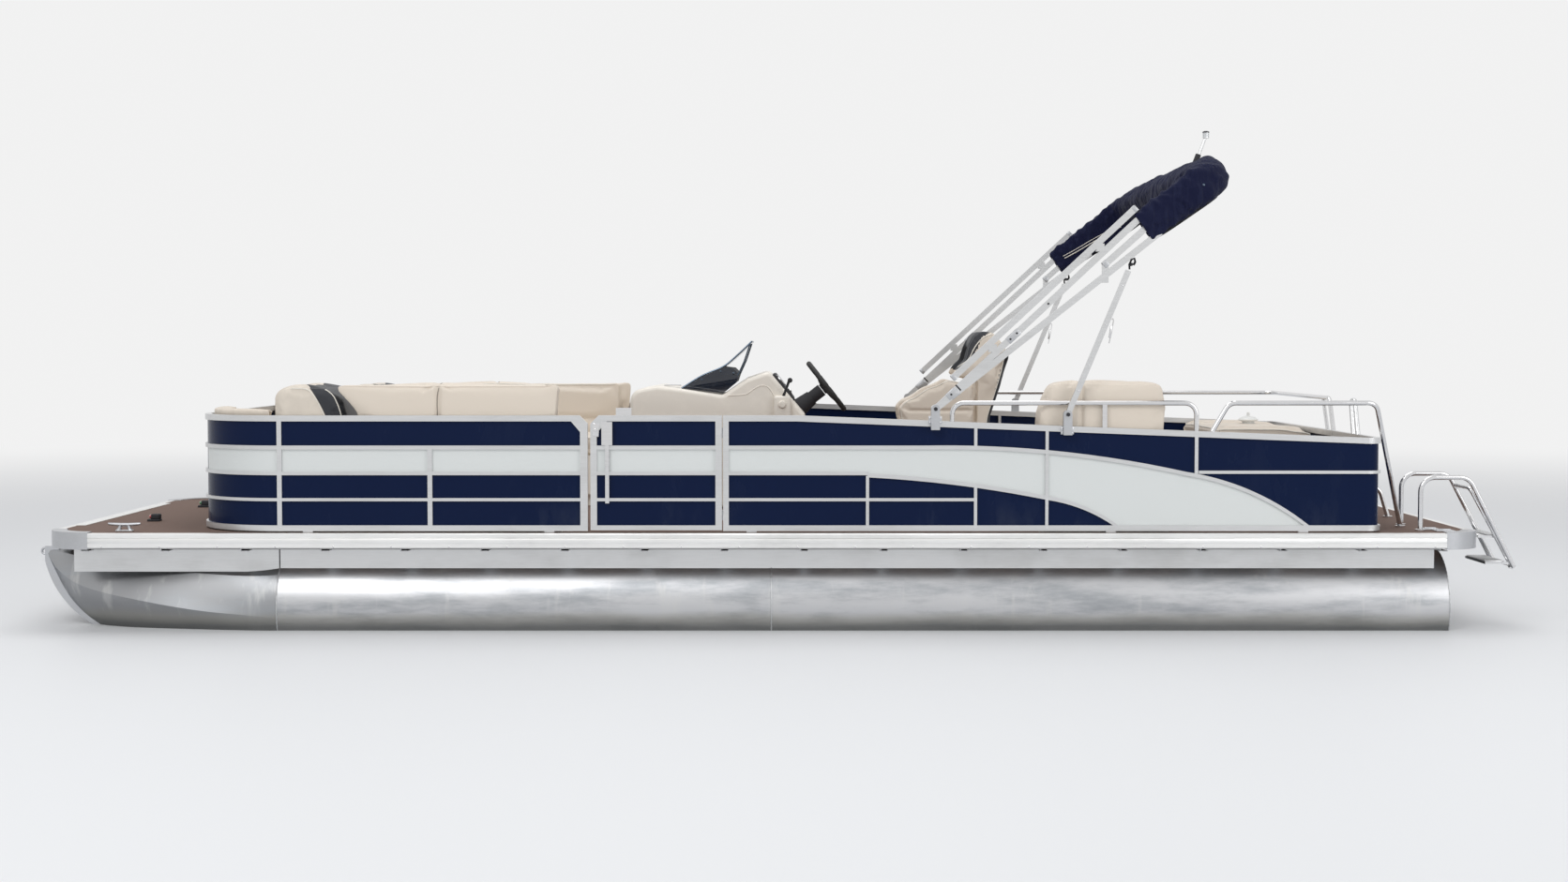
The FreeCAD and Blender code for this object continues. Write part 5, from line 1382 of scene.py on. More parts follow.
            welt(f"{self.label}_lounge_back_{name}_after_piping", pad,
                 [(at(b - 0.115), y, top), (at(b - 0.072), y, top - 0.030), (at(b - 0.042), y, top - 0.092),
                  (at(b - 0.024), y, top - 0.151), (at(b), y, top - 0.290)], "hull", 0.0032)


@dataclass
class CornerPads:
    """Bolsters along the inside of the bow fence."""

    low: float = 1.122
    high: float = 1.320
    outer: float = 0.430
    inner: float = 0.350
    aft: float = 1.150
    centre_end: float = 0.607

    def build(self, couch: Couch) -> None:
        """Make the bolster on the couch's side.

        Args:
            couch: The couch it stands by.
        """
        side = couch.side
        turn = [couch.arc(radius, 4.0, 88.0, 22) for radius in (self.outer, self.inner)]
        outline = [(self.aft, side * 1.195), *[(s, side * y) for s, y in turn[0]], (0.772, side * self.centre_end),
                   (0.850, side * self.centre_end), *[(s, side * y) for s, y in reversed(turn[1])],
                   (self.aft, side * 1.115)]
        replaced = ("corner_pads",) if side == PORT else ()
        pad = Pad(f"{couch.label}_corner_bolster", "hull", replaced, cap=0.009, shrink=0.006, seams=[
            Seam(2, 1.285)]).make(plan_block(outline, self.low, self.high))
        line = [(at(s), side * y, self.high - 0.010) for s, y in turn[1]]
        welt(f"{couch.label}_corner_bolster_piping", pad, line, "hull", 0.0036)


@dataclass
class AftBench:
    """Port bench beside the helm chair: seat, and a back in two panels."""

    start: float = 5.045
    end: float = 5.745
    outer: float = 1.197
    inner: float = 0.602
    back_inner: float = 1.047
    low: float = 0.992
    top: float = 1.465

    def build(self) -> None:
        """Make the bench's pads."""
        form = Form()
        form.box((at(self.start + 0.04), -self.back_inner + 0.004, self.low),
                 (at(self.end), -self.inner, SEAT_TOP + 0.004), 0.022, 3)
        seat = Pad("aft_bench_cushion", "hull", ("aft_bench_seat",), seams=[
            Seam(1, -(self.inner + SEAM_INSET), low=(-FAR, -FAR, self.low + SEAM_RISE)),
            Seam(0, at((self.start + self.end) / 2), low=(-FAR, -FAR, self.low + SEAM_RISE))]).make(form)
        z = SEAT_TOP - 0.014
        welt("aft_bench_piping", seat, [(at(self.start + 0.048), -self.back_inner + 0.015, z),
                                        (at(self.start + 0.048), -self.inner - 0.006, z),
                                        (at(self.end - 0.008), -self.inner - 0.006, z),
                                        (at(self.end - 0.008), -self.back_inner + 0.015, z)], "hull")
        outline = rounded([(self.start + 0.012, self.low), (self.end - 0.02, self.low), (self.end, self.top - 0.13),
                           (self.end - 0.03, self.top), (self.start + 0.085, self.top),
                           (self.start + 0.022, self.top - 0.17)],
                          [0.01, 0.02, 0.06, 0.055, 0.075, 0.06])
        back = Pad("aft_bench_backrest", "hull", ("aft_bench_back",), cap=0.011, seams=[
            Seam(0, at(5.300)), Seam(2, 1.215, low=(-FAR, -1.09, -FAR))
        ]).make(profile_block(outline, -self.outer, -self.back_inner))
        y, z = -self.back_inner - 0.004, self.top - 0.014
        welt("aft_bench_back_piping", back, [(at(self.start + 0.03), y, 1.30), (at(self.start + 0.05), y, z - 0.06),
                                             (at(self.start + 0.11), y, z), (at(self.end - 0.04), y, z)], "hull")


@dataclass
class Sunpad:
    """Large pad in the starboard stern corner, sewn in lengthwise channels, with a vent on it."""

    start: float = 6.240
    end: float = 6.796
    inner: float = 0.060
    outer: float = 1.152
    low: float = 1.082
    high: float = 1.182
    drop: float = 0.017

    def build(self) -> None:
        """Make the pad and its piping."""
        outline = rounded([(self.start, self.low), (self.end, self.low), (self.end, self.high - self.drop),
                           (self.end - 0.20, self.high), (self.start, self.high)], [0.012, 0.012, 0.04, 0.50, 0.03])
        form = profile_block(outline, self.inner, self.outer)
        quarter = (self.outer - self.inner) / 4
        channels = [Seam(1, self.inner + quarter * k, low=(-FAR, -FAR, self.low + 0.07)) for k in (1, 2, 3)]
        front = Seam(2, self.high - 0.050, high=(at(self.start) + 0.05, FAR, FAR))
        pad = Pad("sunpad_cushion", "hull", ("sunpad",), voxel=0.012, cap=0.014, seams=[*channels, front]).make(form)
        z = self.high - 0.012
        welt("sunpad_piping", pad, [(at(self.end - 0.012), self.inner + 0.008, z - self.drop),
                                    (at(self.end - 0.20), self.inner + 0.006, z),
                                    (at(self.start + 0.01), self.inner + 0.006, z),
                                    (at(self.start + 0.006), self.outer - 0.008, z)], "hull")
        vent = Form()
        x, y, top = at(6.555), 0.72, self.high + 0.002
        vent.lathe([(0.000, 0.048), (0.012, 0.048), (0.016, 0.036), (0.024, 0.036), (0.028, 0.056), (0.036, 0.060),
                    (0.048, 0.046), (0.056, 0.022), (0.058, 0.010), (0.078, 0.008), (0.080, 0.0)],
                    (x, y, top - 0.018), (0, 0, 1), 40)
        vent.show("sunpad_vent", Finish.WHITE, "hull", "lamp_plastic")


@dataclass
class Furniture:
    """Moulded bases under the seats, with doors, latches and vents; each door is its side, start and end."""

    seat_bottom: float = 0.992
    toe: float = 0.762
    front: float = 0.602
    lid: float = 0.0035
    doors: tuple[tuple[int, float, float], ...] = (
        (PORT, 1.05, 1.60), (PORT, 1.68, 2.28), (STARBOARD, 1.05, 1.60), (STARBOARD, 1.68, 2.28), (PORT, 5.16, 5.66))

    def build(self, nodes: Parts) -> None:
        """Dress the bases and add the doors.

        Args:
            nodes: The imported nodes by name.
        """
        dress(nodes, {name: Finish.MOULDED for name in ("couch_bases", "aft_bench_base", "sunpad_base")})
        doors, latches, vents = Form(), Form(), Form()
        foot, head, latch = self.toe + 0.035, self.seat_bottom - 0.035, self.seat_bottom - 0.060
        for side, a, b in self.doors:
            y = side * self.front
            doors.plate([(at(a), y, foot), (at(b), y, foot), (at(b), y, head), (at(a), y, head)],
                        (0.0, -side * self.lid, 0.0), 0.0012)
            middle = (at(a) + at(b)) / 2
            latches.rod((middle, y - side * 0.001, latch), (middle, y - side * 0.0065, latch), 0.019, 28, bevel=0.0015)
            lid = y - side * self.lid
            for k in range(6):
                z = self.toe + 0.060 + 0.010 * k
                vents.box((at(a) + 0.05, lid - 0.0015, z), (at(a) + 0.17, lid + 0.0015, z + 0.004), 0.0008, 1)
        for y in frange(0.27, 0.99, 0.24):
            vents.rod((at(6.2405), y, 0.88), (at(6.2365), y, 0.88), 0.030, 28, bevel=0.001)
        doors.show("base_doors", Finish.MOULDED, "hull", "moulded_base")
        latches.show("base_latches", Finish.BLACK, "hull", "black_plastic")
        vents.show("base_vents", Finish.BLACK, "hull", "black_plastic")


# ---------------------------------------------------------------- helm
@dataclass
class Console:
    """Moulded helm console: body with crease lines, dash with dials and switches, door, throttle and screen.

    Each of the dials is its distance down the dash, its Y and its radius; cups and speakers are at stations.
    """

    start: float = 2.882
    end: float = 3.905
    inner: float = 0.400
    outer: float = 1.197
    floor: float = 0.692
    screen_outer: float = 1.113
    screen_thick: float = 0.0055
    dials: tuple[Point, ...] = ((0.060, 0.560, 0.030), (0.060, 0.645, 0.030), (0.062, 0.960, 0.046),
                                (0.062, 1.070, 0.030))
    cups: tuple[float, float] = (3.12, 3.28)
    speakers: tuple[float, float] = (3.56, 3.74)

    def build(self, nodes: Parts) -> None:
        """Make the console's pieces.

        Args:
            nodes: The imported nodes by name.
        """
        self.shell()
        self.dash(nodes)
        self.side_details()
        self.throttle()
        self.windshield()

    def shell(self) -> None:
        """The moulded body, its edges rounded, with a step line along its side."""
        z = self.floor
        outline = rounded([(self.start, z + 0.002), (self.start, z + 0.690), (3.045, z + 0.717), (3.180, z + 0.700),
                           (3.422, z + 0.664), (3.560, z + 0.758), (3.692, z + 0.803), (self.end, z + 0.548),
                           (self.end - 0.020, z + 0.002)], [0.0, 0.085, 0.06, 0.05, 0.03, 0.06, 0.050, 0.03, 0.0], 6)
        form = Form()
        form.plate([(at(s), self.inner, h) for s, h in outline], (0.0, self.outer - self.inner, 0.0))
        rims = [e for e in form.bm.edges if len(e.link_faces) == 2 and any(len(f.verts) > 8 for f in e.link_faces)]
        bmesh.ops.bevel(form.bm, geom=rims, offset=0.026, offset_type="OFFSET", affect="EDGES", segments=5,
                        profile=0.5, material=-1, clamp_overlap=True)
        form.show("console_body", Finish.MOULDED, "hull", "moulded_base", ["console"], smooth=35)
        crease = Form()
        for y, side in ((self.inner, -1), (self.outer, 1)):
            fairing = [(3.455, 1.352), (3.556, 1.360), (3.601, 1.388), (3.646, 1.410), (3.690, 1.399), (3.724, 1.349),
                       (3.768, 1.293), (3.813, 1.243), (3.870, 1.100)]
            crease.tube(bezier([(at(s), y + side * 0.0002, h) for s, h in fairing], 5), 0.0032, 8)
        crease.box((at(self.start) - 0.0022, self.inner + 0.09, 0.80),
                   (at(self.start) + 0.001, self.outer - 0.09, 1.27), 0.0012)
        crease.show("console_creases", Finish.MOULDED, "hull", "moulded_base")

    def on_dash(self, along: float, y: float, lift: float = 0.0) -> Vector:
        """Point on the sloping dash: along it from its top, at a Y, lifted off it.

        Args:
            along: Distance down the dash.
            y: Y of the point.
            lift: Distance off the dash.

        Returns:
            The point.
        """
        top, foot = Vector((at(3.712), y, 1.482)), Vector((at(self.end), y, 1.240))
        slope = (foot - top).normalized()
        return top + slope * along + Vector((-slope.z, 0.0, slope.x)) * lift

    def dash(self, nodes: Parts) -> None:
        """Gauge pod, dials with generic scales, rocker switches and the key.

        Args:
            nodes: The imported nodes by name.
        """
        dress(nodes, {"steering_column": Finish.BLACK})
        pod, rims, faces, marks, needles, glass = (Form() for _ in range(6))
        a, b = self.on_dash(0.010, 0, 0.004), self.on_dash(0.205, 0, 0.004)
        out = (self.on_dash(0, 0, 0.016) - self.on_dash(0, 0, 0.0))
        sides = [(a.x, 0.475, a.z), (a.x, 1.120, a.z), (b.x, 1.120, b.z), (b.x, 0.475, b.z)]
        pod.plate([tuple(Vector(p) - out) for p in sides], out * 1.3, 0.006, 3)
        normal = out.normalized()
        for along, y, radius in self.dials:
            centre = self.on_dash(along, y, 0.0095)
            rims.lathe([(-0.004, radius + 0.005), (0.0045, radius + 0.005), (0.006, radius + 0.0025), (0.004, radius)],
                       centre, normal, 36)
            faces.rod(centre - normal * 0.002, centre + normal * 0.002, radius, 36)
            glass.rod(centre + normal * 0.0044, centre + normal * 0.0050, radius, 36)
            right, up = ACROSS, normal.cross(ACROSS)
            for k in range(11):
                turn = math.radians(-130 + 26 * k)
                ray = (up * math.cos(turn) + right * math.sin(turn))
                marks.tube([centre + ray * radius * 0.76 + normal * 0.0024,
                            centre + ray * radius * 0.92 + normal * 0.0024],
                           0.0007, 4)
            needle = (up * math.cos(-2.0) + right * math.sin(-2.0))
            needles.tube([centre + normal * 0.0031, centre + needle * radius * 0.7 + normal * 0.0031],
                         [0.0016, 0.0004], 6)
            needles.rod(centre + normal * 0.002, centre + normal * 0.004, 0.004, 12)
        switches = Form()
        for k in range(6):
            p = self.on_dash(0.150, 0.515 + 0.045 * k, 0.009)
            low = p - normal * 0.003
            switches.plate([tuple(low + Vector((0, dy, 0)) + normal.cross(ACROSS) * dz)
                            for dy, dz in ((-0.011, -0.018), (0.011, -0.018), (0.011, 0.018), (-0.011, 0.018))],
                           normal * 0.009, 0.002)
        key = self.on_dash(0.150, 0.860, 0.009)
        rims.rod(key - normal * 0.002, key + normal * 0.010, 0.013, 24, bevel=0.002)
        for name, form, finish in (("dash_pod", pod, Finish.BLACK), ("gauge_rims", rims, Finish.STAINLESS),
                                   ("gauge_faces", faces, Finish.DIAL), ("gauge_marks", marks, Finish.DIAL_MARK),
                                   ("gauge_needles", needles, Finish.RED_LENS), ("gauge_lenses", glass, Finish.GLASS),
                                   ("dash_switches", switches, Finish.RUBBER)):
            form.show(name, finish, "hull", "black_plastic")

    def side_details(self) -> None:
        """Door with its latch in the inboard side, speakers below the dash, and cup holders in the top."""
        door, cups = Form(), Form()
        y = self.inner
        door.plate([(at(3.00), y, 0.78), (at(3.42), y, 0.78), (at(3.42), y, 1.22), (at(3.00), y, 1.22)],
                   (0, -0.004, 0), 0.0016)
        door.show("console_door", Finish.MOULDED, "hull", "moulded_base")
        cups.lathe([(0.006, 0.030), (0.006, 0.044), (0.003, 0.047), (0.0, 0.047), (-0.001, 0.04)],
                   (at(3.21), y - 0.004, 1.165), (0, -1, 0), 32)
        for x in self.cups:
            cups.lathe([(0.0, 0.034), (0.004, 0.046), (0.001, 0.052), (-0.002, 0.05)], (at(x), 0.62, 1.4085),
                       (0, 0, 1), 32)
        cups.show("console_latch_and_cups", Finish.STAINLESS, "hull", "stainless")
        speaker = Form()
        for x in self.speakers:
            centre = (at(x), y - 0.001, 0.92)
            speaker.lathe([(0.0, 0.080), (0.008, 0.078), (0.010, 0.070), (0.006, 0.060), (0.010, 0.030), (0.012, 0.0)],
                          centre, (0, -1, 0), 40)
            for radius in (0.034, 0.044, 0.054, 0.064):
                ring = [(centre[0] + radius * math.cos(t), y - 0.0105, centre[2] + radius * math.sin(t))
                        for k in range(32) for t in [math.tau * k / 32]]
                speaker.tube(ring, 0.0016, 6, True)
        speaker.show("console_speakers", Finish.BLACK, "hull", "black_plastic")

    def throttle(self) -> None:
        """Control on the inboard side: a moulded mount with its boss, and a black lever with its grip."""
        mount, lever = Form(), Form()
        x, y, z = at(3.770), self.inner - 0.001, self.floor + 0.610
        mount.box((x - 0.050, y - 0.044, z - 0.080), (x + 0.050, y, z + 0.050), 0.016, 5)
        mount.lathe([(0.0, 0.024), (0.010, 0.022), (0.018, 0.018), (0.020, 0.0)], (x, y - 0.042, z), (0, -1, 0), 32)
        mount.show("throttle_mount", Finish.MOULDED, "hull", "black_plastic", ["throttle"], smooth=35)
        lever.tube([(x + 0.004, y - 0.024, z + 0.040), (x + 0.016, y - 0.030, z + 0.072),
                    (x + 0.040, y - 0.034, z + 0.138)],
                   [0.010, 0.0075, 0.008], 14)
        lever.rod((x + 0.045, y - 0.064, z + 0.140), (x + 0.045, y - 0.008, z + 0.140), 0.0145, 24, bevel=0.006)
        lever.show("throttle_lever", Finish.BLACK, "hull", "black_plastic", smooth=35)

    def windshield(self) -> None:
        """Smoked screen that wraps round to dark cheeks, in a thin dark metal frame with a raked top bar."""
        inner, outer, z = self.inner + 0.045, self.screen_outer, self.floor
        screen = Form()
        section = [(3.180, z + 0.7015), (3.30, z + 0.775), (3.425, z + 0.829), (3.51, z + 0.898), (3.590, z + 0.974)]
        line = bezier([(at(s), 0.0, h) for s, h in section], 6)
        for a, b in zip(line, line[1:]):
            rows = frange(inner, outer, 0.06)
            for y0, y1 in zip(rows, rows[1:]):
                quad = ((a.x, y0, a.z), (a.x, y1, a.z), (b.x, y1, b.z), (b.x, y0, b.z))
                screen.bm.faces.new([screen.bm.verts.new(p) for p in quad])
        bmesh.ops.remove_doubles(screen.bm, verts=screen.bm.verts, dist=THIN)
        bmesh.ops.recalc_face_normals(screen.bm, faces=screen.bm.faces)
        bmesh.ops.solidify(screen.bm, geom=screen.bm.faces[:], thickness=self.screen_thick)
        for y in (inner, outer - self.screen_thick):
            cheek = [(3.186, z + 0.703), (3.30, z + 0.770), (3.425, z + 0.824), (3.484, z + 0.817), (3.518, z + 0.784),
                     (3.502, z + 0.736), (3.424, z + 0.672), (3.30, z + 0.690)]
            screen.plate([(at(s), y, h) for s, h in cheek], (0.0, self.screen_thick, 0.0), 0.0015)
        screen.show("windshield_screen", Finish.SMOKED, "hull", "tinted_screen", ["windshield"])
        frame = Form()
        for y in (inner + 0.003, outer - 0.003):
            edge = [Vector((p.x, y, p.z + 0.001)) for p in line]
            frame.tube(edge, 0.0045, 8)
            frame.tube([(at(3.582), y, z + 0.962), (at(3.548), y, z + 0.86), (at(3.510), y, z + 0.776)], 0.0045, 8)
            for s, h in ((3.30, 0.752), (3.41, 0.800), (3.485, 0.790)):
                frame.rod((at(s), y - 0.006, z + h), (at(s), y + 0.006, z + h), 0.006, 14, bevel=0.001)
        top = line[-1]
        frame.tube([(top.x, inner + 0.003, top.z), (top.x, outer - 0.003, top.z)], 0.0055, 10)
        for y in (inner + 0.10, (inner + outer) / 2, outer - 0.10):
            frame.rod((at(3.236), y, z + 0.722), (at(3.229), y, z + 0.736), 0.006, 14)
        frame.show("windshield_frame", Finish.DARK_TRIM, "hull", "stainless")


@dataclass
class Wheel:
    """Steering wheel: grooved soft rim, three pressed spokes and a padded hub cap."""

    centre: Point = (0.313, 0.720, 1.401)
    tilt: float = 38.0
    radius: float = 0.185
    rim: float = 0.016

    def build(self) -> None:
        """Make the wheel's pieces about their axis, then lean them."""
        rim, spokes, cap = Form(), Form(), Form()
        mid = self.radius - self.rim
        count = 120
        ring = [(mid * math.cos(t), mid * math.sin(t), 0.0) for k in range(count) for t in [math.tau * k / count]]
        rim.tube(ring, [self.rim * (0.985 - (0.10 if k % 10 in (0, 1) else 0.0)) for k in range(count)], 14, True)
        for k in range(3):
            turn = Matrix.Rotation(math.radians(120 * k), 4, "Z")
            for y in (-0.013, 0.013):
                spokes.tube([turn @ Vector(p) for p in ((0.022, y * 0.9, -0.020), (0.07, y * 1.1, -0.016),
                                                        (0.12, y * 1.3, -0.006), (mid - 0.004, y * 1.5, 0.0))],
                            [0.0075, 0.007, 0.0065, 0.008], 10, flat=0.7)
        spokes.lathe([(-0.032, 0.0), (-0.032, 0.032), (-0.016, 0.036), (-0.010, 0.030), (-0.010, 0.0)], (0, 0, 0),
                     (0, 0, 1), 36)
        cap.lathe([(-0.012, 0.030), (-0.004, 0.0295), (0.002, 0.026), (0.005, 0.016), (0.006, 0.0)], (0, 0, 0),
                  (0, 0, 1), 36)
        lean = Matrix.Translation(Vector(self.centre)) @ Matrix.Rotation(math.radians(90.0 - self.tilt), 4, "Y")
        for name, form, finish, replaced in (("steering_rim", rim, Finish.RUBBER, ["steering_wheel"]),
                                             ("steering_spokes", spokes, Finish.BLACK, []),
                                             ("steering_cap", cap, Finish.BLACK, [])):
            bmesh.ops.transform(form.bm, matrix=lean, verts=form.bm.verts)
            form.show(name, finish, "steering_wheel", "black_plastic", replaced)


@dataclass
class Chair:
    """Swivel helm chair: seat, padded arms that sweep up, and a winged back with a charcoal edge."""

    station: float = 4.800
    y: float = 0.680
    seat_z: float = 1.022
    half: float = 0.255
    waist: float = 0.170
    back_half: float = 0.230
    arm: Outline = ((-0.316, 0.062), (0.096, 0.062), (0.096, 0.396), (-0.064, 0.438), (-0.114, 0.404), (-0.191, 0.381),
                    (-0.247, 0.338), (-0.318, 0.304), (-0.357, 0.254), (-0.341, 0.190))
    back: Outline = ((0.106, 0.062), (0.106, 0.406), (-0.050, 0.450), (-0.010, 0.508), (0.031, 0.543), (0.049, 0.622),
                     (0.086, 0.687), (0.136, 0.722), (0.203, 0.710), (0.258, 0.638), (0.296, 0.564), (0.255, 0.408),
                     (0.187, 0.200), (0.182, 0.062))

    def build(self, nodes: Parts) -> None:
        """Make the chair's pieces.

        Args:
            nodes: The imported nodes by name.
        """
        dress(nodes, {"chair_pedestal": Finish.STAINLESS, "chair_swivel_plate": Finish.BLACK})
        self.seat()
        self.arms()
        self.rest()

    def side_view(self, outline: Outline) -> list[tuple[float, float]]:
        """Stations and heights of an outline given from the chair's pivot."""
        return [(self.station + along, self.seat_z + up) for along, up in outline]

    def line(self, points: Outline, y: float) -> list[Point]:
        """Route along the chair's side."""
        return [(at(self.station + along), y, self.seat_z + up) for along, up in points]

    def seat(self) -> None:
        """Seat cushion with a raised front roll."""
        z, inner, front, rear = self.seat_z, self.waist - 0.003, self.station - 0.356, self.station + 0.096
        outline = rounded([(front, z + 0.040), (rear, z + 0.040), (rear, z + 0.150), (front + 0.14, z + 0.158),
                           (front, z + 0.168)], [0.04, 0.015, 0.02, 0.08, 0.045])
        pad = Pad("chair_cushion", "helm_chair", ("chair_seat",), voxel=0.009, cap=0.011, shrink=0.006, seams=[
            Seam(0, at(front + 0.135), low=(-FAR, -FAR, z + 0.10)),
            Seam(1, self.y - 0.085, low=(at(front + 0.135), -FAR, z + 0.10)),
            Seam(1, self.y + 0.085, low=(at(front + 0.135), -FAR, z + 0.10))]
        ).make(profile_block(outline, self.y - inner, self.y + inner))
        welt("chair_cushion_piping", pad, [(at(front + 0.004), self.y - inner + 0.01, z + 0.125),
                                           (at(front + 0.004), self.y + inner - 0.01, z + 0.125)], "helm_chair", 0.0036)

    def arms(self) -> None:
        """Padded arms that sweep up from the front into the back's wings."""
        thick = self.half - self.waist
        soft = [0.03, 0.02, 0.02, 0.05, 0.05, 0.06, 0.06, 0.06, 0.04, 0.04]
        for label, low in (("port", self.y - self.half), ("starboard", self.y + self.waist)):
            outer = low + (0.006 if label == "port" else thick - 0.006)
            form = profile_block(rounded(self.side_view(self.arm), soft), low, low + thick)
            pad = Pad(f"chair_{label}_arm", "helm_chair", ("chair_arms",) if label == "port" else (), voxel=0.009,
                      cap=0.009, shrink=0.006,
                      seams=[Seam(2, self.seat_z + 0.240, low=(at(4.50), -FAR, -FAR))]).make(form)
            welt(f"chair_{label}_arm_piping", pad, self.line(
                [(-0.335, 0.12), (-0.345, 0.20), (-0.338, 0.26), (-0.305, 0.295), (-0.247, 0.325), (-0.191, 0.368),
                 (-0.114, 0.392), (-0.06, 0.424), (0.07, 0.388)], outer), "helm_chair", 0.0034)

    def rest(self) -> None:
        """Back: a recessed middle between two wings under a head roll, narrower at the top, with piping."""
        z, y, wide = self.seat_z, self.y, self.back_half
        soft = [0.02, 0.02, 0.03, 0.05, 0.05, 0.05, 0.05, 0.05, 0.05, 0.05, 0.05, 0.10, 0.10, 0.03]
        outline = rounded(self.side_view(self.back), soft)
        form = Form()
        for low, high in ((y - wide, y - 0.150), (y + 0.150, y + wide)):
            form.join(profile_block(outline, low, high))
        form.join(profile_block(rounded(self.side_view((
            (0.106, 0.062), (0.106, 0.350), (0.150, 0.480), (0.176, 0.586), (0.060, 0.600), (0.086, 0.687),
            (0.136, 0.722),
            (0.203, 0.710), (0.258, 0.638), (0.296, 0.564), (0.255, 0.408), (0.187, 0.200), (0.182, 0.062))),
            [0.02, 0.1, 0.1, 0.02, 0.03, 0.05, 0.05, 0.05, 0.05, 0.05, 0.1, 0.1, 0.03]), y - 0.155, y + 0.155))
        for vert in form.bm.verts:
            rise = max(0.0, vert.co.z - z - 0.540)
            vert.co.y = y + (vert.co.y - y) * (1.0 - 0.95 * rise)
        pad = Pad("chair_backrest", "helm_chair", ("chair_back",), voxel=0.009, cap=0.010, shrink=0.006,
                  second=Finish.CHARCOAL, in_second=self.in_edge, seams=[
                      Seam(1, y - 0.148, low=(-FAR, -FAR, z + 0.40), high=(at(5.00), FAR, z + 0.70)),
                      Seam(1, y + 0.148, low=(-FAR, -FAR, z + 0.40), high=(at(5.00), FAR, z + 0.70)),
                      Seam(2, z + 0.330, low=(-FAR, y - 0.148, -FAR), high=(at(4.98), y + 0.148, FAR))]).make(form)
        for label, side in (("port", -1), ("starboard", 1)):
            edge = y + side * (wide - 0.004)
            for kind, points in (
                    ("front", [(-0.01, 0.500), (0.060, 0.535), (0.095, 0.610), (0.140, 0.665), (0.200, 0.690)]),
                    ("rear", [(0.240, 0.640), (0.274, 0.560), (0.236, 0.410), (0.168, 0.200), (0.165, 0.10)])):
                route = [(px, py - side * 0.22 * max(0.0, pz - z - 0.54), pz) for px, py, pz in self.line(points, edge)]
                welt(f"chair_back_{label}_{kind}_piping", pad, route, "helm_chair", 0.0034)

    def in_edge(self, point: Vector) -> bool:
        """Whether a point of the back is on its charcoal front and head, or its dark rear edge.

        Args:
            point: A point of the back.

        Returns:
            True on the charcoal parts.
        """
        along, up = point.x - at(self.station), point.z - self.seat_z
        band = [(0.480, 0.040), (0.523, 0.063), (0.607, 0.113), (0.670, 0.140), (0.692, 0.176), (0.706, 0.212),
                (0.76, 0.30)]
        inner = next((a0 + (a1 - a0) * (up - u0) / (u1 - u0)
                      for (u0, a0), (u1, a1) in zip(band, band[1:]) if u0 <= up < u1), None)
        rear = 0.168 + 0.28 * (up - 0.19) if up > 0.19 else 0.168
        return (inner is not None and along < inner) or (along > rear and up < 0.58)


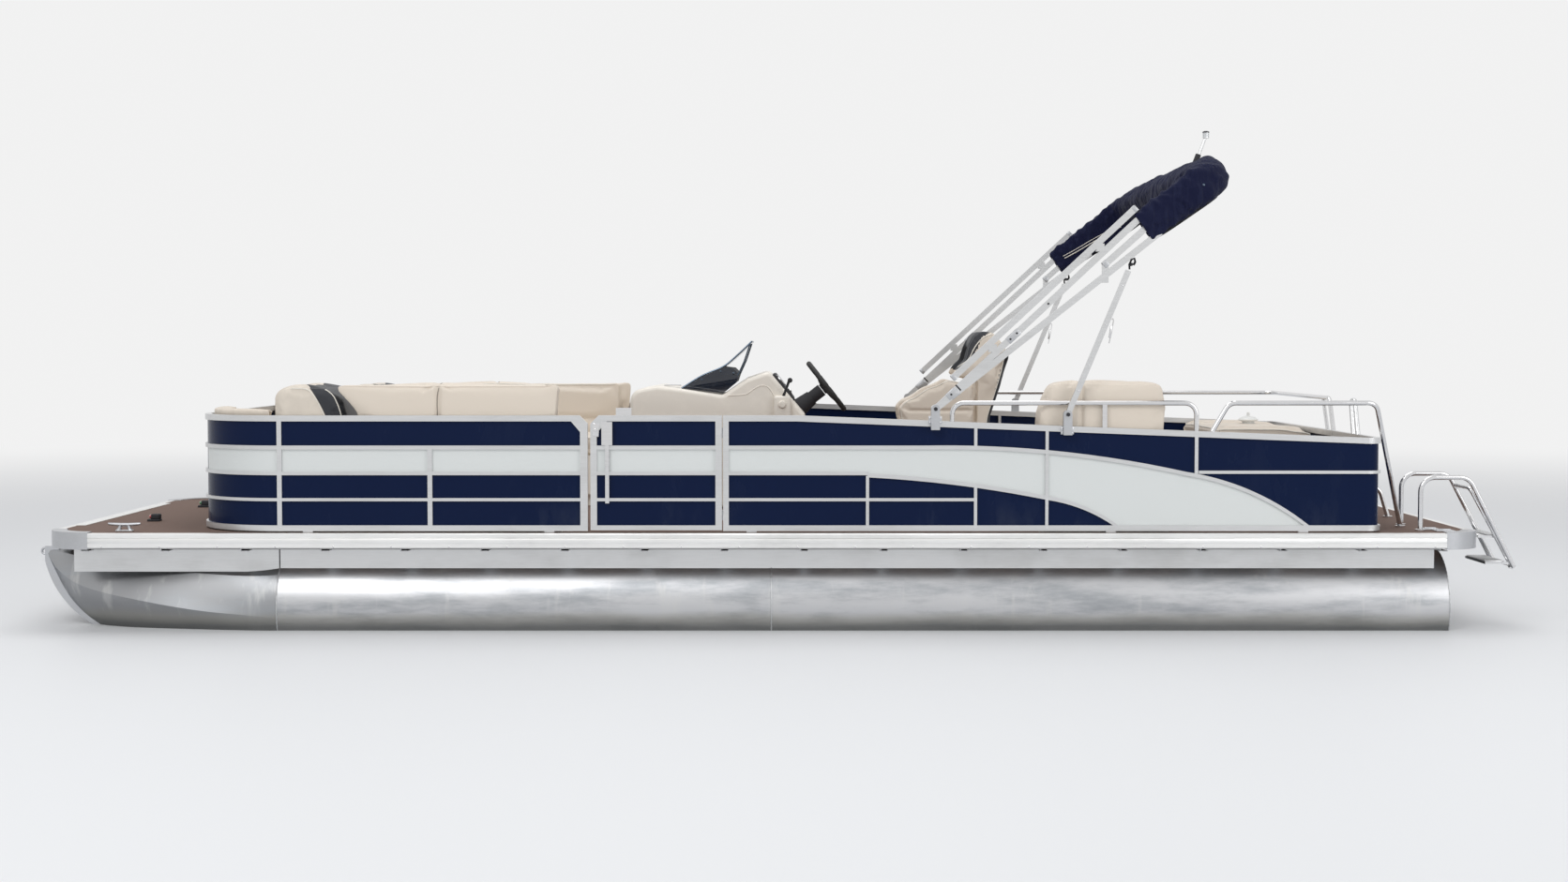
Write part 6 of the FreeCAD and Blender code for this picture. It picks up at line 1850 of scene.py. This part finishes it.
# ---------------------------------------------------------------- folding top
@dataclass
class FoldingTop:
    """Stowed folding top: canvas boot over the folded bows, cast hinges, slides, straps and the light's pole."""

    pivot: tuple[float, float] = (4.548, 1.323)
    main_head: tuple[float, float] = (5.640, 2.347)
    plane_y: float = 1.256
    strut_foot: tuple[float, float] = (5.219, 1.295)
    strut_eye: tuple[float, float] = (5.534, 2.054)
    near_foot: tuple[float, float] = (5.592, 2.237)
    far_foot: tuple[float, float] = (5.462, 2.151)
    roll: tuple[float, float] = (5.950, 2.500)
    bend: float = 0.190
    step: float = 0.009
    sides: int = 44
    wrinkle: float = 0.0075
    rail_top: float = 1.2905
    rail_fall: float = 0.0385
    fall_start: float = 3.847
    rail_face: float = 1.2355

    def build(self, nodes: Parts) -> None:
        """Dress the frame and make the boot, hinges and straps.

        Args:
            nodes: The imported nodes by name.
        """
        dress(nodes, {"top_legs": Finish.RAIL, "top_struts": Finish.RAIL, "top_mounts": Finish.CAST,
                      "anchor_light": Finish.RAIL})
        self.boot()
        self.binding()
        self.hinges()
        self.caps_and_straps()
        self.light()

    @property
    def rise(self) -> Vector:
        """Direction up the boot's arms."""
        return Vector((self.roll[0] - self.near_foot[0], 0.0, self.roll[1] - self.near_foot[1])).normalized()

    @property
    def normal(self) -> Vector:
        """Direction square to the boot's plane, on its upper side."""
        normal = self.rise.cross(ACROSS).normalized()
        return normal if normal.z > 0 else -normal

    def corner(self, side: int) -> list[Vector]:
        """Centre line round one of the boot's corners.

        Args:
            side: PORT or STARBOARD.

        Returns:
            Points from the arm to the roll.
        """
        top = Vector((at(self.roll[0]), 0.0, self.roll[1]))
        centre = top + ACROSS * side * (self.plane_y - self.bend) - self.rise * self.bend
        turns = [math.radians(90 * i / 16) for i in range(17)]
        return [centre + ACROSS * side * self.bend * math.cos(t) + self.rise * self.bend * math.sin(t) for t in turns]

    def line(self) -> list[Vector]:
        """Centre line of the boot: up the port arm, across, and down the starboard arm.

        Returns:
            Points a step apart.
        """
        near = Vector((at(self.near_foot[0]), -self.plane_y, self.near_foot[1]))
        far = Vector((at(self.far_foot[0]), self.plane_y, self.far_foot[1]))
        rough = [near, *self.corner(PORT), *reversed(self.corner(STARBOARD)), far]
        line = [rough[0]]
        for a, b in zip(rough, rough[1:]):
            count = max(1, round((b - a).length / self.step))
            line += [a.lerp(b, (i + 1) / count) for i in range(count)]
        return line

    def ring(self, form: Form, point: Vector, along: Vector, run: float, edge: float) -> list[bmesh.types.BMEdge]:
        """Add one section of the boot, with its gathers, folds and sag.

        Args:
            form: The form it is added to.
            point: Its centre.
            along: Direction of the boot there.
            run: Distance along the boot from the port arm's foot.
            edge: Distance along the boot from the nearer foot.

        Returns:
            Its edges.
        """
        normal = self.normal
        side = along.cross(normal).normalized()
        across = abs(along.y)
        deep = 0.076 + 0.026 * min(1.0, edge / 0.45) + 0.004 * across
        lump = 0.011 * math.exp(-((edge - 0.10) / 0.07) ** 2)
        wide = 0.037 + 0.060 * across ** 2 + 0.012 * min(1.0, edge / 0.5)
        if edge < 0.012:
            wide, deep = wide * (0.86 + 0.14 * edge / 0.012), deep * (0.93 + 0.07 * edge / 0.012)
        ring = bmesh.ops.create_circle(form.bm, cap_ends=False, segments=self.sides, radius=1.0)["verts"]
        for vert in ring:
            c, s = vert.co.x, vert.co.y
            c, s = math.copysign(abs(c) ** 0.72, c), math.copysign(abs(s) ** 0.80, s)
            place = point + side * c * wide + normal * s * (deep + lump * (s > 0))
            sag = 0.010 * across * max(0.0, -s) * math.sin(run * 5.1) ** 2
            gather = noise.noise(Vector((run * 26.0 + 1.6 * s, c * 1.3, 4.0 + across)))
            fold = noise.noise(Vector((run * 9.0 + 2.2 * s + c, s * 2.0, 9.0)))
            fine = noise.noise(Vector((run * 70.0, c * 3.0, s * 3.0)))
            crease = -abs(noise.noise(Vector((run * 17.0 + 0.9 * s, c * 0.8, 21.0))))
            pleat = math.sin(run * 108.0 + 3.0 * fold + 0.8 * s) * (0.5 + gather) * (1.0 - across)
            push = self.wrinkle * (gather * 0.9 + fold * (0.8 + 0.9 * across) + fine * 0.2 + crease * 1.6
                                   + pleat * 0.85) - sag
            vert.co = place + (side * c + normal * s).normalized() * push
        return list({e for v in ring for e in v.link_edges})

    def boot(self) -> None:
        """Canvas bag round the folded bows, with gathers across the arms and slack folds along the roll."""
        line = self.line()
        total = sum((b - a).length for a, b in zip(line, line[1:]))
        form, loops, run = Form(), [], 0.0
        for i, point in enumerate(line):
            before, after = line[max(0, i - 1)], line[min(len(line) - 1, i + 1)]
            run += (point - line[i - 1]).length if i else 0.0
            loops.append(self.ring(form, point, (after - before).normalized(), run, min(run, total - run)))
        for first, second in zip(loops, loops[1:]):
            bmesh.ops.bridge_loops(form.bm, edges=first + second)
        for loop in (loops[0], loops[-1]):
            face = bmesh.ops.contextual_create(form.bm, geom=loop)["faces"]
            bmesh.ops.inset_region(form.bm, faces=face, thickness=0.010, depth=-0.008)
        boot = form.piece("top_boot_canvas", Finish.BOOT, 80)
        smooth = boot.modifiers.new("soft", "SUBSURF")
        smooth.levels = smooth.render_levels = 1
        publish(boot, "folding_top", ["top_boot"])

    @staticmethod
    def drawn(tree: BVHTree, points: list[Vector], lift: float) -> list[Vector]:
        """Points laid on the canvas and evened out along their line.

        Args:
            tree: The canvas.
            points: Points near it.
            lift: How far they end up off it.

        Returns:
            The points on it.
        """
        hits = [place + face * lift for place, face, _, _ in (tree.find_nearest(p) for p in points)]
        for _ in range(14):
            hits = [hits[0], *[(a + b * 2 + c) / 4 for a, b, c in zip(hits, hits[1:], hits[2:])], hits[-1]]
        return hits

    def binding(self) -> None:
        """Black binding along the boot's lower edge, the pale zip on the starboard arm, and two snap studs."""
        line, normal = self.line(), self.normal
        tree = BVHTree.FromObject(bpy.data.objects["top_boot_canvas"], bpy.context.evaluated_depsgraph_get())
        band, zips, studs = Form(), Form(), Form()
        under = self.drawn(tree, [p - normal * 0.12 for p in line[2:-2:3]], 0.0005)
        band.tube(under, 0.011, 8, flat=0.32)
        band.show("boot_binding", Finish.BINDING, "folding_top", "boot_canvas", smooth=60)
        arm = line[-52:-3]
        low = self.drawn(tree, [p - ACROSS * 0.06 - normal * (0.045 - 0.0009 * i) for i, p in enumerate(arm)], 0.0075)
        for lift, radius in ((0.0, 0.0028), (0.016, 0.0020)):
            zips.tube(bezier([tuple(p + normal * lift) for p in low[::11]], 8), radius, 8)
        zips.show("boot_zip", Finish.PIPING, "folding_top", "boot_canvas", smooth=60)
        for index, side in ((43, -1), (len(line) - 60, 1)):
            spot, face, _, _ = tree.find_nearest(line[index] + ACROSS * side * 0.12)
            studs.lathe([(-0.001, 0.006), (0.002, 0.006), (0.004, 0.003), (0.0042, 0.0)], spot, face, 20)
        studs.show("boot_studs", Finish.DARK_TRIM, "folding_top", "stainless")

    def hinges(self) -> None:
        """Cast deck hinges at both feet: base pads with screws, and pivot bolts with black heads."""
        pads, screws, bolts, strut_bolts = Form(), Form(), Form(), Form()
        for side in (PORT, STARBOARD):
            for station, z in (self.pivot, self.strut_foot):
                rail = self.rail_top if station < 5 else self.rail_top - self.rail_fall * (station - self.fall_start)
                face = side * self.rail_face
                pads.box((at(station) - 0.034, min(face, face + side * 0.005), rail - 0.045),
                         (at(station) + 0.034, max(face, face + side * 0.005), rail - 0.004), 0.002)
                for dx in (-0.025, 0.025):
                    for dz in (-0.035, -0.014):
                        screws.ball((at(station) + dx, face + side * 0.005, rail + dz), (0.0045, 0.0022, 0.0045), 10)
                outer = side * (self.plane_y + 0.0245)
                bolts.rod((at(station), outer - side * 0.002, z), (at(station), outer + side * 0.0045, z), 0.0105, 6,
                          bevel=0.001)
            x, z = at(self.strut_eye[0]), self.strut_eye[1]
            strut_bolts.rod((x, side * (self.plane_y - 0.022), z), (x, side * (self.plane_y + 0.022), z), 0.0085, 16,
                            bevel=0.001)
        pads.show("hinge_pads", Finish.CAST, "hull", "rail_aluminium")
        screws.show("hinge_screws", Finish.STAINLESS, "hull", "stainless")
        bolts.show("hinge_bolts", Finish.BLACK, "hull", "black_plastic")
        strut_bolts.show("eye_bolts", Finish.BLACK, "folding_top", "black_plastic")

    def leg(self, low: Place, high: Place, share: float, side: int) -> Vector:
        """Point part of the way up a leg's centre line."""
        return Vector((at(low[0] + (high[0] - low[0]) * share), side * self.plane_y,
                       low[1] + (high[1] - low[1]) * share))

    def sleeve(self, form: Form, leg: Line, share: float, side: int, half: float, size: float,
               bevel: float = 0.003) -> None:
        """Add a square sleeve round a leg.

        Args:
            form: The form it is added to.
            leg: Foot and head of the leg's centre line, as (station, height).
            share: How far up the leg it sits.
            side: PORT or STARBOARD.
            half: Half its length along the leg.
            size: Half its width.
            bevel: Bevel of its edges.
        """
        centre = self.leg(*leg, share, side)
        turn = -math.atan2(leg[1][1] - leg[0][1], leg[1][0] - leg[0][0])
        verts = form.box((-half, -size, -size), (half, size, size), bevel)
        bmesh.ops.transform(form.bm, matrix=Matrix.Translation(centre) @ Matrix.Rotation(turn, 4, "Y"), verts=verts)

    def caps_and_straps(self) -> None:
        """Black caps and cast sleeves on the legs, webbing at the eyes, and pins and a hook on the struts."""
        caps, sleeves, webbing, pins = Form(), Form(), Form(), Form()
        main = (self.pivot, self.main_head)
        second = (self.pivot, (5.680, 2.216))
        forward = ((4.642, 1.486), (5.552, 2.335))
        short = ((5.400, 2.052), (5.660, 2.284))
        for side in (PORT, STARBOARD):
            for leg, share, half, size in ((forward, -0.003, 0.010, 0.0172), (forward, 0.998, 0.012, 0.0172),
                                           (short, 0.02, 0.014, 0.0172), (main, 0.075, 0.030, 0.0180),
                                           (main, 0.36, 0.040, 0.0178), (second, 0.085, 0.026, 0.0178)):
                self.sleeve(sleeves, leg, share, side, half, size)
            self.sleeve(caps, main, 0.105, side, 0.004, 0.0184, 0.001)
            for share in (0.072, 0.345, 0.375, 0.52):
                spot = self.leg(*main, share, side) + ACROSS * side * 0.0175
                caps.rod(spot - ACROSS * side * 0.003, spot + ACROSS * side * 0.003, 0.0055, 14, bevel=0.001)
            eye = Vector((at(self.strut_eye[0]), side * self.plane_y, self.strut_eye[1]))
            webbing.tube([eye + Vector((dx, side * 0.021, dz)) for dx, dz in (
                (-0.010, -0.026), (-0.012, 0.0), (0.0, 0.024), (0.014, 0.030), (0.018, 0.012), (0.010, -0.004))],
                         0.0060, 8, flat=0.45)
        sleeves.show("top_sleeves", Finish.CAST, "folding_top", "rail_aluminium")
        caps.show("top_caps", Finish.BLACK, "folding_top", "black_plastic")
        webbing.show("eye_straps", Finish.BINDING, "folding_top", "boot_canvas")
        for side in (PORT, STARBOARD):
            foot = Vector((at(self.strut_foot[0]), side * self.plane_y, self.strut_foot[1]))
            eye = Vector((at(self.strut_eye[0]), side * self.plane_y, self.strut_eye[1]))
            for share in (0.16, 0.33, 0.60, 0.86):
                spot = foot.lerp(eye, share) + ACROSS * side * 0.012
                pins.rod(spot - ACROSS * side * 0.002, spot + ACROSS * side * 0.003, 0.0045, 12, bevel=0.0008)
            hook = foot.lerp(eye, 0.62) + Vector((0.022, side * 0.014, 0.0))
            bends = ((0.0, 0, 0.010), (0.006, 0, 0.016), (0.010, 0, 0.006), (0.001, 0, -0.050), (-0.012, 0, -0.110))
            pins.tube([hook + Vector(p) for p in bends], 0.0028, 8)
            pins.rod(hook + Vector((-0.001, 0, -0.022)), hook + Vector((-0.010, 0, -0.082)), 0.0055, 12, bevel=0.001)
        pins.show("strut_pins", Finish.STAINLESS, "top_strut", "stainless")

    def light(self) -> None:
        """All-round light: a ribbed lens under its cap on the pole, and the pole's folding foot."""
        low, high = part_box("anchor_light")
        x, y, top = high.x - 0.016, (low.y + high.y) / 2, high.z
        lens, cap = Form(), Form()
        lens.lathe([(-0.012, 0.0), (-0.012, 0.0168), (0.0, 0.0176), (0.012, 0.0168), (0.012, 0.0)],
                   (x, y, top - 0.015), (0, 0, 1), 32)
        cap.lathe([(-0.002, 0.0), (-0.002, 0.018), (0.004, 0.017), (0.007, 0.009), (0.008, 0.0)], (x, y, top),
                  (0, 0, 1), 32)
        cap.rod((low.x + 0.006, y, low.z + 0.004), (low.x + 0.026, y, low.z + 0.056), 0.015, 20, bevel=0.002)
        lens.show("light_lens", Finish.GLASS, "folding_top", "lamp_plastic")
        cap.show("light_cap", Finish.BLACK, "folding_top", "black_plastic")


# ---------------------------------------------------------------- ladder and fittings
@dataclass
class Fittings:
    """Cleats, running lights, ladder treads and deck hardware."""

    deck: float = DECK
    ladder_y: float = -0.952
    ladder_foot: tuple[float, float] = (7.536, 0.505)
    step_share: float = 0.38

    def build(self, nodes: Parts) -> None:
        """Dress the nodes and make the fittings.

        Args:
            nodes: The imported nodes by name.
        """
        dress(nodes, {"ladder_rails": Finish.STAINLESS, "ladder_step_section": Finish.STAINLESS})
        self.cleats()
        self.bow_lights()
        self.ladder()
        self.deck_plates()

    def cleats(self) -> None:
        """Cast horn cleats at the bow with flared ends, and flush ones at the stern."""
        form = Form()
        for side in (PORT, STARBOARD):
            for low, high, inner, outer in ((7.087, 7.170, 0.990, 1.080), (7.120, 7.218, 1.086, 1.183)):
                y_low, y_high = sorted((side * inner, side * outer))
                form.box((at(low), y_low, self.deck), (at(high), y_high, self.deck + 0.0055), 0.0022, 3)
                middle = (y_low + y_high) / 2
                form.rod((at(low) + 0.012, middle, self.deck + 0.006), (at(high) - 0.012, middle, self.deck + 0.006),
                         0.0055, 12, bevel=0.002)
            x, y, z = at(0.400), side * 1.165, self.deck
            form.box((x - 0.045, y - 0.012, z), (x + 0.045, y + 0.012, z + 0.008), 0.003, 3)
            for dx in (-0.024, 0.024):
                form.tube([(x + dx * 1.25, y, z + 0.004), (x + dx, y, z + 0.018), (x + dx * 0.8, y, z + 0.034)],
                          [0.013, 0.008, 0.009], 14)
            horn = bezier([(x - 0.083, y, z + 0.040), (x - 0.055, y, z + 0.037), (x, y, z + 0.035),
                           (x + 0.055, y, z + 0.037), (x + 0.083, y, z + 0.040)], 6)
            form.tube(horn, [0.0035 + 0.0055 * math.sin(math.pi * (0.06 + 0.88 * i / (len(horn) - 1))) ** 0.6
                             for i in range(len(horn))], 14)
        form.show("deck_cleats", Finish.CAST, "hull", "rail_aluminium", ["cleats"])

    def bow_lights(self) -> None:
        """Red and green running lights in black housings."""
        housing = Form()
        for side in (PORT, STARBOARD):
            y = side * 0.510
            low, high = sorted((y - 0.028, y + 0.028))
            housing.box((at(0.332), low, self.deck), (at(0.398), high, self.deck + 0.012), 0.003, 3)
            housing.box((at(0.350), low + 0.004, self.deck + 0.010), (at(0.398), high - 0.004, self.deck + 0.040),
                        0.008, 4)
        housing.show("bow_light_housings", Finish.BLACK, "hull", "black_plastic", ["bow_lights"])
        for name, side, finish in (("port_lens", PORT, Finish.RED_LENS),
                                   ("starboard_lens", STARBOARD, Finish.GREEN_LENS)):
            lens = Form()
            lens.ball((at(0.352), side * 0.510, self.deck + 0.025), (0.016, 0.022, 0.012), 20)
            lens.show("bow_light_" + name, finish, "hull", "lamp_plastic")

    def ladder(self) -> None:
        """Ribbed treads on the fixed and folding sections, and the screws of the foot flanges."""
        fixed, swing, screws = Form(), Form(), Form()
        s, z = self.ladder_foot
        low, high = self.ladder_y - 0.155, self.ladder_y + 0.155
        fixed.box((at(s - 0.143), low, z + 0.026), (at(s - 0.044), high, z + 0.031), 0.002)
        for k in range(7):
            x = at(s - 0.138 + 0.0135 * k)
            fixed.box((x, low + 0.008, z + 0.030), (x + 0.006, high - 0.008, z + 0.0335), 0.0012, 1)
        fixed.show("ladder_fixed_tread", Finish.RAIL, "hull", "stainless")
        s, z = s - 0.219 * self.step_share, z + 0.406 * self.step_share
        low, high = self.ladder_y - 0.130, self.ladder_y + 0.130
        swing.box((at(s - 0.040), low, z + 0.006), (at(s + 0.013), high, z + 0.0105), 0.002)
        for k in range(4):
            x = at(s - 0.037 + 0.0125 * k)
            swing.box((x, low + 0.008, z + 0.0095), (x + 0.006, high - 0.008, z + 0.0130), 0.0012, 1)
        swing.show("ladder_step_tread", Finish.RAIL, "ladder_section", "stainless")
        for side in (-1, 1):
            y = self.ladder_y + side * 0.175
            for k in range(4):
                turn = math.pi / 4 + math.pi / 2 * k
                screws.ball((at(7.051) + 0.019 * math.cos(turn), y + 0.019 * math.sin(turn), self.deck + 0.008),
                            (0.0042, 0.0042, 0.0022), 10)
        screws.show("ladder_screws", Finish.STAINLESS, "hull", "stainless")

    def deck_plates(self) -> None:
        """Bow tread strip and the fuel filler."""
        plates, filler = Form(), Form()
        plates.box((at(0.030), -0.80, self.deck), (at(0.085), 0.80, self.deck + 0.0025), 0.001)
        plates.show("deck_plates", Finish.WHITE, "hull", "lamp_plastic")
        filler.lathe([(0.0, 0.038), (0.004, 0.037), (0.006, 0.030), (0.004, 0.028), (0.004, 0.0)],
                     (at(6.93), 1.05, self.deck), (0, 0, 1), 36)
        filler.box((at(6.93) - 0.018, 1.047, self.deck + 0.003), (at(6.93) + 0.018, 1.053, self.deck + 0.0065), 0.001)
        filler.show("fuel_filler", Finish.STAINLESS, "hull", "stainless")


# ---------------------------------------------------------------- stage
@dataclass
class Stage:
    """Plain floor at the water line, soft lights, a pale world and the camera."""

    eye: Point = (0.06, -12.295, 1.648)
    dip: float = 2.53
    lens: float = 50.0
    floor_size: float = 60.0
    white: Colour = (0.93, 0.93, 0.93)

    def build(self) -> None:
        """Make the floor, the lights, the world and the camera."""
        self.floor()
        self.lights()
        self.world()
        self.camera()
        bpy.context.scene.view_settings.view_transform = "Standard"

    def floor(self) -> None:
        """Pale floor that keeps the shadow and meets the background without an edge."""
        form = Form()
        size = self.floor_size
        form.plate([(-size, -size, WATER_LINE), (size, -size, WATER_LINE), (size, size, WATER_LINE),
                    (-size, size, WATER_LINE)], (0.0, 0.0, -0.01))
        n = Nodes("floor")
        plain = n.add("ShaderNodeBsdfPrincipled", {}, {"Base Color": (0.78, 0.785, 0.79), "Roughness": 0.55})
        pale = n.add("ShaderNodeEmission", {}, {"Color": self.white, "Strength": 0.95})
        far = n.add("ShaderNodeVectorMath", {"operation": "LENGTH"}, {0: n.place}, "Value").above(5.5, 22.0)
        plane = form.piece("floor", Finish.WHITE)
        plane.data.materials.clear()
        plane.data.materials.append(
            n.close(n.add("ShaderNodeMixShader", {}, {0: far * n.straight(), 1: plain, 2: pale})))

    def lights(self) -> None:
        """One large key to port of the bow, a fill from astern and a soft top light."""
        for name, place, aim, size, power in (
                ("key", (-4.5, -9.5, 8.5), (0.0, -0.6, 0.8), 6.0, 360.0),
                ("fill", (8.5, -8.0, 4.5), (1.0, 0.0, 0.8), 6.0, 220.0),
                ("top", (0.0, 1.0, 9.5), (0.0, 0.0, 0.7), 8.0, 300.0)):
            lamp = bpy.data.lights.new(name, "AREA")
            lamp.shape, lamp.size, lamp.energy = "DISK", size, power
            holder = bpy.data.objects.new(name, lamp)
            holder.location = place
            holder.rotation_euler = (Vector(aim) - Vector(place)).to_track_quat("-Z", "Y").to_euler()
            bpy.context.scene.collection.objects.link(holder)

    def world(self) -> None:
        """Soft pale surroundings that light the boat evenly, shown as near white to the camera, metal and glass."""
        world = bpy.data.worlds.new("studio")
        bpy.context.scene.world = world
        n = Nodes("studio", world)
        soft = n.add("ShaderNodeBackground", {}, {"Color": (0.94, 0.96, 1.0), "Strength": 0.62})
        pale = n.add("ShaderNodeBackground", {}, {"Color": self.white, "Strength": 0.95})
        n.close(n.add("ShaderNodeMixShader", {}, {0: n.straight(), 1: soft, 2: pale}), "ShaderNodeOutputWorld")

    def camera(self) -> None:
        """Camera abeam to port, a little above the fence."""
        data = bpy.data.cameras.new("camera")
        data.lens, data.sensor_width = self.lens, 36.0
        data.clip_end = 200.0
        camera = bpy.data.objects.new("camera", data)
        camera.location = self.eye
        camera.rotation_euler = (math.radians(90.0 - self.dip), 0.0, 0.0)
        bpy.context.scene.collection.objects.link(camera)
        bpy.context.scene.camera = camera


def main() -> None:
    """Load the frame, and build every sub-assembly in order."""
    logging.basicConfig(level=logging.INFO, format="%(name)s: %(message)s")
    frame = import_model()
    nodes = frame["nodes"]
    Hull().build(nodes)
    Fences().build(nodes)
    port, starboard = Couch(PORT, 2.645), Couch(STARBOARD, 2.850, back_top=1.426)
    for couch in (port, starboard):
        couch.build()
        CornerPads().build(couch)
    AftBench().build()
    Sunpad().build()
    Furniture().build(nodes)
    Console().build(nodes)
    Wheel().build()
    Chair().build(nodes)
    FoldingTop().build(nodes)
    Fittings().build(nodes)
    Stage().build()
    bpy.context.view_layer.update()


if __name__ == "__main__":
    main()
